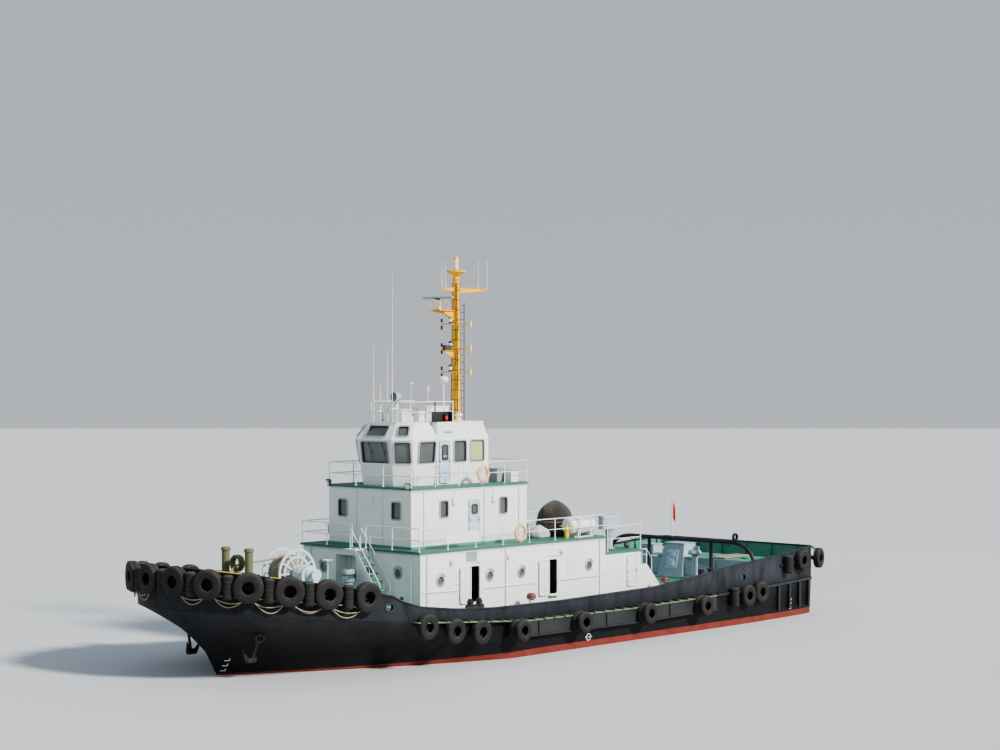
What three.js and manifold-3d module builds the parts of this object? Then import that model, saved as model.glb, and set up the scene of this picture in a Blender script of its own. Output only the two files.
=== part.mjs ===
// Harbour tugboat with two steerable stern thrusters, in millimetres.
// +X points to the bow, +Y to port and +Z up. The origin is on the centreline, amidships, on the waterline.
import * as THREE from 'three'
import Module from 'manifold-3d'
import { mergeVertices } from 'three/addons/utils/BufferGeometryUtils.js'

const wasm = await Module()
wasm.setup()

// Driving sizes
const GAP = 0.3
const HALF_BEAM = 5050
const STEM_X = 18340
const TRANSOM_X = -16500
const TRANSOM_HALF = 4650
const DRAUGHT = 3200
const DECK_SIDE_Z = 1450
const DECK_BOW_RISE = 1240
const DECK_STERN_RISE = 300
const DECK_PLATE = 20
const BULWARK_PLATE = 80
const BOAT_DECK_Z = 4360
const AFT_BOAT_DECK_Z = 3650
const BRIDGE_DECK_Z = 6800
const BROW_Z = 8680
const ROOF_Z = 9360
const DECK_THICK = 90
const WALL = 60
const RAIL_HEIGHT = 900
const MAST_X = 3080
const MAST_TOP_Z = 15600
const THRUSTER_X = -11200
const THRUSTER_Y = 2350
const THRUSTER_AXLE_Z = -2950

// Solids from three.js geometry
function toSolid(geometry) {
  const bare = geometry.index ? geometry.toNonIndexed() : geometry.clone()
  bare.deleteAttribute('normal')
  bare.deleteAttribute('uv')
  const merged = mergeVertices(bare, 1e-3)
  return new wasm.Manifold(new wasm.Mesh({
    numProp: 3,
    vertProperties: new Float32Array(merged.attributes.position.array),
    triVerts: new Uint32Array(merged.index.array),
  }))
}

function toGeometry(solid) {
  const mesh = solid.getMesh()
  const geometry = new THREE.BufferGeometry()
  geometry.setAttribute('position', new THREE.BufferAttribute(new Float32Array(mesh.vertProperties), 3))
  geometry.setIndex(new THREE.BufferAttribute(new Uint32Array(mesh.triVerts), 1))
  const flat = geometry.toNonIndexed()
  flat.computeVertexNormals()
  return flat
}

function join(...solids) {
  return solids.flat(Infinity).reduce((sum, solid) => sum.add(solid))
}

function cut(solid, ...tools) {
  return tools.flat(Infinity).reduce((rest, tool) => rest.subtract(tool), solid)
}

function mirrorY(solid) {
  const mesh = solid.getMesh()
  const points = new Float32Array(mesh.vertProperties)
  const faces = new Uint32Array(mesh.triVerts)
  for (let i = 1; i < points.length; i += 3) points[i] = -points[i]
  for (let i = 0; i < faces.length; i += 3) {
    const swap = faces[i + 1]
    faces[i + 1] = faces[i + 2]
    faces[i + 2] = swap
  }
  return new wasm.Manifold(new wasm.Mesh({ numProp: 3, vertProperties: points, triVerts: faces }))
}

// A solid moved and turned by a matrix
function placed(solid, matrix) {
  const mesh = solid.getMesh()
  const geometry = new THREE.BufferGeometry()
  geometry.setAttribute('position', new THREE.BufferAttribute(new Float32Array(mesh.vertProperties), 3))
  geometry.setIndex(new THREE.BufferAttribute(new Uint32Array(mesh.triVerts), 1))
  geometry.applyMatrix4(matrix)
  return toSolid(geometry)
}

function box(x0, x1, y0, y1, z0, z1) {
  const geometry = new THREE.BoxGeometry(x1 - x0, y1 - y0, z1 - z0)
  geometry.translate((x0 + x1) / 2, (y0 + y1) / 2, (z0 + z1) / 2)
  return toSolid(geometry)
}

// A round bar or cone from one point to another
function rod(from, to, radius, sides = 8, endRadius = radius) {
  const a = new THREE.Vector3(...from)
  const b = new THREE.Vector3(...to)
  const geometry = new THREE.CylinderGeometry(endRadius, radius, a.distanceTo(b), sides)
  geometry.translate(0, a.distanceTo(b) / 2, 0)
  const turn = new THREE.Quaternion().setFromUnitVectors(new THREE.Vector3(0, 1, 0), b.clone().sub(a).normalize())
  geometry.applyQuaternion(turn)
  geometry.translate(a.x, a.y, a.z)
  return toSolid(geometry)
}

// A bent bar through a list of points, mitred where it bends
function bars(points, radius, sides = 6) {
  const at = points.map((p) => new THREE.Vector3(...p))
  const along = at.slice(1).map((p, i) => p.clone().sub(at[i]).normalize())
  const last = along.length - 1
  at[0].addScaledVector(along[0], -radius * 0.6)
  at[last + 1].addScaledVector(along[last], radius * 0.6)
  const across = new THREE.Vector3(0, 0, 1).cross(along[0])
  if (across.length() < 0.1) across.set(1, 0, 0).cross(along[0])
  across.setLength(radius)
  let ring = Array.from({ length: sides }, (_, i) => (
    at[0].clone().add(across.clone().applyAxisAngle(along[0], (i / sides) * Math.PI * 2))
  ))
  const rings = [ring]
  for (let k = 1; k < at.length; k += 1) {
    const normal = along[k - 1].clone().add(along[Math.min(k, last)])
    ring = ring.map((p) => {
      const reach = at[k].clone().sub(p).dot(normal) / along[k - 1].dot(normal)
      return p.clone().addScaledVector(along[k - 1], reach)
    })
    rings.push(ring)
  }
  return skin(rings.map((row) => row.map((p) => p.toArray())))
}

function outlineShape(points) {
  return new THREE.Shape(points.map(([u, v]) => new THREE.Vector2(u, v)))
}

// An outline [x, y] extruded in z
function prismZ(points, z0, z1) {
  const geometry = new THREE.ExtrudeGeometry(outlineShape(points), { depth: z1 - z0, bevelEnabled: false })
  geometry.translate(0, 0, z0)
  return toSolid(geometry)
}

// An outline [x, z] extruded in y
function prismY(points, y0, y1) {
  const geometry = new THREE.ExtrudeGeometry(outlineShape(points), { depth: y1 - y0, bevelEnabled: false })
  geometry.rotateX(Math.PI / 2)
  geometry.translate(0, y1, 0)
  return toSolid(geometry)
}

// A profile [radius, height] turned about an axis through a point
function turned(profile, centre, axis, sides) {
  const geometry = new THREE.LatheGeometry(profile.map(([r, h]) => new THREE.Vector2(r, h)), sides)
  const turn = new THREE.Quaternion()
  turn.setFromUnitVectors(new THREE.Vector3(0, 1, 0), new THREE.Vector3(...axis).normalize())
  geometry.applyQuaternion(turn)
  geometry.translate(...centre)
  return toSolid(facingOut(geometry))
}

// Turns the faces of a closed skin outwards where they face in
function facingOut(geometry) {
  const out = geometry.toNonIndexed()
  const p = out.attributes.position
  let volume = 0
  for (let i = 0; i < p.count; i += 3) {
    const [a, b, c] = [0, 1, 2].map((k) => new THREE.Vector3().fromBufferAttribute(p, i + k))
    volume += a.dot(b.cross(c))
  }
  if (volume > 0) return out
  for (let i = 0; i < p.count; i += 3) {
    const b = [p.getX(i + 1), p.getY(i + 1), p.getZ(i + 1)]
    p.setXYZ(i + 1, p.getX(i + 2), p.getY(i + 2), p.getZ(i + 2))
    p.setXYZ(i + 2, ...b)
  }
  return out
}

// A closed skin through rings of equal point counts, with flat ends
function skin(rings) {
  const count = rings[0].length
  const positions = rings.flat(2)
  const index = []
  for (let k = 0; k + 1 < rings.length; k += 1) {
    for (let i = 0; i < count; i += 1) {
      const j = (i + 1) % count
      const a = k * count + i
      const b = k * count + j
      index.push(a, b, b + count, a, b + count, a + count)
    }
  }
  const last = (rings.length - 1) * count
  for (const [a, b, c] of endFaces(rings[0])) index.push(a, c, b)
  for (const [a, b, c] of endFaces(rings[0])) index.push(last + a, last + b, last + c)
  const geometry = new THREE.BufferGeometry()
  geometry.setAttribute('position', new THREE.BufferAttribute(new Float32Array(positions), 3))
  geometry.setIndex(index)
  return toSolid(facingOut(geometry))
}

// Triangles over a flat ring, in the ring's own order
function endFaces(ring) {
  const points = ring.map((p) => new THREE.Vector3(...p))
  const normal = new THREE.Vector3()
  points.forEach((p, i) => normal.add(p.clone().cross(points[(i + 1) % points.length])))
  const size = new THREE.Vector3(Math.abs(normal.x), Math.abs(normal.y), Math.abs(normal.z))
  const drop = size.x >= size.y && size.x >= size.z ? 'x' : size.y >= size.z ? 'y' : 'z'
  const [u, v] = { x: ['y', 'z'], y: ['z', 'x'], z: ['x', 'y'] }[drop]
  const flat = points.map((p) => new THREE.Vector2(p[u], p[v]))
  const turned = normal[drop] < 0
  if (turned) flat.forEach((p) => { p.x = -p.x })
  return THREE.ShapeUtils.triangulateShape(flat, [])
}

// Hull lines. Each waterline has its height (z below the water, share of the deck height above it),
// its stem, bow length and fullness, half breadth, and its stern end, stern half breadth and run.
const WATERLINES = [
  // z, share, stem x, bow length, fullness, half breadth, stern x, stern half, run start x
  [-3200, 0, 11600, 9000, 1.25, 2300, -5800, 1500, -1000],
  [-2700, 0, 14200, 11200, 1.2, 3900, -7300, 2900, -2000],
  [-1700, 0, 15400, 11600, 1.15, 4750, -9600, 4200, -4000],
  [-900, 0, 15800, 11600, 1.15, 4920, -13600, 4450, -7500],
  [0, 0, 16000, 11000, 1.15, 4980, -16450, 4600, -9000],
  [0, 0.33, 16500, 11000, 1.3, 5010, -16470, 4620, -9000],
  [0, 0.67, 17300, 9600, 1.7, 5035, -16485, 4635, -9000],
  [0, 1, STEM_X, 7200, 2.4, HALF_BEAM, TRANSOM_X, TRANSOM_HALF, -9000],
]
const BOW_STEPS = 11
const RUN_STEPS = 4
const CORNER_RADIUS = 450

function halfOutline(line, grow = 0) {
  const [, , stem, bow, fullness, half, stern, sternHalf, run] = line
  const points = []
  for (let i = 0; i <= BOW_STEPS; i += 1) {
    const turn = (i / BOW_STEPS) * (Math.PI / 2)
    const power = 2 / fullness
    const x = stem - bow + (bow + grow) * Math.max(Math.cos(turn), 0) ** power
    const y = (half + grow) * Math.sin(turn) ** power
    points.push([i === BOW_STEPS ? stem - bow : x, i === 0 ? 0 : y])
  }
  points.push([(stem - bow + run) / 2, half + grow])
  for (let i = 0; i < RUN_STEPS; i += 1) {
    const x = run + (i / RUN_STEPS) * (stern + CORNER_RADIUS - run)
    const share = (run - x) / (run - stern)
    points.push([x, half + grow - (half - sternHalf) * share ** 2])
  }
  for (let i = 0; i <= 2; i += 1) {
    const turn = (i / 2) * (Math.PI / 2)
    points.push([
      stern + CORNER_RADIUS - (CORNER_RADIUS + grow) * Math.sin(turn),
      sternHalf - CORNER_RADIUS + (CORNER_RADIUS + grow) * Math.cos(turn),
    ])
  }
  return points
}

const DECK_LINE = halfOutline(WATERLINES[WATERLINES.length - 1])

function smoothSheer(x) {
  const fore = Math.max(x - 3000, 0) / (STEM_X - 3000)
  const aft = Math.max(-x, 0) / -TRANSOM_X
  return DECK_SIDE_Z + DECK_BOW_RISE * fore ** 1.25 + DECK_STERN_RISE * aft ** 1.6
}

// Straight between the rows [x, value] of a table that runs from the bow aft
function along(table, x) {
  if (x >= table[0][0]) return table[0][1]
  for (let i = 0; i + 1 < table.length; i += 1) {
    const [x0, v0] = table[i]
    const [x1, v1] = table[i + 1]
    if (x >= x1) return v1 + ((v0 - v1) * (x - x1)) / (x0 - x1)
  }
  return table[table.length - 1][1]
}

const SHEER = DECK_LINE.map(([x]) => [x, smoothSheer(x)])
const deckZ = (x) => along(SHEER, x)

function hullShape(grow) {
  const rings = WATERLINES.map((line) => {
    const half = halfOutline(line, grow)
    return half.map(([x, y], i) => {
      const top = SHEER[i][1]
      return [x, y, line[1] > 0 ? line[1] * top : line[0]]
    })
  })
  rings[0] = rings[0].map(([x, y, z]) => [x, y, z - grow])
  const positions = []
  const index = []
  const count = DECK_LINE.length
  const at = (k, i, side) => 2 * (k * count + i) + (side > 0 ? 0 : 1)
  for (const ring of rings) {
    for (const [x, y, z] of ring) positions.push(x, y, z, x, -y, z)
  }
  const quad = (a, b, c, d) => index.push(a, b, c, a, c, d)
  for (let k = 0; k + 1 < rings.length; k += 1) {
    for (let i = 0; i + 1 < count; i += 1) {
      quad(at(k, i, 1), at(k, i + 1, 1), at(k + 1, i + 1, 1), at(k + 1, i, 1))
      quad(at(k, i, -1), at(k + 1, i, -1), at(k + 1, i + 1, -1), at(k, i + 1, -1))
    }
    quad(at(k, count - 1, 1), at(k, count - 1, -1), at(k + 1, count - 1, -1), at(k + 1, count - 1, 1))
  }
  const last = rings.length - 1
  for (let i = 0; i + 1 < count; i += 1) {
    quad(at(0, i, 1), at(0, i, -1), at(0, i + 1, -1), at(0, i + 1, 1))
    quad(at(last, i, 1), at(last, i + 1, 1), at(last, i + 1, -1), at(last, i, -1))
  }
  const geometry = new THREE.BufferGeometry()
  geometry.setAttribute('position', new THREE.BufferAttribute(new Float32Array(positions), 3))
  geometry.setIndex(index)
  return toSolid(dropSlivers(geometry))
}

// Leaves out the triangles that close to nothing at the stem
function dropSlivers(geometry) {
  const flat = geometry.toNonIndexed()
  const p = flat.attributes.position
  const kept = []
  for (let i = 0; i < p.count; i += 3) {
    const corner = [0, 1, 2].map((k) => new THREE.Vector3().fromBufferAttribute(p, i + k))
    if (corner[0].distanceTo(corner[1]) < 1e-2) continue
    if (corner[1].distanceTo(corner[2]) < 1e-2) continue
    if (corner[2].distanceTo(corner[0]) < 1e-2) continue
    for (const point of corner) kept.push(point.x, point.y, point.z)
  }
  const out = new THREE.BufferGeometry()
  out.setAttribute('position', new THREE.BufferAttribute(new Float32Array(kept), 3))
  return out
}

// Everything under the deck, raised by a height, for trimming what stands on it
function underDeck(raise) {
  const top = SHEER.map(([x, z]) => [x, z + raise])
  const [bowX, bowZ] = top[0]
  const [sternX, sternZ] = top[top.length - 1]
  const unique = top.filter(([x], i) => i === 0 || x < top[i - 1][0] - 1e-6)
  return prismY([
    [sternX - 2000, -4000], [bowX + 2000, -4000], [bowX + 2000, bowZ], ...unique, [sternX - 2000, sternZ],
  ], -8000, 8000)
}

const onDeckPlate = (solid) => cut(solid, underDeck(DECK_PLATE + 2 * GAP))
const onHullTop = (solid) => cut(solid, underDeck(GAP))
const hullCutter = hullShape(1.5 * GAP)
const againstHull = (solid) => cut(solid, hullCutter)

// Half breadth at the deck's edge, aft of the bow's curve
const edgeY = (x) => along(DECK_LINE.slice(BOW_STEPS), x)

// The deck's edge from one x to another as stations with the outward direction
function edgePath(fromX, toX, side) {
  const half = DECK_LINE
  const stations = []
  const pointAt = (x) => {
    for (let i = 0; i + 1 < half.length; i += 1) {
      const [x0, y0] = half[i]
      const [x1, y1] = half[i + 1]
      if (x <= x0 && x >= x1 && x0 > x1) return [x, y1 + ((y0 - y1) * (x - x1)) / (x0 - x1)]
    }
    return null
  }
  if (fromX < STEM_X) stations.push(pointAt(fromX))
  for (const [x, y] of half) if (x < fromX - 1 && x > toX + 1) stations.push([x, y])
  if (fromX >= STEM_X) stations.unshift([half[0][0], 0])
  if (toX > TRANSOM_X) stations.push(pointAt(toX))
  else stations.push(half[half.length - 1])
  return withNormals(stations.filter(Boolean)).map((s) => ({ ...s, y: s.y * side, ny: s.ny * side }))
}

function withNormals(points) {
  return points.map(([x, y], i) => {
    const before = points[Math.max(i - 1, 0)]
    const after = points[Math.min(i + 1, points.length - 1)]
    let nx = after[1] - before[1]
    let ny = -(after[0] - before[0])
    if (Math.abs(y) < 1e-6) [nx, ny] = [1, 0]
    const length = Math.hypot(nx, ny)
    return { x, y, nx: nx / length, ny: ny / length }
  })
}

// The whole way round the bow, from one side to the other
function bowPath(fromX) {
  const port = edgePath(STEM_X, fromX, 1)
  const starboard = edgePath(STEM_X, fromX, -1)
  return [...port.reverse(), ...starboard.slice(1)]
}

// The whole way round the stern
function sternPath(fromX) {
  const port = edgePath(fromX, TRANSOM_X - 1, 1)
  const starboard = edgePath(fromX, TRANSOM_X - 1, -1)
  return [...port, ...starboard.reverse()]
}

// A band that follows a path, between two offsets from it and two heights
function band(path, inner, outer, low, high) {
  const value = (v, x) => (typeof v === 'function' ? v(x) : v)
  return skin(path.map(({ x, y, nx, ny }) => {
    const near = [x + nx * inner, y + ny * inner]
    const far = [x + nx * outer, y + ny * outer]
    return [
      [...far, value(low, x)], [...far, value(high, x)], [...near, value(high, x)], [...near, value(low, x)],
    ]
  }))
}

// Bulwark
const BULWARK_TOP = [
  // x, z of the cap
  [18600, 4280], [14600, 3620], [12000, 3060], [11750, 3040], [11300, 2780], [10200, 2470], [8200, 2220],
  [6000, 2090], [2000, 2060], [-4000, 2150], [-6500, 2350], [-10000, 2690], [-14300, 3000], [-17000, 3160],
]
const bulwarkTop = (x) => along(BULWARK_TOP, x)
const BOW_JOINT_X = 10800
const STERN_JOINT_X = -8800

function bulwark(path) {
  return onHullTop(skin(path.map(({ x, y, nx, ny }) => {
    const top = bulwarkTop(x)
    const section = [
      [0, deckZ(x) - 200], [0, top - 30], [40, top - 30], [40, top + 30],
      [-BULWARK_PLATE - 60, top + 30], [-BULWARK_PLATE, top - 30], [-BULWARK_PLATE, deckZ(x) - 200],
    ]
    return section.map(([out, z]) => [x + nx * out, y + ny * out, z])
  })))
}

// Tyres: a fat ring about its axis, and a stack of small ones as an upright roll
function tyre(centre, axis, outer = 575, hole = 230, width = 400, sides = 9) {
  const half = width / 2
  const shoulder = outer - (outer - hole) * 0.22
  return turned([
    [hole, -half], [shoulder, -half], [outer, 0], [shoulder, half], [hole, half], [hole, -half],
  ], centre, axis, sides)
}

function tyrePair(centre, axis, outer, hole, width, sides = 9) {
  const half = width / 2
  return turned([
    [hole, -half], [outer, -half * 0.9], [outer * 0.85, 0], [outer, half * 0.9], [hole, half], [hole, -half],
  ], centre, axis, sides)
}

function roll(centre, radius, height) {
  const half = height / 2
  return turned([[0, -half], [radius, -half], [radius * 0.86, 0], [radius, half], [0, half]], centre, [0, 0, 1], 6)
}

const BOW_TYRE_ARC = [730, 2150, 3560, 4960, 6400, 8050]
const bowTyreZ = (x) => 3130 + (x - 13450) * 0.132

// Walks round the bow from the stem by a length along the edge
function bowPoint(distance, side) {
  const path = edgePath(STEM_X, BOW_JOINT_X - 4000, side)
  let left = distance
  for (let i = 0; i + 1 < path.length; i += 1) {
    const a = path[i]
    const b = path[i + 1]
    const step = Math.hypot(b.x - a.x, b.y - a.y)
    if (left <= step) {
      const t = left / step
      const nx = a.nx + (b.nx - a.nx) * t
      const ny = a.ny + (b.ny - a.ny) * t
      const length = Math.hypot(nx, ny)
      return { x: a.x + (b.x - a.x) * t, y: a.y + (b.y - a.y) * t, nx: nx / length, ny: ny / length }
    }
    left -= step
  }
  return path[path.length - 1]
}

function bowFender() {
  const pieces = [band(bowPath(12900), GAP, 90, (x) => bowTyreZ(x) - 120, (x) => bowTyreZ(x) + 120)]
  const stem = bowPoint(0, 1)
  pieces.push(roll([stem.x + 215, 0, bowTyreZ(stem.x) - 40], 200, 900))
  for (const side of [1, -1]) {
    BOW_TYRE_ARC.forEach((arc, i) => {
      const s = bowPoint(arc, side)
      pieces.push(tyre([s.x + s.nx * 260, s.y + s.ny * 260, bowTyreZ(s.x)], [s.nx, s.ny, 0]))
      if (i + 1 === BOW_TYRE_ARC.length) return
      const r = bowPoint((arc + BOW_TYRE_ARC[i + 1]) / 2, side)
      pieces.push(roll([r.x + r.nx * 240, r.y + r.ny * 240, bowTyreZ(r.x) - 40], 200, 900))
    })
  }
  return cut(join(pieces), band(bowPath(BOW_JOINT_X), -900, GAP, 1000, 6000))
}

// Side fender: boxed strake with ribs, sloping ledge above it, and the tyres it carries
const STRAKE_FORE_X = 4850
const STRAKE_AFT_X = -8000
const SIDE_TYRES_X = [5120, 1380, -2840, -6740]
const FORE_GROUP = [
  // x, z, outer radius
  [10060, 1720, 490], [8560, 1430, 490], [7110, 1260, 490],
]

function sideFender() {
  const strake = edgePath(STRAKE_FORE_X, STRAKE_AFT_X, 1)
  const ledge = edgePath(10600, STRAKE_AFT_X, 1)
  const low = (x) => deckZ(x) - 690
  const pieces = [
    band(strake, -300, 250, low, (x) => deckZ(x) - 60),
    band(ledge, -300, 300, (x) => deckZ(x) - 70, (x) => deckZ(x) - 20),
    band(strake, -300, 300, low, (x) => low(x) + 60),
  ]
  for (let x = STRAKE_FORE_X - 1100; x > STRAKE_AFT_X; x -= 2110) {
    pieces.push(box(x - 35, x + 35, HALF_BEAM, HALF_BEAM + 300, low(x), deckZ(x) - 40))
  }
  for (const x of SIDE_TYRES_X) {
    pieces.push(tyrePair([x, HALF_BEAM + 490, 1180], [0, 1, 0], 440, 190, 580))
  }
  for (const [x, z, outer] of FORE_GROUP) pieces.push(tyre([x, HALF_BEAM + 230, z], [0, 1, 0], outer, 200, 330))
  return againstHull(join(pieces))
}

// Stern quarter: upright rubbing bars, a carrying bar, and the tyres that hang on it
const QUARTER_BARS_X = [-13110, -14040, -14930, -15830]
const QUARTER_TYRES = [
  // x, z, outer radius
  [-10400, 1300, 480], [-11410, 1390, 480],
]

function sternFender() {
  const run = edgePath(-8300, TRANSOM_X + 400, 1)
  const carrier = band(run, -300, 110, (x) => deckZ(x) - 130, (x) => deckZ(x) - 20)
  const pieces = [carrier]
  for (const x of QUARTER_BARS_X) {
    const y = edgeY(x)
    pieces.push(box(x - 60, x + 60, y - 300, y + 110, 400, deckZ(x) - 30))
  }
  for (const [x, z, outer] of QUARTER_TYRES) {
    const y = edgeY(x)
    pieces.push(tyre([x, y + 200, z], [0, 1, 0], outer, 200, 300))
  }
  pieces.push(roll([-9350, edgeY(-9350) + 230, 1310], 210, 860))
  return againstHull(join(pieces))
}

// Upper tyres on the stern corner hang on the bulwark
function sternCornerFender() {
  const path = edgePath(-13300, TRANSOM_X - 1, 1)
  const pieces = [band(path, GAP, 70, (x) => bulwarkTop(x) - 560, (x) => bulwarkTop(x) - 440)]
  const corner = CORNER_RADIUS * (1 - Math.SQRT1_2)
  pieces.push(tyre([-14980, edgeY(-14980) + 200, 2570], [-0.08, 1, 0], 480, 200, 300))
  const [cornerX, cornerY] = [TRANSOM_X + corner, TRANSOM_HALF - corner]
  pieces.push(tyre([cornerX - 260, cornerY + 260, 2570], [-1, 1, 0], 480, 200, 300))
  pieces.push(rod([cornerX, cornerY, 2570], [cornerX - 260, cornerY + 260, 2570], 260, 10))
  pieces.push(roll([-13700, edgeY(-13700) + 240, 2470], 210, 800))
  return cut(join(pieces), band(path, -900, GAP, 500, 4000))
}

// Anchors under their hawse bolsters on the flare of the bow
function anchor() {
  const hawse = [15700, 2120, 1560]
  const crown = [15800, 1760, 620]
  return againstHull(join(
    rod([15450, 1600, 1720], hawse, 190, 8),
    rod(hawse, crown, 60, 6),
    bars([[15480, 1620, 1080], [15560, 1700, 690], crown, [16020, 1700, 690], [16100, 1620, 1080]], 85, 4),
  ))
}

// Deckhouse on the main deck
const HOUSE = { fore: 8600, aft: -2600, half: 3420, lowAft: -5000, alcoveDepth: 700, alcove: [-1450, -250] }
const HOUSE_DOORS = [
  // fore x of the opening, sill z
  [5790, 2170], [1080, 2130],
]
const DOOR_WIDTH = 560
const DOOR_HEIGHT = 1440
const STORE_DOOR = { fore: -4050, sill: 2100, width: 600, height: 1260 }
const PORTHOLES_X = [7490, 4660, 2760, -1490]
const PORTHOLE_R = 190

function walls(outer, z0, z1, thick = WALL) {
  const centre = outer.reduce(([sx, sy], [x, y]) => [sx + x / outer.length, sy + y / outer.length], [0, 0])
  return cut(prismZ(outer, z0, z1), prismZ(insetOutline(outer, thick, centre), z0 - 10, z1 + 10))
}

// Moves every edge of a counterclockwise outline inwards by a distance
function insetOutline(points, distance) {
  const count = points.length
  const lines = points.map(([x, y], i) => {
    const [x1, y1] = points[(i + 1) % count]
    const length = Math.hypot(x1 - x, y1 - y)
    const [dx, dy] = [(x1 - x) / length, (y1 - y) / length]
    return { x: x - dy * distance, y: y + dx * distance, dx, dy }
  })
  return lines.map((line, i) => {
    const before = lines[(i + count - 1) % count]
    const cross = before.dx * line.dy - before.dy * line.dx
    const t = ((line.x - before.x) * line.dy - (line.y - before.y) * line.dx) / cross
    return [before.x + before.dx * t, before.y + before.dy * t]
  })
}

function doorLug(hingeX, wallY, z) {
  return box(hingeX - 12, hingeX + 12, wallY - 20, wallY + 62, z - 40, z)
}

const LEAF_GAP = 20
const HINGE_OUT = 50

function lugs({ fore, wallY, sill, height, side }) {
  const hingeX = fore + LEAF_GAP
  const heights = [sill + height * 0.15, sill + height * 0.85]
  const solids = heights.map((z) => doorLug(hingeX, wallY, z))
  return side > 0 ? solids : solids.map(mirrorY)
}

// A door leaf that lies outside its opening when closed, hinged at its fore edge
function doorLeaf({ fore, wallY, sill, height, width, open, side }) {
  const hingeX = fore + LEAF_GAP
  const hingeY = wallY + HINGE_OUT
  const aft = fore - width - 30
  const direction = open ? -1 : 1
  const near = hingeX - direction * LEAF_GAP
  const far = hingeX - direction * (hingeX - aft)
  const yNear = hingeY - direction * 40
  const yFar = hingeY + direction * 10
  const xs = [Math.min(near, far), Math.max(near, far)]
  const ys = [Math.min(yNear, yFar), Math.max(yNear, yFar)]
  const pieces = [box(...xs, ...ys, sill - 30, sill + height + 30)]
  for (const z of [sill + height * 0.15, sill + height * 0.85]) {
    pieces.push(rod([hingeX, hingeY, z + GAP], [hingeX, hingeY, z + 60], 12, 6))
    pieces.push(box(
      Math.min(hingeX, near - direction * 6), Math.max(hingeX, near - direction * 6),
      hingeY - 8, hingeY + 8, z + 5, z + 55,
    ))
  }
  const leaf = join(pieces)
  return side > 0 ? leaf : mirrorY(leaf)
}

const houseDoor = (i, side) => ({
  fore: HOUSE_DOORS[i][0],
  wallY: HOUSE.half,
  sill: HOUSE_DOORS[i][1],
  height: DOOR_HEIGHT,
  width: DOOR_WIDTH,
  open: true,
  side,
})
const storeDoor = (side) => ({ ...STORE_DOOR, wallY: HOUSE.half, open: false, side })

function deckhouse() {
  const { fore, aft, half, alcove, alcoveDepth } = HOUSE
  const outline = [
    [fore, alcove[1]], [fore, half], [aft, half], [aft, -half], [fore, -half], [fore, alcove[0]],
    [fore - alcoveDepth, alcove[0]], [fore - alcoveDepth, alcove[1]],
  ]
  const top = BOAT_DECK_Z - DECK_THICK - GAP
  const lintel = box(fore - alcoveDepth, fore, alcove[0] - 10, alcove[1] + 10, 4000, top)
  const pieces = [walls(outline, 1000, top), lintel]
  const holes = []
  for (const side of [1, -1]) {
    for (const i of [0, 1]) {
      const door = houseDoor(i, side)
      holes.push(box(
        door.fore - door.width, door.fore, Math.min(0, side * (half + 50)), Math.max(0, side * (half + 50)),
        door.sill, door.sill + door.height,
      ))
      pieces.push(...lugs(door))
    }
    for (const x of PORTHOLES_X) {
      holes.push(rod([x, side * (half - 200), 3160], [x, side * (half + 200), 3160], PORTHOLE_R, 8))
    }
  }
  for (const y of [-2180, 570, 2180]) {
    holes.push(rod([fore - 200, y, 3450], [fore + 200, y, 3450], PORTHOLE_R, 8))
  }
  return onDeckPlate(cut(join(pieces), holes))
}

// The lower after end of the deckhouse, under the stepped deck, with a stair block on each side
const STAIR = {
  // x, z of the cheek from the landing to the deck
  cheek: [[-5420, 2970], [-6620, 1660]],
  width: 600,
  steps: 5,
}

function stairBlock() {
  const { half, lowAft } = HOUSE
  const [[x0, z0], [x1, z1]] = STAIR.cheek
  const tread = [[lowAft + 30, 1300], [lowAft + 30, z0 - 60], [x0 + 60, z0 - 60]]
  for (let i = 1; i <= STAIR.steps; i += 1) {
    const z = z0 - 60 - ((z0 - z1) * i) / (STAIR.steps + 1)
    const x = x0 + 60 + ((x1 - x0) * (i - 1)) / (STAIR.steps + 1)
    tread.push([x, z], [x + (x1 - x0) / (STAIR.steps + 1), z])
  }
  tread.push([x1 + 60, 1300])
  const cheek = [[lowAft + 30, 1300], [lowAft + 30, z0], [x0, z0], [x1, z1], [x1, 1300]]
  return join(
    prismY(tread.reverse(), half - STAIR.width, half - 10),
    prismY([...cheek].reverse(), half - 40, half),
    prismY([...cheek].reverse(), half - STAIR.width - 40, half - STAIR.width),
    bars([[x0 + 320, half - 20, z0 - 20], [x0 + 320, half - 20, z0 + 640]], 22, 4),
    bars([[x0, half - 20, z0 - 20], [x0, half - 20, z0 + 640]], 22, 4),
    bars([[x0 + 320, half - 20, z0 + 640], [x0, half - 20, z0 + 640], [x0 - 360, half - 20, z0 + 200]], 22, 4),
    bars([[x0 - 360, half - 20, z0 + 200], [x0 - 360, half - 20, z0 - 450]], 22, 4),
  )
}

function afterHouse() {
  const { aft, half, lowAft } = HOUSE
  const top = AFT_BOAT_DECK_Z - DECK_THICK - GAP
  const fore = aft - GAP
  const shell = cut(box(lowAft, fore, -half, half, 1000, top), box(lowAft + WALL, aft + 1, -half + WALL, half - WALL, 900, 4500))
  const holes = []
  const pieces = [shell, stairBlock(), mirrorY(stairBlock())]
  for (const side of [1, -1]) {
    const door = storeDoor(side)
    holes.push(box(
      door.fore - door.width, door.fore, side > 0 ? 3000 : -4000, side > 0 ? 4000 : -3000,
      door.sill, door.sill + door.height,
    ))
    pieces.push(...lugs(door))
  }
  return onDeckPlate(cut(join(pieces), holes))
}

// Decks above the main deck
function boatDeck() {
  const { fore, aft, half } = HOUSE
  return prismZ([
    [fore + 120, -half - 60], [fore + 120, half + 60], [aft, half + 60], [aft, -half - 60],
  ].reverse(), BOAT_DECK_Z - DECK_THICK, BOAT_DECK_Z)
}

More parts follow.
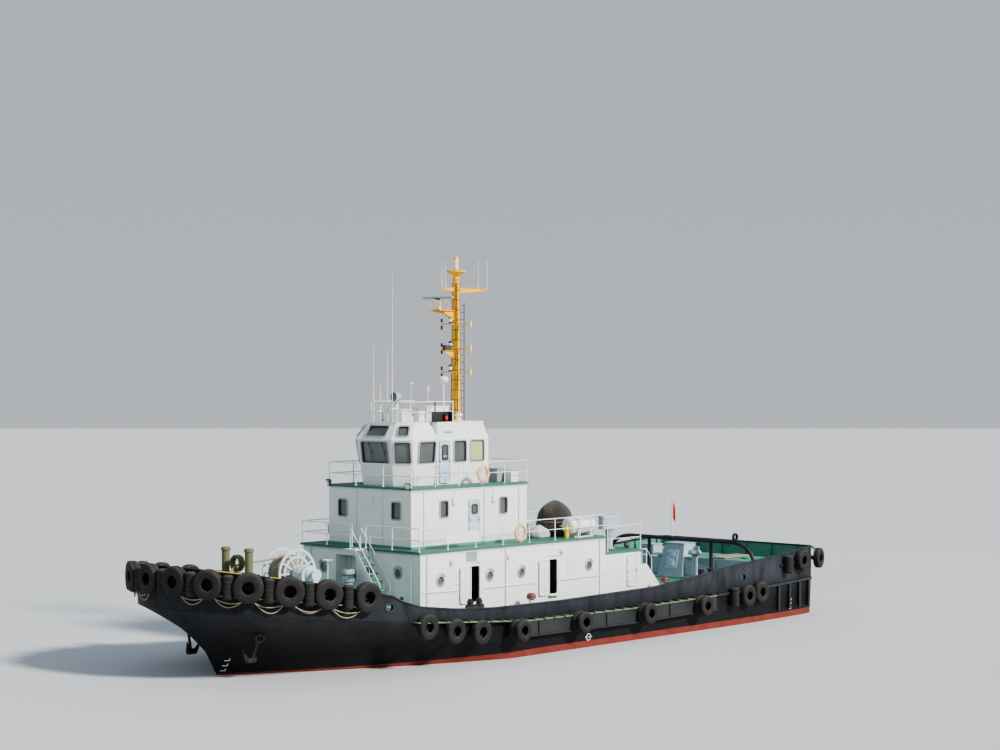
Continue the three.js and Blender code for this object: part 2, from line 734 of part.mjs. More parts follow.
// The stepped deck with its side rails
function aftBoatDeck() {
  const { aft, half, lowAft } = HOUSE
  const plate = box(lowAft - 40, aft - GAP, -half - 60, half + 60, AFT_BOAT_DECK_Z - DECK_THICK, AFT_BOAT_DECK_Z)
  const runs = [1, -1].map((side) => [[aft - 150, side * half], [lowAft + 20, side * half]])
  return join(plate, rails(runs, AFT_BOAT_DECK_Z - 20, 1100))
}

// Square-headed engine room ventilator on the stepped deck
function ventilator(side) {
  const [x, y, foot] = [-4040, 2400, AFT_BOAT_DECK_Z + GAP]
  const solid = join(
    rod([x, y, foot], [x, y, foot + 40], 260, 10),
    rod([x, y, foot], [x, y, 4450], 175, 10),
    rod([x, y, 4330], [x, y, 4531], 175, 10, 270),
    box(x - 560, x + 560, y - 285, y + 285, 4530, 5140),
  )
  return side > 0 ? solid : mirrorY(solid)
}

// Crew cabin on the boat deck
const CABIN = { fore: 8100, aft: 1300, half: 2400 }
const CABIN_DOOR = { fore: 4800, wallY: CABIN.half, sill: 4560, height: 1620, width: 560, open: false }

function roundWindow(x, y, z, alongX, wide, tall) {
  const deep = 200
  return alongX
    ? box(x - deep, x + deep, y - wide / 2, y + wide / 2, z - tall / 2, z + tall / 2)
    : box(x - wide / 2, x + wide / 2, y - deep, y + deep, z - tall / 2, z + tall / 2)
}

function cabin() {
  const { fore, aft, half } = CABIN
  const top = BRIDGE_DECK_Z - DECK_THICK - GAP
  const outline = [[fore, -half], [fore, half], [aft, half], [aft, -half]]
  const pieces = [walls(outline, BOAT_DECK_Z + GAP, top)]
  const holes = [-1560, 1560].map((y) => roundWindow(fore, y, 5860, true, 480, 660))
  for (const side of [1, -1]) {
    for (const x of [6250, 2750]) holes.push(roundWindow(x, side * half, 5880, false, 430, 640))
    const door = { ...CABIN_DOOR, side }
    holes.push(box(
      door.fore - door.width, door.fore, side > 0 ? 2000 : -3000, side > 0 ? 3000 : -2000,
      door.sill, door.sill + door.height,
    ))
    pieces.push(...lugs(door))
  }
  return cut(join(pieces), holes)
}

function bridgeDeck() {
  const { fore, aft, half } = CABIN
  const plate = prismZ([
    [fore + 60, -half - 60], [fore + 60, half + 60], [aft - 60, half + 60], [aft - 60, -half - 60],
  ].reverse(), BRIDGE_DECK_Z - DECK_THICK, BRIDGE_DECK_Z)
  return join(plate, helmConsole())
}

// Wheelhouse: plan corners [x, y] of the port side at the sill, brow and roof
const WHEELHOUSE = {
  aft: 2850,
  step: 5880,
  base: [[7600, 870], [7000, 1480]],
  brow: [[7850, 1020], [7300, 1680]],
  roof: [[7380, 780], [6900, 1330]],
  half: 1650,
  sill: 7720,
}

function fan(corners, z, half) {
  const [[x0, y0], [x1, y1]] = corners
  const port = [[x0, y0, z], [x1, y1, z], [WHEELHOUSE.step, half, z]]
  return [...port, ...port.map(([x, y]) => [x, -y, z]).reverse()]
}

function wheelhouseFan(inset, low, high) {
  const shift = ([x, y]) => [x - inset, y - inset * 0.7]
  const { base, brow, roof } = WHEELHOUSE
  return skin([
    fan(base.map(shift), BRIDGE_DECK_Z + low, 1500 - inset),
    fan(brow.map(shift), BROW_Z, 1690 - inset),
    fan(roof.map(shift), ROOF_Z - high, 1340 - inset),
  ])
}

const wheelhouseDoor = (side) => ({
  fore: 5760, wallY: WHEELHOUSE.half, sill: 6900, height: 1700, width: 560, open: false, side,
})

function wheelhouse() {
  const { aft, step, half } = WHEELHOUSE
  const top = ROOF_Z - 60 - GAP
  const outerAft = box(aft, step, -half, half, BRIDGE_DECK_Z + GAP, top)
  const innerAft = box(aft + WALL, step + 20, -half + WALL, half - WALL, BRIDGE_DECK_Z - 50, top + 50)
  const outer = join(wheelhouseFan(0, GAP, 60 + GAP), outerAft)
  const inner = join(wheelhouseFan(WALL, -30, -30), innerAft)
  const pieces = [cut(outer, inner)]
  const holes = wheelhouseOpenings()
  const chamfer = prismY([[aft - 50, BROW_Z], [aft - 50, ROOF_Z + 50], [aft + 330, ROOF_Z + 50]], -half - 50, half + 50)
  for (const side of [1, -1]) pieces.push(...lugs(wheelhouseDoor(side)))
  return cut(join(pieces), holes, chamfer)
}

function wheelhouseOpenings() {
  const { half, sill } = WHEELHOUSE
  const head = BROW_Z - 110
  const holes = [box(7200, 8200, -760, 760, sill, head)]
  for (const side of [1, -1]) {
    const y0 = side > 0 ? 1200 : -2200
    const y1 = side > 0 ? 2200 : -1200
    holes.push(box(6000, 6900, y0, y1, sill, head))
    holes.push(box(4200, 4900, y0, y1, sill, head))
    holes.push(box(3150, 3930, y0, y1, sill, head))
    const door = wheelhouseDoor(side)
    holes.push(box(door.fore - door.width, door.fore, y0, y1, door.sill, door.sill + door.height))
    holes.push(diagonalOpening(side, sill, head, 640))
    holes.push(diagonalOpening(side, BROW_Z + 130, ROOF_Z - 170, 420))
  }
  holes.push(box(7000, 8200, -560, 560, BROW_Z + 130, ROOF_Z - 170))
  holes.push(box(2400, 3000, -1000, -300, sill, head), box(2400, 3000, 300, 1000, sill, head))
  return holes
}

// An opening in the slanting corner wall
function diagonalOpening(side, low, high, wide) {
  const [[x0, y0], [x1, y1]] = WHEELHOUSE.brow
  const centre = [(x0 + x1) / 2, (y0 + y1) / 2]
  const length = Math.hypot(x1 - x0, y1 - y0)
  const dx = (x1 - x0) / length
  const dy = (y1 - y0) / length
  const corner = (s, t) => [centre[0] + dx * s + dy * t, centre[1] + dy * s - dx * t]
  const half = wide / 2
  const outline = [corner(-half, -700), corner(half, -700), corner(half, 500), corner(-half, 500)]
  const solid = prismZ(outline, low, high)
  return side > 0 ? solid : mirrorY(solid)
}

function wheelhouseRoof() {
  const { aft, step, roof, half } = WHEELHOUSE
  const [[x0, y0], [x1, y1]] = roof
  const outline = [
    [aft + 290, -half], [step, -half], [step, -1340], [x1, -y1], [x0, -y0],
    [x0, y0], [x1, y1], [step, 1340], [step, half], [aft + 290, half],
  ]
  return prismZ(outline, ROOF_Z - 60, ROOF_Z)
}

// One band of glass inside the wheelhouse walls
function wheelhouseGlass() {
  const { aft, step, half } = WHEELHOUSE
  const shell = (inset) => join(
    wheelhouseFan(inset, -30, -30),
    box(aft + inset, step + 20, -half + inset, half - inset, BRIDGE_DECK_Z - 50, ROOF_Z + 50),
  )
  const slice = box(0, 9000, -3000, 3000, 7600, 8640)
  return cut(shell(WALL + 2), shell(WALL + 14)).intersect(slice)
}

function helmConsole() {
  return join(
    prismY([[7000, BRIDGE_DECK_Z - 20], [6300, BRIDGE_DECK_Z - 20], [6300, 7500], [6900, 7750], [7050, 7600]], -700, 700),
    box(5300, 5700, -60, 60, BRIDGE_DECK_Z - 20, 7000),
    box(5200, 5800, -260, 260, BRIDGE_DECK_Z - 20, 6830),
    box(5350, 6350, -40, 40, BRIDGE_DECK_Z - 20, 6830),
    box(5230, 5740, -260, 260, 6990, 7300),
    box(5230, 5330, -260, 260, 7290, 7950),
  )
}

// Mast: a tapered pole with its platforms, arms and lantern bars
const mastRadius = (z) => 205 - ((z - ROOF_Z) / (MAST_TOP_Z - ROOF_Z)) * 70
const CROSSBARS_Z = [13410, 12380, 11390]

function mast() {
  const foot = ROOF_Z + GAP
  const x = MAST_X
  const pieces = [
    rod([x, 0, foot], [x, 0, MAST_TOP_Z], mastRadius(foot), 10, mastRadius(MAST_TOP_Z)),
    turned(
      [[0, -150], [150, -150], [420, 0], [420, 60], [95, 60], [95, 650], [0, 650]], [x, 0, MAST_TOP_Z], [0, 0, 1], 10,
    ),
    prismY([[x, 14700], [x, 15000], [x - 1950, 14920], [x - 1950, 14860]], -70, 70),
    prismY([[x, 14760], [x + 900, 14860], [x + 900, 14910], [x, 14960]], -70, 70),
    prismY([[x, 13500], [x + 700, 13850], [x + 1350, 13930], [x + 1350, 13990], [x, 13990]], -90, 90),
    box(x + 700, x + 1350, -330, 330, 13960, 13990),
    rod([x + 1080, 0, 13980], [x + 1080, 0, 14390], 130, 10),
    prismY([[x, 11900], [x + 750, 12250], [x + 750, 12300], [x, 12300]], -80, 80),
  ]
  for (const z of CROSSBARS_Z) {
    pieces.push(box(x - 25, x + 25, -860, 860, z - 25, z + 25))
    for (const side of [1, -1]) pieces.push(rod([x, side * 850, z - 230], [x, side * 850, z + 230], 45, 5))
    pieces.push(prismY([[x, z - 60], [x + 420, z - 20], [x + 420, z + 20], [x, z + 20]], -60, 60))
    pieces.push(rod([x + 340, 0, z + 10], [x + 340, 0, z + 320], 80, 6))
  }
  for (const [dx, h] of [[-1900, 1250], [-1350, 1250], [850, 1150], [650, 1150]]) {
    pieces.push(rod([x + dx, 0, 14880], [x + dx, 0, 14880 + h], 14, 5))
  }
  const ladderX = x - 330
  for (const y of [-150, 150]) pieces.push(rod([ladderX, y, foot], [ladderX, y, 14300], 18, 4))
  for (let z = 9700; z < 14300; z += 800) pieces.push(box(ladderX - 10, ladderX + 10, -150, 150, z - 10, z + 10))
  for (let z = 9700; z < 14300; z += 1600) {
    pieces.push(box(ladderX, x, -15, 15, z - 10, z + 10))
  }
  return join(pieces)
}

function radarScanner() {
  const x = MAST_X + 1080
  const z = 14390 + GAP
  return join(
    rod([x, 0, z], [x, 0, z + 60], 60, 8),
    box(x - 75, x + 75, -880, 880, z + 40, z + 160),
  )
}

// Guard rails: posts and courses along a run of points
function rails(runs, z0, height = RAIL_HEIGHT, courses = [1, 0.5], pitch = 1500) {
  const pieces = []
  for (const run of runs) {
    for (let i = 0; i + 1 < run.length; i += 1) {
      const [xa, ya] = run[i]
      const [xb, yb] = run[i + 1]
      const steps = Math.max(1, Math.round(Math.hypot(xb - xa, yb - ya) / pitch))
      for (let k = 0; k <= steps; k += 1) {
        if (k === 0 && i > 0) continue
        const t = k / steps
        const [x, y] = [xa + (xb - xa) * t, ya + (yb - ya) * t]
        pieces.push(rod([x, y, z0 + GAP], [x, y, z0 + height], 25, 4))
      }
      for (const share of courses) {
        pieces.push(bars([[xa, ya, z0 + height * share], [xb, yb, z0 + height * share]], 20, 4))
      }
    }
  }
  return pieces
}

const BOAT_RAIL_Y = HOUSE.half
const BOAT_RAIL_FORE = HOUSE.fore + 60

function boatDeckRails(side) {
  const y = BOAT_RAIL_Y * side
  const inner = side > 0 ? 380 : -420
  const pieces = rails([[[BOAT_RAIL_FORE, inner], [BOAT_RAIL_FORE, y], [HOUSE.aft + 60, y]]], BOAT_DECK_Z)
  return join(pieces)
}

function bridgeRails() {
  const { fore, aft, half } = CABIN
  const run = [[aft, 400], [aft, half], [fore, half], [fore, -half], [aft, -half], [aft, -400]]
  return join(rails([run], BRIDGE_DECK_Z))
}

// Rails on the wheelhouse roof with the dome, side lights and whip aerials that they carry
function roofRails() {
  const y = 1150
  const run = [[4450, y], [6900, y], [7200, 700], [7200, -700], [6900, -y], [4450, -y]]
  const pieces = rails([run], ROOF_Z, 820, [1], 1700)
  pieces.push(rod([5000, 1150, ROOF_Z + GAP], [5000, 1150, 10950], 30, 6))
  pieces.push(turned([[0, -150], [150, -110], [210, 0], [150, 110], [0, 150]], [5000, 1150, 11080], [0, 0, 1], 10))
  for (const side of [1, -1]) {
    const screen = join(
      box(4980, 5980, 1420, 1450, ROOF_Z + GAP, ROOF_Z + 420),
      box(4980, 5010, 1420, 1640, ROOF_Z + GAP, ROOF_Z + 420),
      box(5010, 5980, 1420, 1640, ROOF_Z + GAP, ROOF_Z + 30),
      rod([5250, 1540, ROOF_Z + 20], [5250, 1540, ROOF_Z + 330], 85, 8),
      box(5480, 5520, 1140, 1430, ROOF_Z + 330, ROOF_Z + 370),
      box(5480, 5520, 1130, 1170, ROOF_Z + GAP, ROOF_Z + 810),
    )
    pieces.push(side > 0 ? screen : mirrorY(screen))
  }
  pieces.push(rod([7200, 400, ROOF_Z + GAP], [7200, 400, 15500], 16, 5))
  pieces.push(rod([7200, -700, ROOF_Z + GAP], [7200, -700, 12500], 16, 5))
  return join(pieces)
}

function roofLocker() {
  return join(
    box(4000, 5250, -450, 450, ROOF_Z + GAP, ROOF_Z + 620),
    box(5240, 5600, -320, 320, ROOF_Z + GAP, ROOF_Z + 440),
    box(6250, 6800, -550, 550, ROOF_Z + GAP, ROOF_Z + 520),
    box(5590, 6300, -60, 60, ROOF_Z + GAP, ROOF_Z + 200),
    rod([6560, 0, ROOF_Z + 500], [6560, 0, ROOF_Z + 720], 60, 8),
  )
}

function searchlight() {
  const z = ROOF_Z + 720 + GAP
  return join(
    rod([6560, 0, z], [6560, 0, z + 60], 70, 8),
    box(6530, 6590, -250, 250, z + 30, z + 60),
    box(6530, 6590, 225, 250, z + 30, z + 300),
    box(6530, 6590, -250, -225, z + 30, z + 300),
    rod([6560, -240, z + 270], [6560, 240, z + 270], 20, 6),
    rod([6380, 0, z + 270], [6740, 0, z + 300], 190, 12),
  )
}

// Tow winch on the foredeck: frame, and the drum with its rope
const WINCH = { x: 12350, y: -40, z: 3600, drumHalf: 440, flange: 960, ropeR: 640, shaftR: 75 }

function winchFrame() {
  const { x, z, shaftR } = WINCH
  const bed = box(x - 1050, x + 950, -950, 1450, 1500, 2600)
  const cheeks = [-640, 580].map((y) => prismY([
    [x - 620, 2550], [x + 620, 2550], [x + 200, z + 220], [x - 200, z + 220],
  ], y - 50, y + 50))
  const gearCase = prismY([
    [x - 420, 2550], [x + 420, 2550], [x + 420, z + 100], [x + 250, z + 350], [x - 250, z + 350], [x - 420, z + 100],
  ], 620, 1180)
  const brake = join(
    box(x - 900, x - 500, 1020, 1420, 2550, 3300),
    rod([x - 800, 1300, 3250], [x - 800, 1300, 4120], 35, 6),
    rod([x - 800, 1100, 4120], [x - 800, 1500, 4120], 30, 6),
  )
  const bore = rod([x, -1200, z], [x, 1600, z], (shaftR + GAP) / Math.cos(Math.PI / 16), 16)
  return onDeckPlate(cut(join(bed, cheeks, gearCase, brake), bore))
}

function winchDrum() {
  const { x, y, z, drumHalf, flange, ropeR, shaftR } = WINCH
  return join(
    rod([x, -760, z], [x, 1300, z], shaftR, 12),
    turned([
      [0, -drumHalf - 45], [flange, -drumHalf - 45], [flange, -drumHalf], [ropeR, -drumHalf + 20],
      [ropeR, drumHalf - 20], [flange, drumHalf], [flange, drumHalf + 45], [0, drumHalf + 45],
    ], [x, y, z], [0, 1, 0], 18),
    turned([[0, 0], [270, 0], [170, 120], [170, 240], [230, 330], [0, 330]], [x, 1230, z], [0, 1, 0], 12),
  )
}

// Tow bitt: two posts, a cross bar and the round fairlead between them
function towBitt() {
  const z = 4150
  const pieces = []
  for (const [x, y] of [[15000, 680], [15000, -680]]) {
    pieces.push(rod([x, y, 2000], [x, y, 4740], 150, 10))
  }
  pieces.push(rod([15000, -1250, 3700], [15000, 1250, 3700], 110, 8))
  const ring = turned([[230, -130], [330, -90], [330, 90], [230, 130], [200, 0], [230, -130]], [15000, 0, z], [1, 0, 0], 12)
  pieces.push(ring)
  pieces.push(box(14950, 15050, -600, -300, z - 60, z + 60), box(14950, 15050, 300, 600, z - 60, z + 60))
  return onDeckPlate(join(pieces))
}

// Ladder from the boat deck's front edge down to port
function foredeckLadder() {
  const xs = [HOUSE.fore + 170, HOUSE.fore + 740]
  const top = [400, BOAT_DECK_Z - 20]
  const foot = [2450, 1700]
  const drop = (top[1] - foot[1]) / (foot[0] - top[0])
  const at = (y) => top[1] - (y - top[0]) * drop
  const pieces = []
  for (const x of xs) {
    pieces.push(bars([[x, top[0], top[1]], [x, foot[0], foot[1]]], 45, 4))
    pieces.push(bars([[x, 200, top[1] - 30], [x, 200, top[1] + 850], [x, 1900, 3060], [x, 1900, at(1900)]], 22, 4))
  }
  for (let i = 1; i < 8; i += 1) {
    const y = top[0] + ((foot[0] - top[0]) * i) / 8
    pieces.push(box(xs[0], xs[1], y - 120, y + 120, at(y) - 15, at(y) + 15))
  }
  pieces.push(box(HOUSE.fore + 120 + GAP, xs[1] + 45, top[0] - 550, top[0] + 60, top[1] - 60, top[1]))
  return onDeckPlate(join(pieces))
}

// Towing arch over the after deck with its two inner posts and the ensign staff
const STAFF_R = 28
const ARCH = { x: -12100, top: 3480, half: 4350, post: 1850 }

function towingArch() {
  const { x, top, half, post } = ARCH
  const leg = [[half, 1500], [half, 2600], [half - 150, 2950], [half - 450, 3250], [half - 850, 3420], [half - 1250, top]]
  const pieces = [bars([
    ...leg.map(([y, z]) => [x, y, z]), ...[...leg].reverse().map(([y, z]) => [x, -y, z]),
  ], 95, 6)]
  for (const side of [1, -1]) {
    pieces.push(rod([x, side * post, 1500], [x, side * post, top], 85, 6))
    pieces.push(bars([[x, side * (half - 20), 2500], [x, side * (half - 330), 2250], [x, side * (half - 330), 1500]], 40, 4))
  }
  pieces.push(rod([x, -450, top], [x, -450, top + 1900], STAFF_R, 6))
  pieces.push(turned([[110, -60], [190, -60], [190, 60], [110, 60], [110, -60]], [x, 3250, top + 250], [0, 1, 0], 10))
  return onDeckPlate(join(pieces))
}

function flag() {
  const { x, top } = ARCH
  const luff = x - STAFF_R * Math.cos(Math.PI / 6) - GAP
  return prismY([[luff, top + 700], [luff, top + 1850], [x - 260, top + 1500], [x - 200, top + 850]], -470, -430)
}

// Raised trunk over the thruster room with the companion hood at its fore end
const TRUNK = { fore: -12720, aft: -15300, half: 4000, z: 2560 }
const HOOD = { fore: -12450, aft: -13700, y: -900, foot: 1640, top: 3170, half: 750, taper: 170, rake: 400 }
const HOOD_TILT = Math.atan2(HOOD.rake, HOOD.top - HOOD.foot)
const HOOD_DOOR = { fore: 300, wallY: 0, sill: 350, height: 900, width: 600, open: false, side: 1 }

// From the door's own frame, with its wall along x facing +y, to the raked front of the hood
function ontoHood(solid) {
  const matrix = new THREE.Matrix4().makeTranslation(HOOD.fore, HOOD.y, HOOD.foot)
  matrix.multiply(new THREE.Matrix4().makeRotationY(-HOOD_TILT))
  matrix.multiply(new THREE.Matrix4().makeRotationZ(-Math.PI / 2))
  return placed(solid, matrix)
}

function hoodRing(z, inset) {
  const share = (z - HOOD.foot) / (HOOD.top - HOOD.foot)
  const fore = HOOD.fore - HOOD.rake * share - inset
  const half = HOOD.half - HOOD.taper * share - inset
  return [
    [fore, HOOD.y - half, z], [fore, HOOD.y + half, z],
    [HOOD.aft + inset, HOOD.y + half, z], [HOOD.aft + inset, HOOD.y - half, z],
  ]
}

function aftTrunk() {
  const { fore, aft, half, z } = TRUNK
  const { sill, height, width } = HOOD_DOOR
  const hood = skin([hoodRing(1450, 0), hoodRing(HOOD.top, 0)])
  const cavity = skin([hoodRing(1750, WALL), hoodRing(HOOD.top - WALL, WALL)])
  const doorway = ontoHood(box(-width / 2, width / 2, -250, 100, sill, sill + height))
  const shell = cut(join(box(aft, fore, -half, half, 1500, z), hood), cavity, doorway)
  return onDeckPlate(join(shell, lugs(HOOD_DOOR).map(ontoHood)))
}

// Vents with mushroom heads on the main deck
function mushroom(x, y, foot, headZ, headR, stemR) {
  return join(
    rod([x, y, foot], [x, y, headZ], stemR, 6),
    turned([[0, -110], [headR, -110], [headR, 20], [0, 120]], [x, y, headZ], [0, 0, 1], 8),
  )
}

// Bitts, bollards and vents that are welded to the deck plate
const BITTS = [
  // x, y, post spacing, post height
  [6500, 4350, 500, 700], [-8890, 4000, 700, 950],
]

// The deck plate is laid in two lengths that meet under the deckhouse
const DECK_JOINT_X = 3300

function deckPlate() {
  const inset = DECK_LINE.map(([x, y]) => [x, y])
  const path = withNormals(inset).map(({ x, y, nx, ny }) => {
    const reach = BULWARK_PLATE + 2 * GAP
    return [x - nx * reach, Math.max(y - ny * reach, 0)]
  })
  const outline = [...path, ...path.slice(1).reverse().map(([x, y]) => [x, -y])]
  return cut(prismZ(outline, 1000, 4500), underDeck(GAP)).intersect(underDeck(DECK_PLATE))
}

function bitts([x, y, spacing, height]) {
  const floor = deckZ(x)
  return [1, -1].flatMap((side) => [
    ...[-spacing / 2, spacing / 2].map((dx) => rod(
      [x + dx, side * y, 1300], [x + dx, side * y, floor + height], 110, 6,
    )),
    box(x - spacing / 2 - 220, x + spacing / 2 + 220, side * y - 60, side * y + 60, floor + 400, floor + 470),
  ])
}

function foreDeck() {
  const plate = deckPlate().intersect(box(DECK_JOINT_X + GAP, 19000, -6000, 6000, 0, 5000))
  return join(plate, onHullTop(join(bitts(BITTS[0]), mushroom(9100, -160, 1300, 3390, 270, 190))))
}

function mainDeck() {
  const plate = deckPlate().intersect(box(-17500, DECK_JOINT_X, -6000, 6000, 0, 5000))
  const vents = [1, -1].flatMap((side) => [
    mushroom(2890, side * 4100, 1300, 2240, 190, 110),
    mushroom(-5700, side * 4200, 1300, 2290, 190, 110),
  ])
  return join(plate, onHullTop(join(bitts(BITTS[1]), vents, mushroom(-12100, 890, 1300, 2890, 310, 140))))
}

// Life rafts in cradles, and the gear under its cover on the boat deck
function liferaft(side) {
  const [x, y] = [-1400, 2950]
  const z = BOAT_DECK_Z + 490
  const solid = join(
    turned([[0, -800], [280, -800], [370, -720], [370, 720], [280, 800], [0, 800]], [x, y, z], [1, 0, 0], 12),
    box(x - 450, x - 350, y - 300, y + 300, BOAT_DECK_Z + GAP, z - 200),
    box(x + 350, x + 450, y - 300, y + 300, BOAT_DECK_Z + GAP, z - 200),
  )
  return side > 0 ? solid : mirrorY(solid)
}

function coveredGear() {
  const [x, y] = [-1300, 1660]
  const rings = [[0, 800], [400, 830], [850, 780], [1200, 600], [1420, 330], [1500, 100]].map(([dz, r]) => {
    const ring = []
    for (let i = 0; i < 14; i += 1) {
      const turn = (i / 14) * Math.PI * 2
      ring.push([x + r * Math.cos(turn), y + r * Math.sin(turn), BOAT_DECK_Z + GAP + dz])
    }
    return ring
  })
  return skin(rings)
}

// Skeg and steerable thrusters under the after body
function skeg() {
  const blade = prismY([[1500, -3300], [-8600, -3300], [-8600, -1500], [-1000, -1500]], -110, 110)
  return join(blade, box(-8600, 1500, -160, 160, -3480, -3290), box(-1000, 1500, -110, 110, -3300, -3100))
}

function thruster(side) {
  const x = THRUSTER_X
  const y = THRUSTER_Y
  const z = THRUSTER_AXLE_Z
  const nozzle = turned([
    [1010, -420], [1090, -420], [1130, -60], [1080, 420], [980, 150], [1010, -420],
  ], [x - 250, y, z], [1, 0, 0], 16)
  const solid = join(
    rod([x, y, z + 100], [x, y, -1150], 225, 10),
    rod([x, y, -1180], [x, y, -1080], 620, 14),
    turned([[0, -480], [230, -480], [270, -100], [250, 300], [0, 620]], [x + 240, y, z], [1, 0, 0], 10),
    nozzle,
    box(x - 180, x + 130, y - 45, y + 45, z - 1060, z - 150),
    box(x - 180, x + 130, y - 130, y + 130, z + 150, z + 1060),
  )
  return side > 0 ? solid : mirrorY(solid)
}

function propeller(side) {
  const x = THRUSTER_X - 240
  const y = THRUSTER_Y
  const z = THRUSTER_AXLE_Z
  const pieces = [turned([[0, -330], [110, -280], [190, -60], [215, -GAP], [0, -GAP]], [x, y, z], [1, 0, 0], 12)]
  for (let i = 0; i < 4; i += 1) {
    const blade = new THREE.BoxGeometry(60, 330, 780)
    blade.translate(0, 0, 530)
    blade.applyMatrix4(new THREE.Matrix4().makeRotationZ(0.45))
    blade.applyMatrix4(new THREE.Matrix4().makeRotationX((i / 4) * Math.PI * 2 + Math.PI / 4))
    blade.translate(x - 130, y, z)
    pieces.push(toSolid(blade))
  }
  const solid = join(pieces)
  return side > 0 ? solid : mirrorY(solid)
}

// The bottom under each thruster gets a flat seat for its turning ring
function hullBody() {
  const seats = [1, -1].map((side) => rod(
    [THRUSTER_X, side * THRUSTER_Y, -1080 + GAP], [THRUSTER_X, side * THRUSTER_Y, -300], 680, 16,
  ))
  const reliefs = [1, -1].map((side) => rod(
    [THRUSTER_X, side * THRUSTER_Y, -2600], [THRUSTER_X, side * THRUSTER_Y, -1080 + GAP], 720, 16,
  ))
  return cut(join(hullShape(0), seats, skeg()), reliefs)
}

const FINISH = {
  // colour, roughness, metalness
  hull: [0x23262b, 0.55, 0.1],
  deck: [0x3f7a66, 0.8, 0],
  white: [0xe6e7e4, 0.5, 0],
  black: [0x1c1d1f, 0.6, 0.1],
  tyre: [0x35302b, 0.9, 0],
  ochre: [0xd8960f, 0.55, 0],
  grey: [0x8fa3b0, 0.6, 0.1],
  door: [0xb9cfe0, 0.5, 0],
  winch: [0xbcd2dd, 0.45, 0.2],
  olive: [0x6b6a45, 0.6, 0.1],
  glass: [0x2b3a40, 0.1, 0.2],
  canvas: [0x2c2823, 0.95, 0],
  raft: [0xf0f0ee, 0.4, 0],
  flag: [0xc22b2b, 0.9, 0],
  bronze: [0xa8813f, 0.35, 0.8],
  steel: [0x5a5f63, 0.5, 0.6],
}

const tug = new THREE.Group()

function node(name, finish, solid) {
  const [color, roughness, metalness] = FINISH[finish]
  const mesh = new THREE.Mesh(toGeometry(solid), new THREE.MeshStandardMaterial({ color, roughness, metalness }))
  mesh.name = name
  tug.add(mesh)
}

node('hull', 'hull', hullBody())
node('fore_deck', 'deck', foreDeck())
node('main_deck', 'deck', mainDeck())
node('bulwark_bow', 'hull', bulwark(bowPath(BOW_JOINT_X + GAP)))
node('bulwark_port', 'hull', bulwark(edgePath(BOW_JOINT_X, STERN_JOINT_X + GAP, 1)))
node('bulwark_starboard', 'hull', bulwark(edgePath(BOW_JOINT_X, STERN_JOINT_X + GAP, -1)))
node('bulwark_stern', 'hull', bulwark(sternPath(STERN_JOINT_X)))
node('bow_fender', 'tyre', bowFender())
node('side_fender_port', 'black', sideFender())
node('side_fender_starboard', 'black', mirrorY(sideFender()))
node('stern_fender_port', 'black', sternFender())
node('stern_fender_starboard', 'black', mirrorY(sternFender()))
node('corner_fender_port', 'tyre', sternCornerFender())
node('corner_fender_starboard', 'tyre', mirrorY(sternCornerFender()))
node('anchor_port', 'steel', anchor())
node('anchor_starboard', 'steel', mirrorY(anchor()))
node('deckhouse', 'white', deckhouse())
node('after_house', 'white', afterHouse())
node('boat_deck', 'deck', boatDeck())
node('aft_boat_deck', 'deck', aftBoatDeck())
node('ventilator_port', 'white', ventilator(1))
node('ventilator_starboard', 'white', ventilator(-1))
node('crew_cabin', 'white', cabin())
node('bridge_deck', 'deck', bridgeDeck())
node('wheelhouse', 'white', wheelhouse())
node('wheelhouse_roof', 'white', wheelhouseRoof())
node('wheelhouse_glass', 'glass', wheelhouseGlass())
node('mast', 'ochre', mast())
node('boat_deck_rail_port', 'white', boatDeckRails(1))
node('boat_deck_rail_starboard', 'white', boatDeckRails(-1))
node('bridge_rails', 'white', bridgeRails())
node('roof_rails', 'white', roofRails())
node('roof_lockers', 'white', roofLocker())
node('foredeck_ladder', 'white', foredeckLadder())
node('winch_frame', 'winch', winchFrame())
node('tow_bitt', 'olive', towBitt())
node('towing_arch', 'black', towingArch())
node('flag', 'flag', flag())
node('aft_trunk', 'grey', aftTrunk())
node('liferaft_port', 'raft', liferaft(1))
node('liferaft_starboard', 'raft', liferaft(-1))
node('covered_gear', 'canvas', coveredGear())
node('winch_drum', 'winch', winchDrum())
node('radar_scanner', 'white', radarScanner())
node('searchlight', 'white', searchlight())
node('thruster_port', 'steel', thruster(1))
node('thruster_starboard', 'steel', thruster(-1))
node('propeller_port', 'bronze', propeller(1))
node('propeller_starboard', 'bronze', propeller(-1))
node('hood_door', 'door', ontoHood(doorLeaf(HOOD_DOOR)))
for (const [name, side] of [['port', 1], ['starboard', -1]]) {
  node(`fore_door_${name}`, 'white', doorLeaf(houseDoor(0, side)))
  node(`mid_door_${name}`, 'white', doorLeaf(houseDoor(1, side)))
  node(`wheelhouse_door_${name}`, 'door', doorLeaf(wheelhouseDoor(side)))
  node(`cabin_door_${name}`, 'door', doorLeaf({ ...CABIN_DOOR, side }))
  node(`store_door_${name}`, 'white', doorLeaf(storeDoor(side)))
}

export default tug
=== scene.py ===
"""The looks of a harbour tugboat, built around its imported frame. Metres, +X to the bow, +Y to port, +Z up."""

